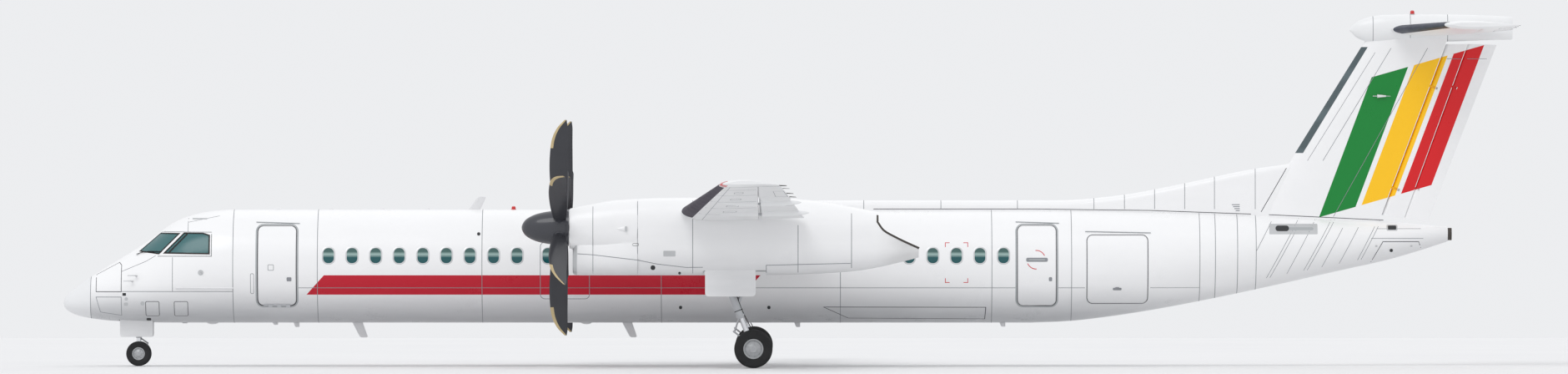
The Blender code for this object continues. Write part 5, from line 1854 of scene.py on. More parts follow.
@dataclass
class NacelleSkin(Skin):
    """Outer skin of one nacelle and its cowl, about its own middle."""

    middle: float
    nacelle: tuple[tuple[float, ...], ...] = (
        (13.050, 3.788, 2.073, 0.560), (13.480, 3.804, 2.073, 0.560), (14.300, 3.808, 2.073, 0.560),
        (16.300, 3.790, 2.084, 0.560), (17.220, 3.720, 2.120, 0.550), (17.820, 3.607, 2.160, 0.520),
        (18.410, 3.500, 2.250, 0.450), (18.960, 3.400, 2.375, 0.330), (19.340, 3.300, 2.475, 0.220),
    )
    cowl: tuple[tuple[float, ...], ...] = (
        (11.520, 3.563, 2.675, 0.420), (11.700, 3.610, 2.620, 0.465), (12.050, 3.673, 2.553, 0.510),
        (12.500, 3.752, 2.499, 0.540), (13.050, 3.788, 2.416, 0.560),
    )
    chin: tuple[tuple[float, ...], ...] = (
        (11.600, 2.720, 2.110, 0.360), (11.720, 2.900, 2.073, 0.400), (12.300, 3.000, 2.073, 0.470),
        (13.050, 3.200, 2.073, 0.540),
    )
    joint: float = 13.05
    sides: int = 72
    power: float = 2.6
    cowl_power: float = 2.2

    def __post_init__(self) -> None:
        """Make the smooth curves through the rows."""
        self.powers = {"cowl": self.cowl_power}
        self.curves = {"nacelle": Curve(self.nacelle), "cowl": Curve(self.cowl), "chin": Curve(self.chin)}

    def ring(self, kind: str, station: float, shrink: float = 0.0) -> Ring:
        """Ring of one of the three skins.

        Args:
            kind: nacelle, cowl or chin.
            station: Station.
            shrink: Distance that it lies inside the skin.

        Returns:
            The ring.
        """
        top, bottom, half = self.curves[kind].at(station)
        sizes = ((top + bottom) / 2.0, (top - bottom) / 2.0 - shrink, half - shrink)
        return boxy_ring(station, self.middle, sizes, self.powers.get(kind, self.power), self.sides)

    def _half(self, kind: str, station: float, height: float) -> float:
        """Half width of one skin at a height."""
        top, bottom, half = self.curves[kind].at(station)
        power = self.powers.get(kind, self.power)
        rise = abs(height - (top + bottom) / 2.0) / ((top - bottom) / 2.0)
        return half * max(0.0, 1.0 - rise ** power) ** (1.0 / power)

    def base(self, station: float, height: float, side: int) -> Vector:
        """Point on the flank that faces left (-1) or right (1)."""
        if station >= self.joint:
            half = self._half("nacelle", station, height)
        else:
            half = max(self._half("cowl", station, height), self._half("chin", station, height))
        return spot(station, self.middle + side * half, height)


@dataclass
class PowerUnit:
    """Cowl and nacelle of one engine, with intake, jet pipe and gear bay."""

    side: Side
    offset: float = 4.4
    intake: tuple[tuple[float, ...], ...] = ((11.55, 2.640, 2.150, 0.300), (12.35, 2.560, 2.200, 0.220))
    cut: tuple[Point, ...] = ((18.43, 3.70), (18.43, 3.27), (18.56, 3.09), (18.87, 2.91), (19.36, 2.68),
                              (19.60, 2.68), (19.60, 3.70))
    pipe: tuple[Point, Point] = ((17.90, 3.05), (19.00, 3.02))
    pipe_radius: float = 0.21
    bay: tuple[Point, float, float] = ((14.54, 15.93), 0.36, 2.75)
    wing_foot: float = 3.20

    def __post_init__(self) -> None:
        """Place the skin."""
        self.y = self.side.value * self.offset
        self.skin = NacelleSkin(self.y)

    def build(self, wing_tool: Callable[[], Shape]) -> None:
        """Build and dress the unit.

        Args:
            wing_tool: Maker of the block that seats the wing.
        """
        self._cowl()
        self._nacelle(wing_tool)
        self._seams()
        self._fittings()

    def _oval(self, station: float, top: float, bottom: float, half: float) -> Ring:
        """Ring of the intake duct."""
        sizes = ((top + bottom) / 2.0, (top - bottom) / 2.0, half)
        return boxy_ring(station, self.y, sizes, self.skin.power, self.skin.sides)

    def _front(self, kind: str, lip: Sequence[Point], start: float) -> Shape:
        """Cowl or chin behind the (station, inset) rows of its lip."""
        rings = [self.skin.ring(kind, s, inset) for s, inset in lip]
        return lofted(rings + [self.skin.ring(kind, s) for s in spread(start, self.skin.joint - 0.001, 16)])

    def _cowl(self) -> None:
        """Cowl with its chin and intake."""
        skin = self.skin
        cowl = self._front("cowl", ((11.520, 0.022), (11.527, 0.008), (11.545, 0.001)), 11.58)
        piece = cowl.build("looks_engine_cowl_" + self.side.label, NACELLE_WHITE)
        chin = self._front("chin", ((11.600, 0.026), (11.608, 0.010), (11.628, 0.001)), 11.66)
        carve(piece, chin, Cut.JOIN, NACELLE_WHITE)
        carve(piece, lofted([self._oval(*row) for row in self.intake]), Cut.TAKE, DUCT)
        settle(piece, ROOT, ["engine_cowl_" + self.side.label])
        lip = Shape()
        rings = [skin.ring("chin", 11.69, -0.003), skin.ring("chin", 11.63, -0.003),
                 skin.ring("chin", 11.606, 0.008), skin.ring("chin", 11.596, 0.030)]
        rings += [self._oval(11.603, 2.648, 2.142, 0.308), self._oval(11.65, 2.630, 2.158, 0.288),
                  self._oval(11.69, 2.640, 2.150, 0.300), skin.ring("chin", 11.69, 0.004)]
        lip.loft(rings, hoop=True)
        settle(lip.build("intake_lip_" + self.side.label, PLATE))

    def _nacelle(self, wing_tool: Callable[[], Shape]) -> None:
        """Nacelle with its wing seat, slanted cut, jet pipe and gear bay."""
        skin = self.skin
        end = skin.nacelle[-1][0]
        shape = lofted([skin.ring("nacelle", s) for s in spread(skin.joint, end, 44)])
        piece = shape.build("looks_nacelle_" + self.side.label, NACELLE_WHITE)
        carve(piece, wing_tool(), Cut.TAKE, NACELLE_WHITE)
        slant = lofted([[spot(s, self.y + x, z) for s, z in self._smooth_cut()] for x in (-0.8, 0.8)])
        carve(piece, slant, Cut.TAKE, BURNT)
        root, mouth = (spot(s, self.y, z) for s, z in self.pipe)
        bore = Shape()
        axis = mouth - root
        bore.turned([(self.pipe_radius, 0.0), (self.pipe_radius, axis.length)], root, axis, 48)
        carve(piece, bore, Cut.TAKE, BURNT)
        (a, b), half, top = self.bay
        bay = Shape()
        bay.block(spot(a, self.y - half, 1.9), spot(b, self.y + half, top), bevel=0.001)
        carve(piece, bay, Cut.TAKE, BAY)
        settle(piece, ROOT, ["nacelle_" + self.side.label])
        ribs = Shape()
        for s in spread(a + 0.15, b - 0.15, 7):
            for edge in (-1, 1):
                y = self.y + edge * (half - 0.0055)
                ribs.block(spot(s - 0.012, y - 0.0065, 2.40), spot(s + 0.012, y + 0.0065, 2.72), 0, 0.002)
            ribs.block(spot(s - 0.012, self.y - half, 2.728), spot(s + 0.012, self.y + half, 2.752), 0,
                       0.002)
        for y in (-0.15, 0.16):
            ribs.tube([spot(s, self.y + y, 2.715) for s in spread(a, b, 6)], 0.012, 1, 8)
        settle(ribs.build("gear_bay_ribs_" + self.side.label, BAY, HOSE))

    def _smooth_cut(self) -> list[Point]:
        """Slanted cut with a rounder line between its corners."""
        heights = Curve([(-z, s) for s, z in self.cut[1:5]])
        low, high = -self.cut[1][1], -self.cut[4][1]
        middle = [(heights.at(z)[0], -z) for z in spread(low, high, 14)]
        return [self.cut[0]] + middle + list(self.cut[5:])

    def _seams(self) -> None:
        """Panel lines of both flanks."""
        shape = Shape()
        skin = self.skin
        for side in (-1, 1):
            for station in (12.051, 13.051, 14.284, 16.640):
                upper, lower = ("nacelle", "nacelle") if station > skin.joint else ("cowl", "chin")
                top = self.wing_foot if station > 14.3 else skin.curves[upper].at(station)[0] - 0.06
                low = skin.curves[lower].at(station)[1] + 0.05
                skin.line(shape, ((station, low), (station, top)), side, 0.014, step=0.05)
            skin.line(shape, ((17.835, 2.24), (17.835, 3.46)), side, 0.016, step=0.05)
            skin.line(shape, ((11.704, 2.557), (12.046, 2.535), (13.044, 2.418), (13.484, 2.330),
                              (14.131, 2.253),
                              (14.509, 2.256)), side, 0.016)
            skin.line(shape, ((14.518, 2.167), (15.929, 2.167), (15.929, 2.301), (17.817, 2.345)), side,
                      0.016)
            skin.line(shape, ((14.518, 2.13), (14.518, 2.167)), side, 0.012)
            skin.line(shape, ((15.929, 2.13), (15.929, 2.167)), side, 0.012)
        settle(shape.build("nacelle_seams_" + self.side.label, SEAM))

    def _fittings(self) -> None:
        """Scoops, vents and the jet pipe."""
        shape = Shape()
        skin = self.skin
        for side in (-1, 1):
            skin.frame(shape, (13.008, 2.762), (0.126, 0.054), 0.015, side, 0.008, 0)
            skin.plate(shape, (13.763, 2.562), (0.270, 0.126), 0.015, side, 1, 0.004)
            skin.plate(shape, (13.393, 2.248), (0.104, 0.104), 0.05, side, 0, 0.004)
            skin.plate(shape, (13.988, 2.125), (0.058, 0.058), 0.028, side, 0, 0.004)
            scoop = []
            for k, s in enumerate(spread(12.567, 12.801, 8)):
                grow = 0.05 * k / 7.0 + 0.004
                ring = []
                for a in spread(0.0, math.pi, 9):
                    height = 3.116 + (0.012 + 0.055 * k / 7.0) * math.cos(a)
                    ring.append(skin.at(s, height, side, grow * math.sin(a) - 0.006))
                scoop.append(ring)
            shape.loft(scoop, 2)
            skin.plate(shape, (12.789, 3.116), (0.045, 0.11), 0.012, side, 1, 0.052)
        root = spot(18.02, self.y, 3.047)
        axis = spot(18.40, self.y, 3.037) - root
        reach = axis.length
        profile = [(0.208, 0.0), (0.208, reach - 0.004), (0.204, reach), (0.194, reach),
                   (0.190, reach - 0.004),
                   (0.190, 0.0)]
        shape.turned(profile, root, axis, 56, 3, True)
        shape.turned([(0.002, 0.0), (0.10, 0.0), (0.10, 0.02), (0.04, 0.16), (0.002, 0.20)], root, axis, 32,
                     3)
        settle(shape.build("nacelle_fittings_" + self.side.label, VENT, PLATE, NACELLE_WHITE, BURNT))
        rim = Shape()
        for side in (-1, 1):
            points = [(18.418, 3.42), (18.418, 3.34)] + [(s - 0.012, z) for s, z in self._smooth_cut()[1:-2]]
            skin.strip(rim, points, side, 0.05, 0, False, 0.004, 0.01)
        settle(rim.build("exhaust_rim_" + self.side.label, BURNT))


@dataclass
class Propeller:
    """Six blades on a spinner."""

    side: Side
    offset: float = 4.4
    station: float = 11.30
    height: float = 3.14
    blades: int = 6
    spinner: tuple[Point, ...] = (
        (10.450, 0.000), (10.470, 0.080), (10.530, 0.170), (10.640, 0.245), (10.810, 0.315), (11.170, 0.380),
        (11.510, 0.410))
    blade: tuple[tuple[float, ...], ...] = (
        (0.18, 0.20, 0.55, 82.0, 0.000), (0.45, 0.30, 0.22, 78.0, 0.000), (0.90, 0.40, 0.12, 73.0, -0.015),
        (1.40, 0.44, 0.09, 69.0, -0.025), (1.90, 0.41, 0.07, 66.0, -0.010), (2.25, 0.34, 0.06, 64.0, 0.030),
        (2.41, 0.18, 0.07, 63.0, 0.090))
    sheath: Point = (1.78, 2.404)
    sheath_reach: float = 0.17
    sweep_start: float = 1.70

    def __post_init__(self) -> None:
        """Make the smooth curve through the blade's rows."""
        self.centre = spot(self.station, self.side.value * self.offset, self.height)
        self.curve = Curve(self.blade)

    def _at(self, radius: float, share: float, face: float, turn: Matrix, lift: float) -> Vector:
        """Point on a blade.

        Args:
            radius: Distance from the axis.
            share: Place along the chord, from the leading edge.
            face: 1 or -1 for the two faces.
            turn: Turn about the axis.
            lift: Distance off the surface.

        Returns:
            The point.
        """
        squeeze = self._squeeze(radius)
        chord, ratio, pitch, shift = self.curve.at(radius)
        angle = math.radians(pitch)
        along = Vector((-math.sin(angle), math.cos(angle), 0.0))
        thick = Vector((math.cos(angle), math.sin(angle), 0.0))
        half = half_thickness(share, ratio) * 1.02 + 0.0022 * share
        reach = (0.5 - share) * chord * squeeze - shift - (1.0 - squeeze) * chord / 2.0
        offset = along * reach + thick * (face * (half * chord * squeeze + lift))
        if share < 0.001:
            offset += along * lift
        return self.centre + turn @ (offset + Vector((0.0, 0.0, radius)))

    def _squeeze(self, radius: float) -> float:
        """Share of the chord that is left where the leading edge sweeps back to the tip."""
        out = max(0.0, (radius - self.sweep_start) / (self.blade[-1][0] - self.sweep_start))
        return max(0.30, math.sqrt(1.0 - 0.91 * out ** 2.6))

    def _ring(self, radius: float, shares: Sequence[float], turn: Matrix, lift: float = 0.0,
              shift: float = 0.0) -> Ring:
        """Points round the leading edge of a blade.

        Args:
            radius: Distance from the axis.
            shares: Places along the chord, from the leading edge.
            turn: Turn about the axis.
            lift: Distance off the surface.
            shift: How much further aft every point lies.

        Returns:
            The points, from one face to the other.
        """
        ring = [self._at(radius, c + shift, 1.0, turn, lift) for c in reversed(shares)]
        return ring + [self._at(radius, c + shift, -1.0, turn, lift) for c in shares[1:]]

    def build(self) -> None:
        """Build and dress the propeller."""
        name = "propeller_" + self.side.label
        shape = Shape()
        first, last = self.spinner[0][0], self.spinner[-1][0]
        curve = Curve(self.spinner, blunt=True)
        profile = [(0.001, 0.0)]
        for k in reversed(range(27)):
            run = (last - first) * (k / 26.0) ** 1.8
            profile.append((max(0.001, curve.at(first + run)[0]), last - first - run))
        back = spot(last, self.side.value * self.offset, self.height)
        shape.turned(profile, back, AHEAD, 72, 2)
        shape.turned([(0.405, 0.055), (0.4125, 0.057), (0.4125, 0.069), (0.405, 0.071)], back, AHEAD, 72, 3,
                     True)
        radii = spread(self.blade[0][0], 1.90, 18) + spread(1.96, 2.36, 12) + [2.38, 2.395, 2.405]
        radii.append(self.blade[-1][0])
        shares = [0.5 - 0.5 * math.cos(math.pi * n / 11) for n in range(12)]
        for k in range(self.blades):
            turn = Matrix.Rotation(2.0 * math.pi * k / self.blades, 3, "X")
            shape.loft([self._ring(radius, shares, turn) for radius in radii], 0)
            sheath = []
            for radius in spread(*self.sheath, 20):
                reach = min(0.8, self.sheath_reach / self._squeeze(radius) ** 1.4)
                edge = [reach * (n / 6.0) ** 2 for n in range(7)]
                sheath.append(self._ring(radius, edge, turn, 0.0018)
                              + self._ring(radius, edge, turn, -0.002, 0.02)[::-1])
            shape.loft(sheath, 1)
            root = self.centre + turn @ UP * 0.30
            shape.turned([(0.001, 0.0), (0.118, 0.0), (0.118, 0.085), (0.105, 0.10), (0.001, 0.10)], root,
                         turn @ UP, 28, 2)
        settle(shape.build("looks_" + name, BLADE, SHEATH, SPINNER, SEAM_DARK), name, [name])


# Landing gear


@dataclass(frozen=True)
class Wheel:
    """Sizes of one wheel of a pair."""

    radius: float
    half: float
    rim: float
    offset: float
    boss_half: float
    axle: float
    grooves: int = 4
    bolts: int = 9


@dataclass
class Gear:
    """Wheels, legs and doors of the landing gear."""

    main: Wheel = Wheel(0.43, 0.135, 0.21, 0.255, 0.085, 0.045)
    nose: Wheel = Wheel(0.28, 0.085, 0.13, 0.190, 0.075, 0.028, 2, 6)
    offset: float = 4.4
    main_axle: Point = (15.64, 0.43)
    main_pivot: Point = (14.86, 2.44)
    brace_top: Point = (15.81, 2.61)
    bay_half: float = 0.36
    nose_station: float = 1.71
    nose_bay_half: float = 0.27
    main_door: tuple[float, float, float, float] = (14.56, 15.69, 1.60, 2.36)
    nose_door: tuple[float, float, float, float] = (1.29, 2.04, 0.66, 1.27)
    plate: float = 0.02
    clear: float = 0.0003
    nose_pivot: float = 1.33
    nose_foot: float = 0.74

    def build(self) -> None:
        """Build and dress the whole gear."""
        for side in Side:
            centre = spot(self.main_axle[0], side.value * self.offset, self.main_axle[1])
            self._pair("main_wheels_" + side.label, centre, self.main)
            self._main_leg(side, centre)
            for edge in (-1, 1):
                word = "outer" if edge == side.value else "inner"
                wall = side.value * self.offset + edge * (self.bay_half - self.clear)
                self._door("main_door_" + side.label + "_" + word, self.main_door, wall, edge, 0.08)
        centre = spot(self.nose_station, 0.0, self.nose.radius)
        self._pair("nose_wheels", centre, self.nose)
        self._nose_leg(centre)
        for side in Side:
            wall = side.value * (self.nose_bay_half - self.clear)
            self._door("nose_door_" + side.label, self.nose_door, wall, side.value, 0.05)

    def _tyre(self, wheel: Wheel) -> list[Point]:
        """Section of a tyre as (radius, distance along the axle) about its middle."""
        rows: list[Point] = []
        wall = wheel.radius - wheel.half * 0.55
        for angle in spread(0.0, math.pi / 2.0, 7):
            along = wheel.half * (0.50 + 0.50 * math.cos(angle))
            rows.append((wall + (wheel.radius - wall) * math.sin(angle), along))
        tread = wheel.half * 0.42
        for k in range(wheel.grooves):
            at = tread - 2.0 * tread * (k + 0.5) / wheel.grooves
            for shift, deep in ((0.006, 0.0), (0.004, 0.008), (-0.004, 0.008), (-0.006, 0.0)):
                rows.append((wheel.radius - deep, at + shift))
        for angle in spread(math.pi / 2.0, 0.0, 7):
            along = -wheel.half * (0.50 + 0.50 * math.cos(angle))
            rows.append((wall + (wheel.radius - wall) * math.sin(angle), along))
        bead = wheel.rim + 0.004
        rows += [(bead + 0.02, -wheel.half * 0.93), (bead, -wheel.half * 0.78), (bead, wheel.half * 0.78),
                 (bead + 0.02, wheel.half * 0.93)]
        return rows

    def _pair(self, name: str, centre: Vector, wheel: Wheel) -> None:
        """Twin wheels on their axle.

        Args:
            name: Node and body.
            centre: Middle of the axle.
            wheel: Sizes of a wheel.
        """
        shape = Shape()
        rim, half = wheel.rim, wheel.half
        for side in (-1.0, 1.0):
            axis = Vector((0.0, side, 0.0))
            middle = centre + axis * wheel.offset
            shape.turned(self._tyre(wheel), middle, axis, 72, 0, True)
            inner = wheel.boss_half + 0.001 - wheel.offset
            section = [(wheel.axle * 0.7, inner), (rim * 0.6, inner), (rim * 0.72, -half * 0.55),
                       (rim + 0.002, -half * 0.84), (rim + 0.012, -half * 0.84), (rim + 0.012, -half * 0.76),
                       (rim + 0.003, -half * 0.70), (rim + 0.003, half * 0.70), (rim + 0.012, half * 0.76),
                       (rim + 0.012, half * 0.84), (rim + 0.002, half * 0.84), (rim * 0.90, half * 0.62),
                       (rim * 0.80, half * 0.30), (rim * 0.45, half * 0.42), (rim * 0.36, half * 0.55),
                       (wheel.axle * 0.7, half * 0.55)]
            shape.turned(section, middle, axis, 56, 1, True)
            shape.rod(middle + axis * (half * 0.50), middle + axis * (half * 0.60), wheel.axle * 1.1, 2, 24)
            for k in range(wheel.bolts):
                angle = 2.0 * math.pi * k / wheel.bolts
                out = Vector((math.cos(angle), 0.0, math.sin(angle)))
                foot = middle + out * (rim * 0.64) + axis * (half * 0.33)
                shape.rod(foot, foot + axis * 0.022, rim * 0.055, 2, 10)
                hole = middle + out * (rim * 0.86) + axis * (half * 0.40)
                shape.rod(hole, hole + axis * 0.006, rim * 0.045, 3, 12)
        reach = Vector((0.0, wheel.offset + half * 0.5, 0.0))
        shape.rod(centre - reach, centre + reach, wheel.axle, 2, 24)
        settle(shape.build("looks_" + name, RUBBER, RIM, STEEL, HOSE), name, [name])

    def _door(self, name: str, sizes: tuple[float, ...], wall: float, edge: int, corner: float) -> None:
        """Door plate that hangs down, with ribs on its inner face.

        Args:
            name: Node.
            sizes: First and last station, foot and head height.
            wall: Distance of its outer face from the centreline.
            edge: Which way its outer face looks.
            corner: Corner radius.
        """
        first, last, foot, head = sizes
        middle = ((first + last) / 2.0, (foot + head) / 2.0)
        shape = Shape()
        rings = []
        for depth, inset in ((0.0, 0.003), (0.003, 0.0), (self.plate - 0.003, 0.0), (self.plate, 0.003)):
            outline = rounded((last - first) / 2.0 - inset, (head - foot) / 2.0 - inset, corner)
            rings.append([spot(middle[0] + x, wall - edge * depth, middle[1] + z) for x, z in outline])
        shape.loft(rings, 0)
        inside = wall - edge * self.plate
        rib = edge * -0.010
        low, high = min(inside, inside + rib), max(inside, inside + rib)
        for k in range(4):
            s = first + (last - first) * (k + 0.7) / 4.4
            shape.block(spot(s - 0.012, low, foot + 0.05), spot(s + 0.012, high, head - 0.05), 1, 0.002)
        for z in (foot + 0.12, head - 0.14):
            shape.block(spot(first + 0.06, low, z - 0.012), spot(last - 0.06, high, z + 0.012), 1, 0.002)
        settle(shape.build("looks_" + name, NACELLE_WHITE, BAY), ROOT, [name])

    def _main_leg(self, side: Side, axle: Vector) -> None:
        """Main leg with yoke, brace, links and hoses."""
        y = side.value * self.offset
        pivot = spot(self.main_pivot[0], y, self.main_pivot[1])
        across = Vector((0.0, self.bay_half - self.clear, 0.0))
        down = axle - pivot
        unit = down.normalized()
        shape = Shape()
        shape.rod(pivot - across, pivot + across, 0.065, 0, 32)
        shape.rod(pivot, pivot + down * 0.66, 0.095, 0, 36)
        for share in (0.02, 0.33, 0.62):
            shape.turned([(0.09, 0.0), (0.108, 0.004), (0.108, 0.046), (0.09, 0.05)], pivot + down * share,
                         unit, 36, 0)
        shape.rod(pivot + down * 0.60, axle, 0.060, 1, 32)
        boss = Vector((0.0, self.main.boss_half, 0.0))
        shape.rod(axle - boss, axle + boss, 0.095, 0, 36)
        for arm in (-1, 1):
            shoulder = pivot + Vector((0.0, arm * 0.27, 0.0))
            shape.rod(shoulder, pivot + down * 0.45, 0.045, 0, 20)
            shape.rod(shoulder - Vector((0.0, 0.04, 0.0)), shoulder + Vector((0.0, 0.04, 0.0)), 0.085, 0, 28)
        brace = spot(self.brace_top[0], y, self.brace_top[1])
        shape.rod(pivot + down * 0.52, brace, 0.045, 0, 20)
        shape.rod(brace - across, brace + across, 0.040, 0, 20)
        knee = pivot + down * 0.80 + Vector((-0.27, 0.0, -0.02))
        foot = axle + Vector((0.0, 0.0, 0.05))
        for arm in (-0.045, 0.045):
            lift = Vector((0.0, arm, 0.0))
            shape.rod(pivot + down * 0.62 + lift, knee + lift * 0.45, 0.020, 0, 12)
            shape.rod(knee + Vector((-0.02, 0.0, 0.01)) + lift * 0.45, foot + lift, 0.020, 0, 12)
        shape.rod(knee - Vector((0.01, 0.045, -0.005)), knee + Vector((-0.01, 0.045, 0.005)), 0.026, 0, 16)
        for arm in (-0.055, 0.055):
            lift = Vector((0.0, arm, 0.0))
            path = [pivot + down * t + lift + AFT * (0.11 + 0.03 * math.sin(9.0 * t))
                    for t in spread(0.06, 0.9, 22)]
            shape.tube(path, 0.010, 2, 8)
        for share in (0.15, 0.35, 0.57):
            shape.turned([(0.096, 0.0), (0.100, 0.002), (0.100, 0.016), (0.096, 0.018)],
                         pivot + down * share, unit, 36, 2)
        name = "main_leg_" + side.label
        settle(shape.build("looks_" + name, STEEL, CHROME, HOSE), ROOT, [name])

    def _nose_leg(self, axle: Vector) -> None:
        """Nose leg, and the fork that steers in it."""
        s = self.nose_station
        pivot = spot(s, 0.0, self.nose_pivot)
        foot = spot(s, 0.0, self.nose_foot)
        across = Vector((0.0, self.nose_bay_half - self.clear, 0.0))
        leg = Shape()
        leg.rod(foot, pivot, 0.08, 0, 36)
        leg.turned([(0.078, 0.0), (0.094, 0.004), (0.094, 0.07), (0.078, 0.074)],
                   foot + Vector((0.0, 0.0, 0.004)),
                   UP, 36, 0)
        leg.rod(pivot - across, pivot + across, 0.045, 0, 24)
        top = spot(1.37, 0.0, 1.36)
        for arm in (-0.05, 0.05):
            lift = Vector((0.0, arm, 0.0))
            leg.rod(spot(s, 0.0, 0.92) + lift, top + lift * 2.2, 0.024, 0, 14)
        leg.rod(top - across, top + across, 0.032, 0, 16)
        leg.rod(spot(s - 0.03, -0.16, 0.86), spot(s - 0.03, 0.16, 0.86), 0.030, 0, 20)
        for arm in (-0.14, 0.14):
            lamp = spot(s - 0.12, arm, 1.02)
            leg.turned([(0.002, 0.0), (0.030, 0.002), (0.052, 0.030), (0.055, 0.062), (0.050, 0.066)],
                       lamp + Vector((0.066, 0.0, 0.0)), AHEAD, 28, 2)
            leg.turned([(0.002, 0.0), (0.049, 0.0), (0.040, 0.008), (0.002, 0.012)], lamp, AHEAD, 28, 3)
            leg.rod(lamp + Vector((0.05, 0.0, 0.0)), spot(s, arm * 0.45, 1.02), 0.012, 0, 10)
        leg.tube([spot(s + 0.10, 0.03 * math.sin(6.0 * z), z) for z in spread(0.80, 1.36, 14)], 0.008, 2, 8)
        settle(leg.build("looks_nose_leg", STEEL, CHROME, HOSE, CLEAR_LAMP), ROOT, ["nose_leg"])
        fork = Shape()
        fork.rod(axle, foot - Vector((0.0, 0.0, 0.0005)), 0.055, 1, 36)
        boss = Vector((0.0, self.nose.boss_half, 0.0))
        fork.rod(axle - boss, axle + boss, 0.065, 0, 32)
        knee = spot(s + 0.20, 0.0, 0.52)
        for arm in (-0.03, 0.03):
            lift = Vector((0.0, arm, 0.0))
            fork.rod(knee + lift * 0.5, spot(s, 0.0, 0.66) + lift, 0.016, 0, 12)
            fork.rod(knee + Vector((0.01, 0.0, -0.01)) + lift * 0.5, axle + Vector((0.0, 0.0, 0.03)) + lift,
                     0.016, 0, 12)
        fork.rod(knee - Vector((0.0, 0.032, 0.0)), knee + Vector((0.0, 0.032, 0.0)), 0.020, 0, 14)
        fork.turned([(0.053, 0.0), (0.068, 0.004), (0.068, 0.05), (0.053, 0.054)], spot(s, 0.0, 0.635),
                    UP, 32, 0)
        settle(fork.build("looks_nose_fork", STEEL, CHROME), "nose_steering", ["nose_fork"])


# Tail


@dataclass
class FinSkin(Skin):
    """Flanks of the fin and of both rudders."""

    edge: tuple[Point, Point] = ((26.960, 3.300), (29.450, 7.290))
    fore_hinge: tuple[Point, Point] = ((29.966, 3.382), (31.446, 7.312))
    rear_hinge: tuple[Point, Point] = ((30.439, 3.344), (31.868, 7.228))
    rudder_edge: tuple[Point, Point] = ((30.903, 3.229), (32.485, 7.305))
    ratio: float = 0.11
    clear: float = 0.008
    sweep: float = 1.07

    @staticmethod
    def line_at(line: tuple[Point, Point], height: float) -> float:
        """Station of a slanted line at a height."""
        (foot_s, foot_z), (head_s, head_z) = line
        return foot_s + (head_s - foot_s) * (height - foot_z) / (head_z - foot_z)

    def point(self, line: tuple[Point, Point], height: float) -> Vector:
        """Point of a slanted line on the centreline."""
        return spot(self.line_at(line, height), 0.0, height)

    def half(self, height: float, station: float) -> float:
        """Half thickness at a height and a station."""
        nose = self.line_at(self.edge, height)
        chord = self.line_at(self.rudder_edge, height) - nose
        return half_thickness(max(0.0, (station - nose) / chord), self.ratio) * chord

    def base(self, station: float, height: float, side: int) -> Vector:
        """Point on the flank."""
        return spot(station, side * self.half(height, station), height)

    def ring(self, height: float, count: int = 20) -> Ring:
        """Ring round the fixed fin at a height."""
        nose = self.line_at(self.edge, height)
        hinge = self.line_at(self.fore_hinge, height)
        rear = hinge - self.half(height, hinge) * self.sweep - self.clear
        shares = [1.0 - math.cos(math.pi / 2.0 * k / count) for k in range(count + 1)]
        ring = []
        for share in reversed(shares):
            station = nose + (rear - nose) * share
            ring.append(self.base(station, height, 1))
        for share in shares[1:]:
            station = nose + (rear - nose) * share
            ring.append(self.base(station, height, -1))
        return ring

    def rudder_ring(self, front: tuple[Point, Point], rear: tuple[Point, Point], height: float,
                    drop: float, follows: bool) -> Ring:
        """Ring of a rudder: a round nose on its hinge line, a flat or thin rear edge.

        Args:
            front: Hinge line.
            rear: Line of its rear edge.
            height: Height at the hinge.
            drop: How much lower the ring is at its rear edge.
            follows: Whether another rudder follows it.

        Returns:
            The ring.
        """
        hinge = self.line_at(front, height)
        radius = self.half(height, hinge)
        edge = self.line_at(rear, height)
        edge_half = 0.005
        if follows:
            edge_half = self.half(height, edge)
            edge -= edge_half * self.sweep + self.clear
        points = [(edge, edge_half)]
        points += [(hinge - radius * math.sin(t), radius * math.cos(t)) for t in spread(0.0, math.pi, 13)]
        points.append((edge, -edge_half))
        slope = (front[1][0] - front[0][0]) / (front[1][1] - front[0][1])
        ring = []
        for station, across in points:
            fall = drop * (station - hinge) / (edge - hinge)
            ring.append(spot(station - fall * slope, across, height - fall))
        return ring


class Ridge(Skin):
    """Flanks of the spine ahead of the fin."""

    def __init__(self, rows: Sequence[Sequence[float]], floor: float) -> None:
        """Make the smooth curve through the rows."""
        self.curve = Curve(rows)
        self.floor = floor

    def base(self, station: float, height: float, side: int) -> Vector:
        """Point on the flank."""
        top, half = self.curve.at(station)
        bend = top - SHOULDER
        if height < bend:
            wide = half * (1.1 + 0.15 * (bend - height) / (bend - self.floor))
        else:
            rise = min(1.0, max(0.0, (height - bend) / SHOULDER)) ** (1.0 / 0.9)
            wide = half * 1.1 * math.sqrt(max(0.0, 1.0 - rise ** 2)) ** 0.8
        return spot(station, side * wide, height)


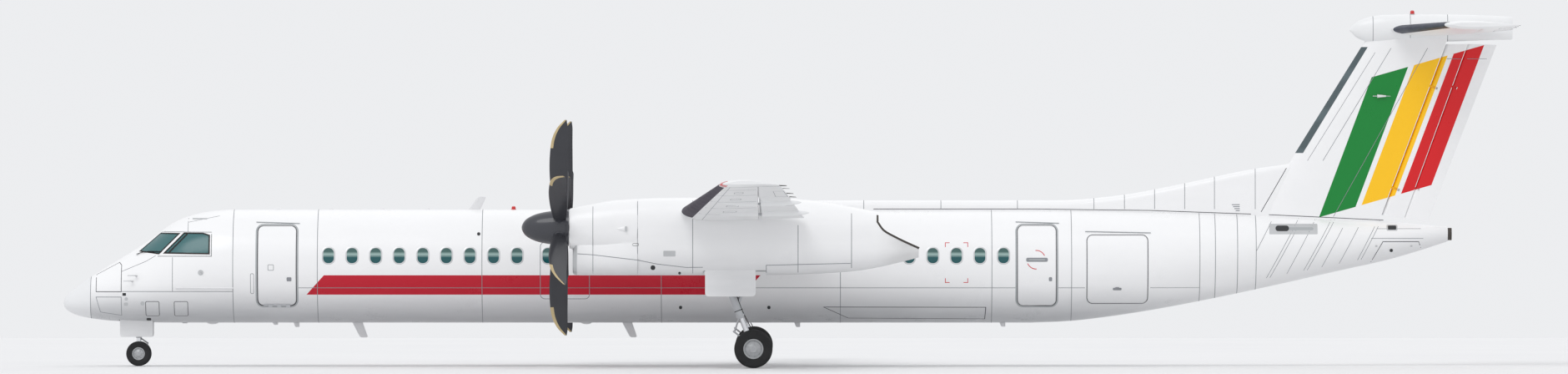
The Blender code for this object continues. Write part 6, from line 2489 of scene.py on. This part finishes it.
@dataclass
class Tail:
    """Spine, fin, rudders, tailplane, elevators, bullet and tail pipe."""

    skin: FinSkin = field(default_factory=FinSkin)
    spine: tuple[tuple[float, ...], ...] = (
        (15.90, 3.650, 0.10), (16.50, 3.745, 0.19), (22.60, 3.752, 0.19), (23.90, 3.860, 0.18),
        (25.30, 4.115, 0.17), (26.80, 4.430, 0.15), (27.78, 4.580, 0.085))
    spine_floor: float = 3.20
    spine_joints: tuple[float, ...] = (18.1318, 19.8776, 21.6108, 23.3422, 24.0344, 24.7176, 25.3990,
                                       26.0732,
                                       26.9973)
    bullet: tuple[tuple[float, ...], ...] = (
        (29.135, 7.625, 7.590, 0.02), (29.300, 7.790, 7.430, 0.13), (29.550, 7.890, 7.330, 0.19),
        (29.900, 7.945, 7.296, 0.23), (30.500, 7.958, 7.340, 0.24), (31.400, 7.955, 7.345, 0.22),
        (32.300, 7.930, 7.372, 0.17), (32.830, 7.905, 7.385, 0.08))
    plane: Plan = field(default_factory=lambda: Plan((
        (0.00, 30.010, 7.607, 32.790, 7.600, 0.100), (4.50, 31.120, 7.680, 32.790, 7.668, 0.115),
        (4.635, 31.250, 7.684, 32.770, 7.672, 0.070))))
    elevator_hinge: float = 32.02
    elevator: Point = (0.26, 4.47)
    clear: float = 0.008
    rudder_head: float = 7.285
    rudder_seam: float = 6.95
    probe: Point = (29.858, 6.106)
    lug_heights: Point = (4.0, 6.3)

    def build(self) -> None:
        """Build and dress the tail."""
        self.ridge = Ridge(self.spine, self.spine_floor)
        self._spine()
        fin = self._fin()
        plane = self._plane()
        self._bullet()
        self._pipe()
        self._trim()
        settle(fin, ROOT, ["fin"])
        settle(plane, ROOT, ["tailplane"])

    def _spine(self) -> None:
        """Spine ahead of the fin."""
        curve = self.ridge.curve
        rings = []
        for station in spread(self.spine[0][0], self.spine[-1][0], 60):
            top, half = curve.at(station)
            ring = [spot(station, -half * 1.25, self.spine_floor)]
            for k in range(13):
                angle = math.pi * k / 12
                across = -bulged(math.cos(angle), 0.8) * half * 1.1
                ring.append(spot(station, across, top - SHOULDER + SHOULDER * math.sin(angle) ** 0.9))
            rings.append(ring + [spot(station, half * 1.25, self.spine_floor)])
        settle(lofted(rings).build("looks_dorsal_spine", BODY), ROOT, ["dorsal_spine"])
        seams = Shape()
        for station in self.spine_joints:
            top = curve.at(station)[0]
            heights = spread(3.55, top - 0.18, 5)
            heights += [top - SHOULDER + SHOULDER * math.sin(t) for t in spread(0.1, 1.5, 8)]
            for side in (-1, 1):
                self.ridge.strip(seams, [(station, z) for z in heights], side, 0.014)
        for side in (-1, 1):
            self.ridge.line(seams, ((18.35, 3.552), (22.0, 3.552), (24.6, 3.520), (26.9, 3.438)), side,
                            0.016, False, 1)
            self.ridge.line(seams, ((27.130, 3.488), (27.706, 4.477)), side, 0.016, False, 1)
            self.skin.line(seams, ((27.2, 3.428), (28.4, 3.372), (29.9, 3.300)), side, 0.016, False, 1)
            for k in range(4):
                z = 3.650 - 0.045 * k
                self.ridge.line(seams, ((26.465 + 0.03 * k, z), (26.645, z)), side, 0.022)
        settle(seams.build("spine_seams", SEAM, SEAM_DARK))

    def _fin(self) -> bpy.types.Object:
        """Fin and the two rudders, with their hinge lugs."""
        skin = self.skin
        fin = lofted([skin.ring(z) for z in spread(3.20, 7.60, 12)]).build("looks_fin", FIN)
        pieces = {}
        table = (("rudder_fore", skin.fore_hinge, skin.rear_hinge, (3.405, 0.055), (self.rudder_head, 0.0),
                  True),
                 ("rudder_trailing", skin.rear_hinge, skin.rudder_edge, (3.350, 0.090),
                  (self.rudder_head, 0.02), False))
        for name, front, rear, foot, head, follows in table:
            rings = []
            for share in spread(0.0, 1.0, 9):
                height = foot[0] + (head[0] - foot[0]) * share
                drop = foot[1] + (head[1] - foot[1]) * share
                rings.append(skin.rudder_ring(front, rear, height, drop, follows))
            pieces[name] = lofted(rings).build("looks_" + name, FIN)
        fore, trailing = pieces["rudder_fore"], pieces["rudder_trailing"]
        for line, fixed, moving, reach in ((skin.fore_hinge, fin, fore, 0.10),
                                           (skin.rear_hinge, fore, trailing, 0.06)):
            axis = skin.point(line, 7.0) - skin.point(line, 4.0)
            for height in self.lug_heights:
                point = skin.point(line, height)
                radius = skin.half(height, skin.line_at(line, height))
                hinge_lug(fixed, moving, point, axis, radius * 0.6, radius * skin.sweep + reach, 0.05,
                          finish=FIN)
        for name, piece in pieces.items():
            settle(piece, name, [name])
        return fin

    def _plane(self) -> bpy.types.Object:
        """Tailplane with its elevators."""
        plan = self.plane

        def rear(across: float) -> float:
            """Share of the chord at which the fixed part ends."""
            row = plan.row(across)
            share = (self.elevator_hinge - row[1]) / (row[3] - row[1])
            return share - half_thickness(share, row[5]) - self.clear / (row[3] - row[1])

        spans = (-4.5, -3.4, -2.2, -1.0, 0.0, 1.0, 2.2, 3.4, 4.5)
        shape = lofted([plan.ring(abs(y), -1 if y < 0 else 1, rear(abs(y))) for y in spans])
        piece = shape.build("looks_tailplane", WING_WHITE)
        for side in Side:
            rows = ((self.elevator[1] + 0.015, 0.0), (4.5, 0.0), (4.56, 0.004), (4.60, 0.014),
                    (4.635, 0.045))
            carve(piece, plan.tip(rows, side.value), Cut.JOIN, WING_WHITE)
            name = "elevator_" + side.label
            rings, hinges = [], []
            for across in spread(*self.elevator, 9):
                row = plan.row(across)
                share = (self.elevator_hinge - row[1]) / (row[3] - row[1])
                hinge = plan.point(across, share, 0.0, side.value)
                radius = half_thickness(share, row[5]) * (row[3] - row[1])
                rings.append(hinged_ring(hinge, radius, plan.point(across, 1.0, 0.0, side.value)))
                hinges.append((hinge, radius))
            elevator = lofted(rings).build("looks_" + name, WING_WHITE)
            (first, first_r), (last, last_r) = hinges[0], hinges[-1]
            for share in (0.2, 0.8):
                nose = first_r + (last_r - first_r) * share
                hinge_lug(piece, elevator, first + (last - first) * share, last - first, nose * 0.6,
                          nose + 0.08)
            settle(elevator, name, [name])
            seams = Shape()
            for face in (1.0, -1.0):
                for low, high, back in ((0.55, 1.55, 0.45), (2.6, 3.6, 0.5)):
                    rows = []
                    for t, u in dense(((low, back), (high, back), (high, 0.96), (low, 0.96)), 0.12, True):
                        n = (t - self.elevator[0]) / (self.elevator[1] - self.elevator[0])
                        rows.append((first + (last - first) * n, first_r + (last_r - first_r) * n,
                                     plan.point(t, 1.0, 0.0, side.value), u))
                    hinged_seam(seams, rows, face)
            settle(seams.build("seams_" + name, SEAM), name)
            wicks = Shape()
            for across in (2.4, 3.3, 4.2):
                start = plan.point(across, 0.995, 0.0, side.value)
                wicks.rod(start - AFT * 0.02, start + AFT * 0.045, 0.006, 0, 8, 0.004)
            settle(wicks.build("wicks_" + name, AERIAL_BLACK), name)
        return piece

    def _oval(self, station: float, grow: float = 0.0) -> Ring:
        """Ring of the bullet."""
        top, bottom, half = self.curve.at(station)
        sizes = ((top + bottom) / 2.0, (top - bottom) / 2.0 + grow, half + grow)
        return boxy_ring(station, 0.0, sizes, 2.0, 48)

    def _bullet(self) -> None:
        """Bullet at the head of the fin, with its beacon and lamp."""
        self.curve = Curve(self.bullet)
        first, last = self.bullet[0][0], self.bullet[-1][0]
        stations = [first + 0.765 * (k / 12.0) ** 1.5 for k in range(13)] + spread(30.1, last - 0.03, 22)
        shape = lofted([self._oval(s) for s in stations] + [self._oval(last, -0.02)])
        settle(shape.build("looks_tail_bullet", WING_WHITE), ROOT, ["tail_bullet"])
        seams = Shape()
        for station in (29.6654, 30.5104, 31.3554):
            ring = self._oval(station)
            top, bottom, _ = self.curve.at(station)
            middle = spot(station, 0.0, (top + bottom) / 2.0)
            seams.strip(ring, [(p - middle).normalized() for p in ring], 0.013, 0, True)
        settle(seams.build("bullet_seams", SEAM))
        beacon = Shape()
        base = spot(30.56, 0.0, 7.945)
        beacon.turned([(0.002, 0.0), (0.066, 0.0), (0.066, 0.018), (0.058, 0.022)], base, UP, 32, 1)
        beacon.turned([(0.050, 0.018), (0.050, 0.060), (0.044, 0.084), (0.030, 0.100), (0.002, 0.105)], base,
                      UP, 32, 0)
        beacon.turned([(0.002, 0.0), (0.055, 0.0), (0.050, 0.022), (0.030, 0.038), (0.002, 0.044)],
                      spot(32.805, 0.0, 7.645), AFT, 28, 2)
        settle(beacon.build("tail_beacon", RED_LAMP, PLATE, CLEAR_LAMP))

    def _pipe(self) -> None:
        """Exhaust of the auxiliary power unit."""
        start = spot(31.3603, 0.0, 2.985)
        shape = Shape()
        profile = [(0.002, 0.0), (0.14, 0.0), (0.14, 0.086), (0.136, 0.0897), (0.115, 0.0897), (0.11, 0.084),
                   (0.11, 0.021), (0.002, 0.020)]
        shape.turned(profile, start, AFT, 56, 0)
        settle(shape.build("looks_apu_exhaust", BURNT), ROOT, ["apu_exhaust"])

    def _trim(self) -> None:
        """Boots, seams and probes of the fin and tailplane."""
        skin = self.skin
        boots = Shape()
        for side in Side:
            self.plane.boot(boots, 0.42, 4.46, 0.075, side.value, 0)
        settle(boots.build("tailplane_boots", BOOT_NAVY))
        rings = []
        ahead = Vector((-0.85, 0.0, 0.5)).normalized()
        for height in spread(4.820, 7.217, 22):
            nose = skin.line_at(skin.edge, height)
            reach = 0.1426 + 0.0125 * (7.2 - height)
            outer, inner = [], []
            for k in range(-10, 11):
                station = nose + reach * (abs(k) / 10.0) ** 2
                side = 1 if k > 0 else -1
                point = skin.base(station, height, side)
                out = skin.out(station + 0.012, height, side) if k else ahead
                outer.append(point + out * 0.003)
                inner.append(point - out * 0.004)
            rings.append(outer + inner[::-1])
        settle(lofted(rings).build("fin_boot", BOOT_TEAL))
        seams = Shape()
        for side in (-1, 1):
            skin.line(seams, ((29.714, 7.095), (28.180, 4.646)), side, 0.010)
            skin.line(seams, ((30.075, 7.192), (28.529, 4.646)), side, 0.012)
            skin.line(seams, ((30.902, 7.192), (28.766, 3.380)), side, 0.012)
        settle(seams.build("fin_seams", SEAM))
        for name, front, rear in (("rudder_fore", skin.fore_hinge, skin.rear_hinge),
                                  ("rudder_trailing", skin.rear_hinge, skin.rudder_edge)):
            hinge = skin.line_at(front, self.rudder_seam)
            radius = skin.half(self.rudder_seam, hinge)
            first, last = hinge + 0.03, skin.line_at(rear, self.rudder_seam) - 0.10
            edge_half = skin.half(self.rudder_seam, last) if name == "rudder_fore" else 0.012
            shape = Shape()
            for side in (-1, 1):
                path = []
                for t in spread(0.0, 1.0, 6):
                    y = side * (radius + (edge_half - radius) * t * 0.96)
                    path.append(spot(first + (last - first) * t, y, self.rudder_seam))
                shape.strip(path, [Vector((0.0, side, 0.0))] * 6, 0.010)
            settle(shape.build("seams_" + name, SEAM), name)
        probe = Shape()
        for side in (-1, 1):
            middle = skin.at(*self.probe, side, 0.045)
            ahead = AFT * 0.20
            probe.rod(middle - ahead, middle + ahead, 0.010, 0, 12, 0.006)
            probe.rod(middle - ahead * 0.5, middle + ahead * 0.5, 0.038, 1, 20, 0.016)
            probe.rod(skin.at(*self.probe, side, -0.02), middle, 0.018, 1, 12)
        settle(probe.build("fin_probe", PLATE, AERIAL))


# Details on the body


@dataclass
class CabinWindows:
    """Round cornered panes of both flanks, each in a frame."""

    hull: Hull
    centre: float = 2.501
    size: Point = (0.241, 0.340)
    pitch: float = 0.5322
    roundness: float = 0.92
    front: tuple[float, int] = (6.041, 9)
    lone: float = 10.996
    rear: tuple[float, int] = (21.282, 5)
    hidden: tuple[float, int] = (18.615, 13)

    def stations(self) -> list[float]:
        """Stations of the panes of one flank."""
        found = [self.front[0] + self.pitch * k for k in range(self.front[1])] + [self.lone]
        found += [self.rear[0] - self.pitch * k for k in range(self.rear[1])]
        return found + [self.hidden[0] - self.pitch * k for k in range(self.hidden[1])]

    def build(self) -> None:
        """Build both rows."""
        for side in Side:
            glass, frames = Shape(), Shape()
            half_w, half_h = self.size[0] / 2.0, self.size[1] / 2.0
            corner = half_w * self.roundness
            for station in self.stations():
                place = self.hull.placer((station, self.centre), side.value)
                pane = rounded(half_w, half_h, corner, 7)
                glass.patch(pane, place, 0.0012, 0.006, 0, crown=0.001)
                ring = rounded(half_w + 0.004, half_h + 0.004, corner, 7)
                profile = ((-0.004, -0.004), (-0.004, 0.0022), (0.004, 0.0046), (0.018, 0.0044),
                           (0.026, 0.0014),
                           (0.026, -0.004))
                frames.bead(ring, place, profile)
            settle(glass.build("cabin_windows_" + side.label, CABIN_GLASS))
            settle(frames.build("window_frames_" + side.label, FRAME_SILVER))


@dataclass
class Cockpit:
    """Frames, wipers and strips round the cockpit panes."""

    hull: Hull
    panes: tuple[tuple[str, tuple[Point, ...]], ...]

    def build(self) -> None:
        """Build both sides."""
        for side in Side:
            frames = Shape()
            for _, outline in self.panes:
                edge = dense(outline, 0.05, True)
                self.hull.strip(frames, edge, side.value, 0.036, 0, True, 0.004, 0.012)
            bar = dense(((2.425, 2.572), (2.835, 2.990)), 0.05, False)
            self.hull.strip(frames, bar, side.value, 0.040, 0, False, 0.004, 0.012)
            settle(frames.build("pane_frames_" + side.label, FRAME_BLACK))
            wiper = Shape()
            arm = [(1.700, 2.520), (1.800, 2.560), (1.960, 2.580), (2.080, 2.585)]
            wiper.tube([self.hull.at(s, z, side.value, 0.020) for s, z in arm], 0.009, 0, 8)
            blade = [(1.860, 2.574), (2.000, 2.590), (2.130, 2.588), (2.260, 2.585)]
            wiper.tube([self.hull.at(s, z, side.value, 0.012) for s, z in blade], 0.010, 0, 8)
            base = self.hull.at(1.700, 2.520, side.value, -0.01)
            wiper.rod(base, self.hull.at(1.700, 2.520, side.value, 0.032), 0.022, 1, 16)
            settle(wiper.build("wiper_" + side.label, HOSE, PLATE))
            shade = Shape()
            self.hull.line(shade, ((2.168, 2.487), (3.393, 2.487), (3.393, 2.985)), side.value, 0.012)
            self.hull.line(shade, ((2.247, 3.039), (3.393, 3.030)), side.value, 0.012)
            settle(shade.build("cockpit_seams_" + side.label, SEAM_DARK))


@dataclass
class BodyDetails:
    """Seams, handles, plates, probes and aerials of the body."""

    hull: Hull
    doors: tuple[Door, ...]
    joints: tuple[float, ...] = (0.636, 3.878, 5.787, 9.505, 13.554, 17.598, 21.019,
                                 22.819, 25.721, 26.073, 26.575, 26.997)
    fairing: Point = (12.4, 18.3)
    under_wing: float = 0.62
    lap: float = 1.775
    vane: Point = (3.152, 2.118)
    latch: Point = (22.019, 2.409)
    cone_joints: tuple[tuple[Point, Point], ...] = (
        ((27.9754, 3.3443), (27.1124, 1.7675)), ((28.3457, 3.3084), (27.5924, 1.8879)),
        ((28.7125, 3.3084), (27.9754, 1.9706)), ((29.0613, 3.3012), (28.3997, 2.0677)),
        ((29.4101, 3.3012), (28.8024, 2.1576)), ((29.7733, 3.3084), (29.2267, 2.2475)),
        ((27.4090, 3.3803), (26.9955, 2.5928)), ((28.0563, 3.3443), (27.1933, 1.7801)),
        ((28.7934, 3.3084), (28.0563, 1.9814)), ((29.8542, 3.3084), (29.3076, 2.2565)))

    def build(self) -> None:
        """Build all details."""
        self._joints()
        self._panels()
        self._door_trim()
        self._plates()
        self._aerials()
        self._markings()

    def _joints(self) -> None:
        """Seams round the body and along it."""
        shape = Shape()
        for station in self.joints:
            if self.fairing[0] < station < self.fairing[1]:
                for ends in ((-math.pi / 2.0, self.under_wing), (math.pi - self.under_wing, math.pi * 1.5)):
                    self.hull.hoop(shape, station, 0.015, ends)
            else:
                self.hull.hoop(shape, station, 0.015)
        for side in (-1, 1):
            for first, last in ((5.36, 21.55), (22.52, 23.12), (24.60, 25.721)):
                self.hull.line(shape, ((first, self.lap), (last, self.lap)), side, 0.013, step=0.3)
        settle(shape.build("body_seams", SEAM))

    def _panels(self) -> None:
        """Panel lines of the nose and of the rear body."""
        shape = Shape()
        line, frame = self.hull.line, self.hull.frame
        for side in (-1, 1):
            line(shape, ((2.850, 3.416), (2.850, 3.039)), side, 0.012)
            line(shape, ((2.859, 3.254), (3.560, 3.398)), side, 0.012)
            line(shape, ((2.510, 2.463), (2.510, 1.690), (3.883, 1.690)), side, 0.013)
            line(shape, ((1.348, 1.690), (2.510, 1.690)), side, 0.013)
            line(shape, ((1.345, 2.140), (1.906, 2.373), (2.122, 2.499)), side, 0.013)
            line(shape, ((0.764, 2.068), (1.289, 2.346), (1.341, 2.283), (1.341, 1.683), (0.764, 1.683)),
                 side, 0.016, True, 1)
            line(shape, ((0.764, 1.564), (1.341, 1.564), (1.341, 1.151), (0.863, 1.223)), side, 0.014, True)
            frame(shape, (2.048, 1.302), (0.306, 0.324), 0.03, side, 0.014, 1)
            frame(shape, (2.697, 1.302), (0.306, 0.324), 0.03, side, 0.014, 1)
            frame(shape, (11.377, 2.165), (1.109, 1.277), 0.10, side, 0.016)
            line(shape, ((17.220, 1.340), (17.781, 1.088), (20.865, 1.070), (20.884, 1.334)), side, 0.018,
                 True, 1)
        for (head_s, head_z), (foot_s, foot_z) in self.cone_joints:
            points = [(head_s + (foot_s - head_s) * t, head_z + (foot_z - head_z) * t)
                      for t in spread(0.0, 1.0, 8)]
            for side in (-1, 1):
                line(shape, self._inside(points), side, 0.012)
        for side in (-1, 1):
            line(shape, ((29.737, 3.107), (30.744, 3.107)), side, 0.012)
            line(shape, ((29.611, 2.888), (30.798, 2.888)), side, 0.012)
            line(shape, ((29.611, 2.355), (29.879, 2.814), (30.694, 2.814), (30.744, 2.679)), side, 0.016,
                 False, 1)
        settle(shape.build("panel_seams", SEAM, SEAM_DARK))

    def _inside(self, points: Sequence[Point]) -> list[Point]:
        """Side view points that lie on the skin."""
        kept = []
        for station, height in points:
            crown, keel, _, _ = self.hull.curve.at(station)
            if keel + 0.03 < height < crown - 0.03:
                kept.append((station, height))
        return kept

    def _door_trim(self) -> None:
        """Outlines, gutters and handles of the doors."""
        hull = self.hull
        edges, gutters, handles = Shape(), Shape(), Shape()
        for door in self.doors:
            edge = dense(door.outline(0.016, 8), 0.09, True)
            hull.strip(edges, edge, door.side, 0.016, 0, True, 0.0034, 0.004)
            if door.name != "baggage_door":
                band = dense(door.outline(0.042, 8), 0.09, True)
                hull.strip(edges, band, door.side, 0.036, 1, True, 0.0022, 0.004)
            top = door.head + 0.085
            gutter = [(door.first - 0.05, top), (door.last + 0.08, top - 0.03)]
            path = [hull.at(s, z, door.side, 0.012) for s, z in dense(gutter, 0.15, False)]
            gutters.tube(path, 0.010, 0, 8)
        settle(edges.build("door_edges", SEAM_DARK, DOOR_BAND))
        settle(gutters.build("door_gutters", DOOR_BAND))
        entry = Shape()
        hull.frame(entry, (4.736, 2.233), (0.126, 0.126), 0.02, -1, 0.012, 1)
        hull.plate(entry, (5.149, 1.969), (0.108, 0.090), 0.02, -1, 1, 0.006)
        settle(entry.build("entry_door_fittings", DOOR_BAND, HANDLE_GREY), "entry_door")
        hull.frame(handles, (4.315, 1.870), (0.072, 0.450), 0.03, -1, 0.012, 1)
        for row in (
                ((22.037, 2.409), (0.485, 0.090), 0.03, -1, 1, 0.004),
                ((22.037, 2.409), (0.360, 0.032), 0.012, -1, 0, 0.010),
                ((22.341, 1.971), (0.072, 0.090), 0.02, -1, 1, 0.005),
                ((23.851, 1.749), (0.198, 0.054), 0.025, -1, 1, 0.006),
                ((23.851, 1.773), (0.090, 0.036), 0.017, -1, 1, 0.010),
                ((22.05, 2.104), (0.30, 0.07), 0.03, 1, 1, 0.004),
                ((22.05, 2.104), (0.22, 0.03), 0.012, 1, 0, 0.010),
                ((4.87, 2.15), (0.26, 0.07), 0.03, 1, 1, 0.004),
                ((4.87, 2.15), (0.20, 0.03), 0.012, 1, 0, 0.010),
                ((4.87, 2.501), (0.24, 0.34), 0.11, 1, 2, 0.003),
        ):
            hull.plate(handles, *row)
        settle(handles.build("door_handles", DOOR_BAND, HANDLE_GREY, CABIN_GLASS))

    def _plates(self) -> None:
        """Small plates, vents, vanes, probes and strips."""
        shape = Shape()
        plates = (
            ((1.411, 1.625), (0.079, 0.061), 0.01, 1, 0.003),
            ((1.456, 1.521), (0.072, 0.072), 0.03, 0, 0.004),
            ((1.449, 1.404), (0.090, 0.072), 0.02, 0, 0.004),
            ((1.825, 1.420), (0.090, 0.090), 0.04, 0, 0.004),
            ((1.951, 1.061), (0.108, 0.054), 0.025, 1, 0.003),
            (self.vane, (0.122, 0.122), 0.06, 0, 0.006),
            ((9.428, 2.990), (0.072, 0.072), 0.03, 1, 0.004),
            ((13.988, 1.331), (0.072, 0.072), 0.03, 1, 0.004),
            ((15.983, 1.331), (0.072, 0.072), 0.03, 1, 0.004),
            ((27.592, 3.114), (0.306, 0.126), 0.06, 1, 0.004),
            ((30.088, 3.129), (0.252, 0.135), 0.03, 0, 0.003),
            ((30.088, 3.129), (0.189, 0.090), 0.02, 1, 0.006),
            ((30.070, 2.616), (0.072, 0.072), 0.03, 1, 0.005),
            ((29.7283, 2.715), (0.05, 0.04), 0.012, 0, 0.004),
            ((30.5284, 2.715), (0.05, 0.04), 0.012, 0, 0.004),
            ((27.844, 3.100), (1.097, 0.234), 0.02, 0, 0.002),
            ((28.011, 3.107), (0.575, 0.061), 0.03, 3, 0.0035),
            ((3.110, 3.333), (0.34, 0.03), 0.012, 0, 0.004),
        )
        for side in (-1, 1):
            for middle, size, corner, mark, rise in plates:
                self.hull.plate(shape, middle, size, corner, side, mark, rise)
            strip = [(2.589, 1.771), (3.883, 1.771)]
            path = [self.hull.at(s, z, side, 0.006) for s, z in dense(strip, 0.15, False)]
            shape.tube(path, 0.020, 2, 10)
        settle(shape.build("body_plates", PLATE, VENT, AERIAL, DOOR_BAND))
        probes = Shape()
        for side in (-1, 1):
            for s, z in ((1.695, 2.023), (1.600, 1.906)):
                foot = self.hull.at(s, z, side, -0.01)
                head = self.hull.at(s, z, side, 0.10)
                probes.rod(foot, head, 0.012, 0, 12)
                probes.rod(head + AFT * 0.06, head - AFT * 0.17, 0.013, 0, 14, 0.008)
            foot = self.hull.base(*self.vane, side)
            tip = foot + self.hull.out(*self.vane, side) * 0.07 + AFT * 0.05
            probes.rod(foot, tip, 0.008, 0, 10)
        settle(probes.build("air_probes", PLATE))

    def _blade(self, shape: Shape, first: float, last: float, tip_first: float, tip_last: float,
               root: float, tip: float, half: float = 0.016) -> None:
        """Swept blade aerial.

        Args:
            shape: Shape that gets it.
            first: First station of its root.
            last: Last station of its root.
            tip_first: First station of its tip.
            tip_last: Last station of its tip.
            root: Height of its root.
            tip: Height of its tip.
            half: Half thickness.
        """
        rings = []
        for share in (0.0, 0.35, 0.7, 0.92, 1.0):
            a = first + (tip_first - first) * share
            b = last + (tip_last - last) * share
            squeeze = 1.0 if share < 0.99 else 0.7
            middle = (a + b) / 2.0
            ring = []
            for k in range(20):
                angle = 2.0 * math.pi * k / 20
                along = middle + (b - a) / 2.0 * squeeze * math.cos(angle)
                thin = half * math.sin(angle) * (1.0 - 0.45 * math.cos(angle)) * (1.0 - 0.4 * share)
                ring.append(spot(along, thin, root + (tip - root) * share))
            rings.append(ring)
        shape.loft(rings)

    def _aerials(self) -> None:
        """Blade aerials, bumps and the upper beacon."""
        shape = Shape()
        self._blade(shape, 9.165, 9.435, 9.385, 9.583, 3.522, 3.830)
        self._blade(shape, 6.539, 6.773, 6.724, 6.904, 1.000, 0.645)
        self._blade(shape, 12.652, 12.878, 12.837, 13.000, 1.000, 0.650)
        for s, reach in ((4.7914, 0.05), (5.2769, 0.10), (16.6198, 0.10), (21.2692, 0.09)):
            self._blade(shape, s - 0.07, s + 0.07, s - 0.02, s + 0.07, 1.0, 0.98 - reach, half=0.012)
        for s, half in ((4.8292, 0.13), (6.0715, 0.06), (7.2276, 0.06), (8.2524, 0.06)):
            self._bump(shape, s, half, 3.538, 1)
        for s, half in ((3.3801, 0.14), (11.8482, 0.13)):
            self._bump(shape, s, half, 0.984, -1)
        settle(shape.build("aerials", AERIAL))
        lamps = Shape()
        dome = [(0.002, -0.01), (0.062, -0.01), (0.062, 0.012), (0.048, 0.016), (0.046, 0.050),
                (0.034, 0.072),
                (0.002, 0.080)]
        lamps.turned(dome, spot(10.199, 0.0, 3.540), UP, 32, 0)
        settle(lamps.build("body_beacons", RED_LAMP))

    def _bump(self, shape: Shape, station: float, half: float, base: float, up: int) -> None:
        """Low rounded bump on the crown or the keel."""
        rings = []
        for level in (0.0, 0.35, 0.65, 0.88, 1.0):
            size = math.sqrt(1.0 - level ** 2) if level < 1.0 else 0.06
            ring = []
            for k in range(24):
                angle = 2.0 * math.pi * k / 24
                ring.append(spot(station + half * size * math.cos(angle),
                                 half * 0.55 * size * math.sin(angle),
                                 base - up * 0.012 + up * 0.052 * level))
            rings.append(ring)
        shape.loft(rings)

    def _markings(self) -> None:
        """Red rescue corners and the arcs round the handle of the passenger door."""
        shape = Shape()
        leg = 0.097
        for s, z, east, north in ((19.9675, 2.7923, 1, 1), (20.4745, 2.7923, -1, 1),
                                  (19.9675, 1.8951, 1, -1), (20.4745, 1.8951, -1, -1)):
            for side in (-1, 1):
                self.hull.line(shape, ((s + east * leg, z), (s, z), (s, z - north * leg)), side, 0.016)
        s, z = self.latch
        for first, last in ((0.45, 1.65), (3.55, 4.75)):
            points = [(s + 0.21 * math.cos(t), z + 0.21 * math.sin(t)) for t in spread(first, last, 14)]
            self.hull.line(shape, points, -1, 0.018)
        settle(shape.build("rescue_marks", RED_PAINT))


# Stage


@dataclass
class Stage:
    """Floor, light and camera."""

    floor: float = 140.0
    lens: float = 380.0
    distance: float = 375.0
    aim: Point = (-0.09, 4.05)
    sky: float = 0.87

    def build(self) -> None:
        """Build the stage."""
        self._floor()
        self._world()
        self._sun("key_light", (38.0, 0.0, -28.0), 0.72, 30.0)
        self._sun("fill_light", (50.0, 0.0, 150.0), 0.25, 60.0)
        self._camera()

    def _floor(self) -> None:
        """Pale floor."""
        shape = Shape()
        half = self.floor / 2.0
        shape.block(Vector((-half, -half, -0.4)), Vector((half, half, -0.002)), 0, 0.1)
        net = Net("pale_floor")
        cloud = net.noise(0.15, 4.0)
        colour = net.mix(cloud, (0.765, 0.765, 0.775), (0.82, 0.82, 0.82))
        net.set(base_color=colour, roughness=(cloud - 0.5) * 0.1 + 0.75)
        floor = shape.build("floor")
        floor.data.materials.append(net.material)

    def _world(self) -> None:
        """Even, nearly white light from everywhere."""
        world = bpy.data.worlds.new("soft_world")
        world.use_nodes = True
        back = world.node_tree.nodes["Background"]
        back.inputs["Color"].default_value = (0.97, 0.98, 1.0, 1.0)
        back.inputs["Strength"].default_value = self.sky
        bpy.context.scene.world = world
        bpy.context.scene.view_settings.view_transform = "Standard"

    def _sun(self, name: str, turn: tuple[float, float, float], energy: float, angle: float) -> None:
        """Soft sun.

        Args:
            name: Name of the light.
            turn: Rotation in degrees.
            energy: Strength.
            angle: Size in degrees.
        """
        data = bpy.data.lights.new(name, "SUN")
        data.energy = energy
        data.angle = math.radians(angle)
        sun = bpy.data.objects.new(name, data)
        sun.rotation_euler = [math.radians(a) for a in turn]
        bpy.context.scene.collection.objects.link(sun)

    def _camera(self) -> None:
        """Level camera far off the left side."""
        data = bpy.data.cameras.new("camera")
        data.lens = self.lens
        data.sensor_width = 36.0
        data.clip_end = 1200.0
        camera = bpy.data.objects.new("camera", data)
        camera.location = (self.aim[0], -self.distance, self.aim[1])
        camera.rotation_euler = (math.radians(90.0), 0.0, 0.0)
        bpy.context.scene.collection.objects.link(camera)
        bpy.context.scene.camera = camera


def dress_engines() -> None:
    """Give the engines inside the nacelles their metal finish."""
    for side in Side:
        node = frame["nodes"]["engine_" + side.label]
        node.data.materials.clear()
        node.data.materials.append(ENGINE.material())


def main() -> None:
    """Build every sub-assembly in order."""
    logging.basicConfig(level=logging.INFO, format="%(message)s")
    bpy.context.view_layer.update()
    hull = Hull()
    wings = Wings()
    body = Fuselage(hull)
    body.build(wings.tool)
    CabinWindows(hull).build()
    Cockpit(hull, body.panes).build()
    BodyDetails(hull, body.doors).build()
    wings.build()
    for side in Side:
        PowerUnit(side).build(wings.tool)
        Propeller(side).build()
    Gear().build()
    Tail().build()
    dress_engines()
    Stage().build()
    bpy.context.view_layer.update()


if __name__ == "__main__":
    main()
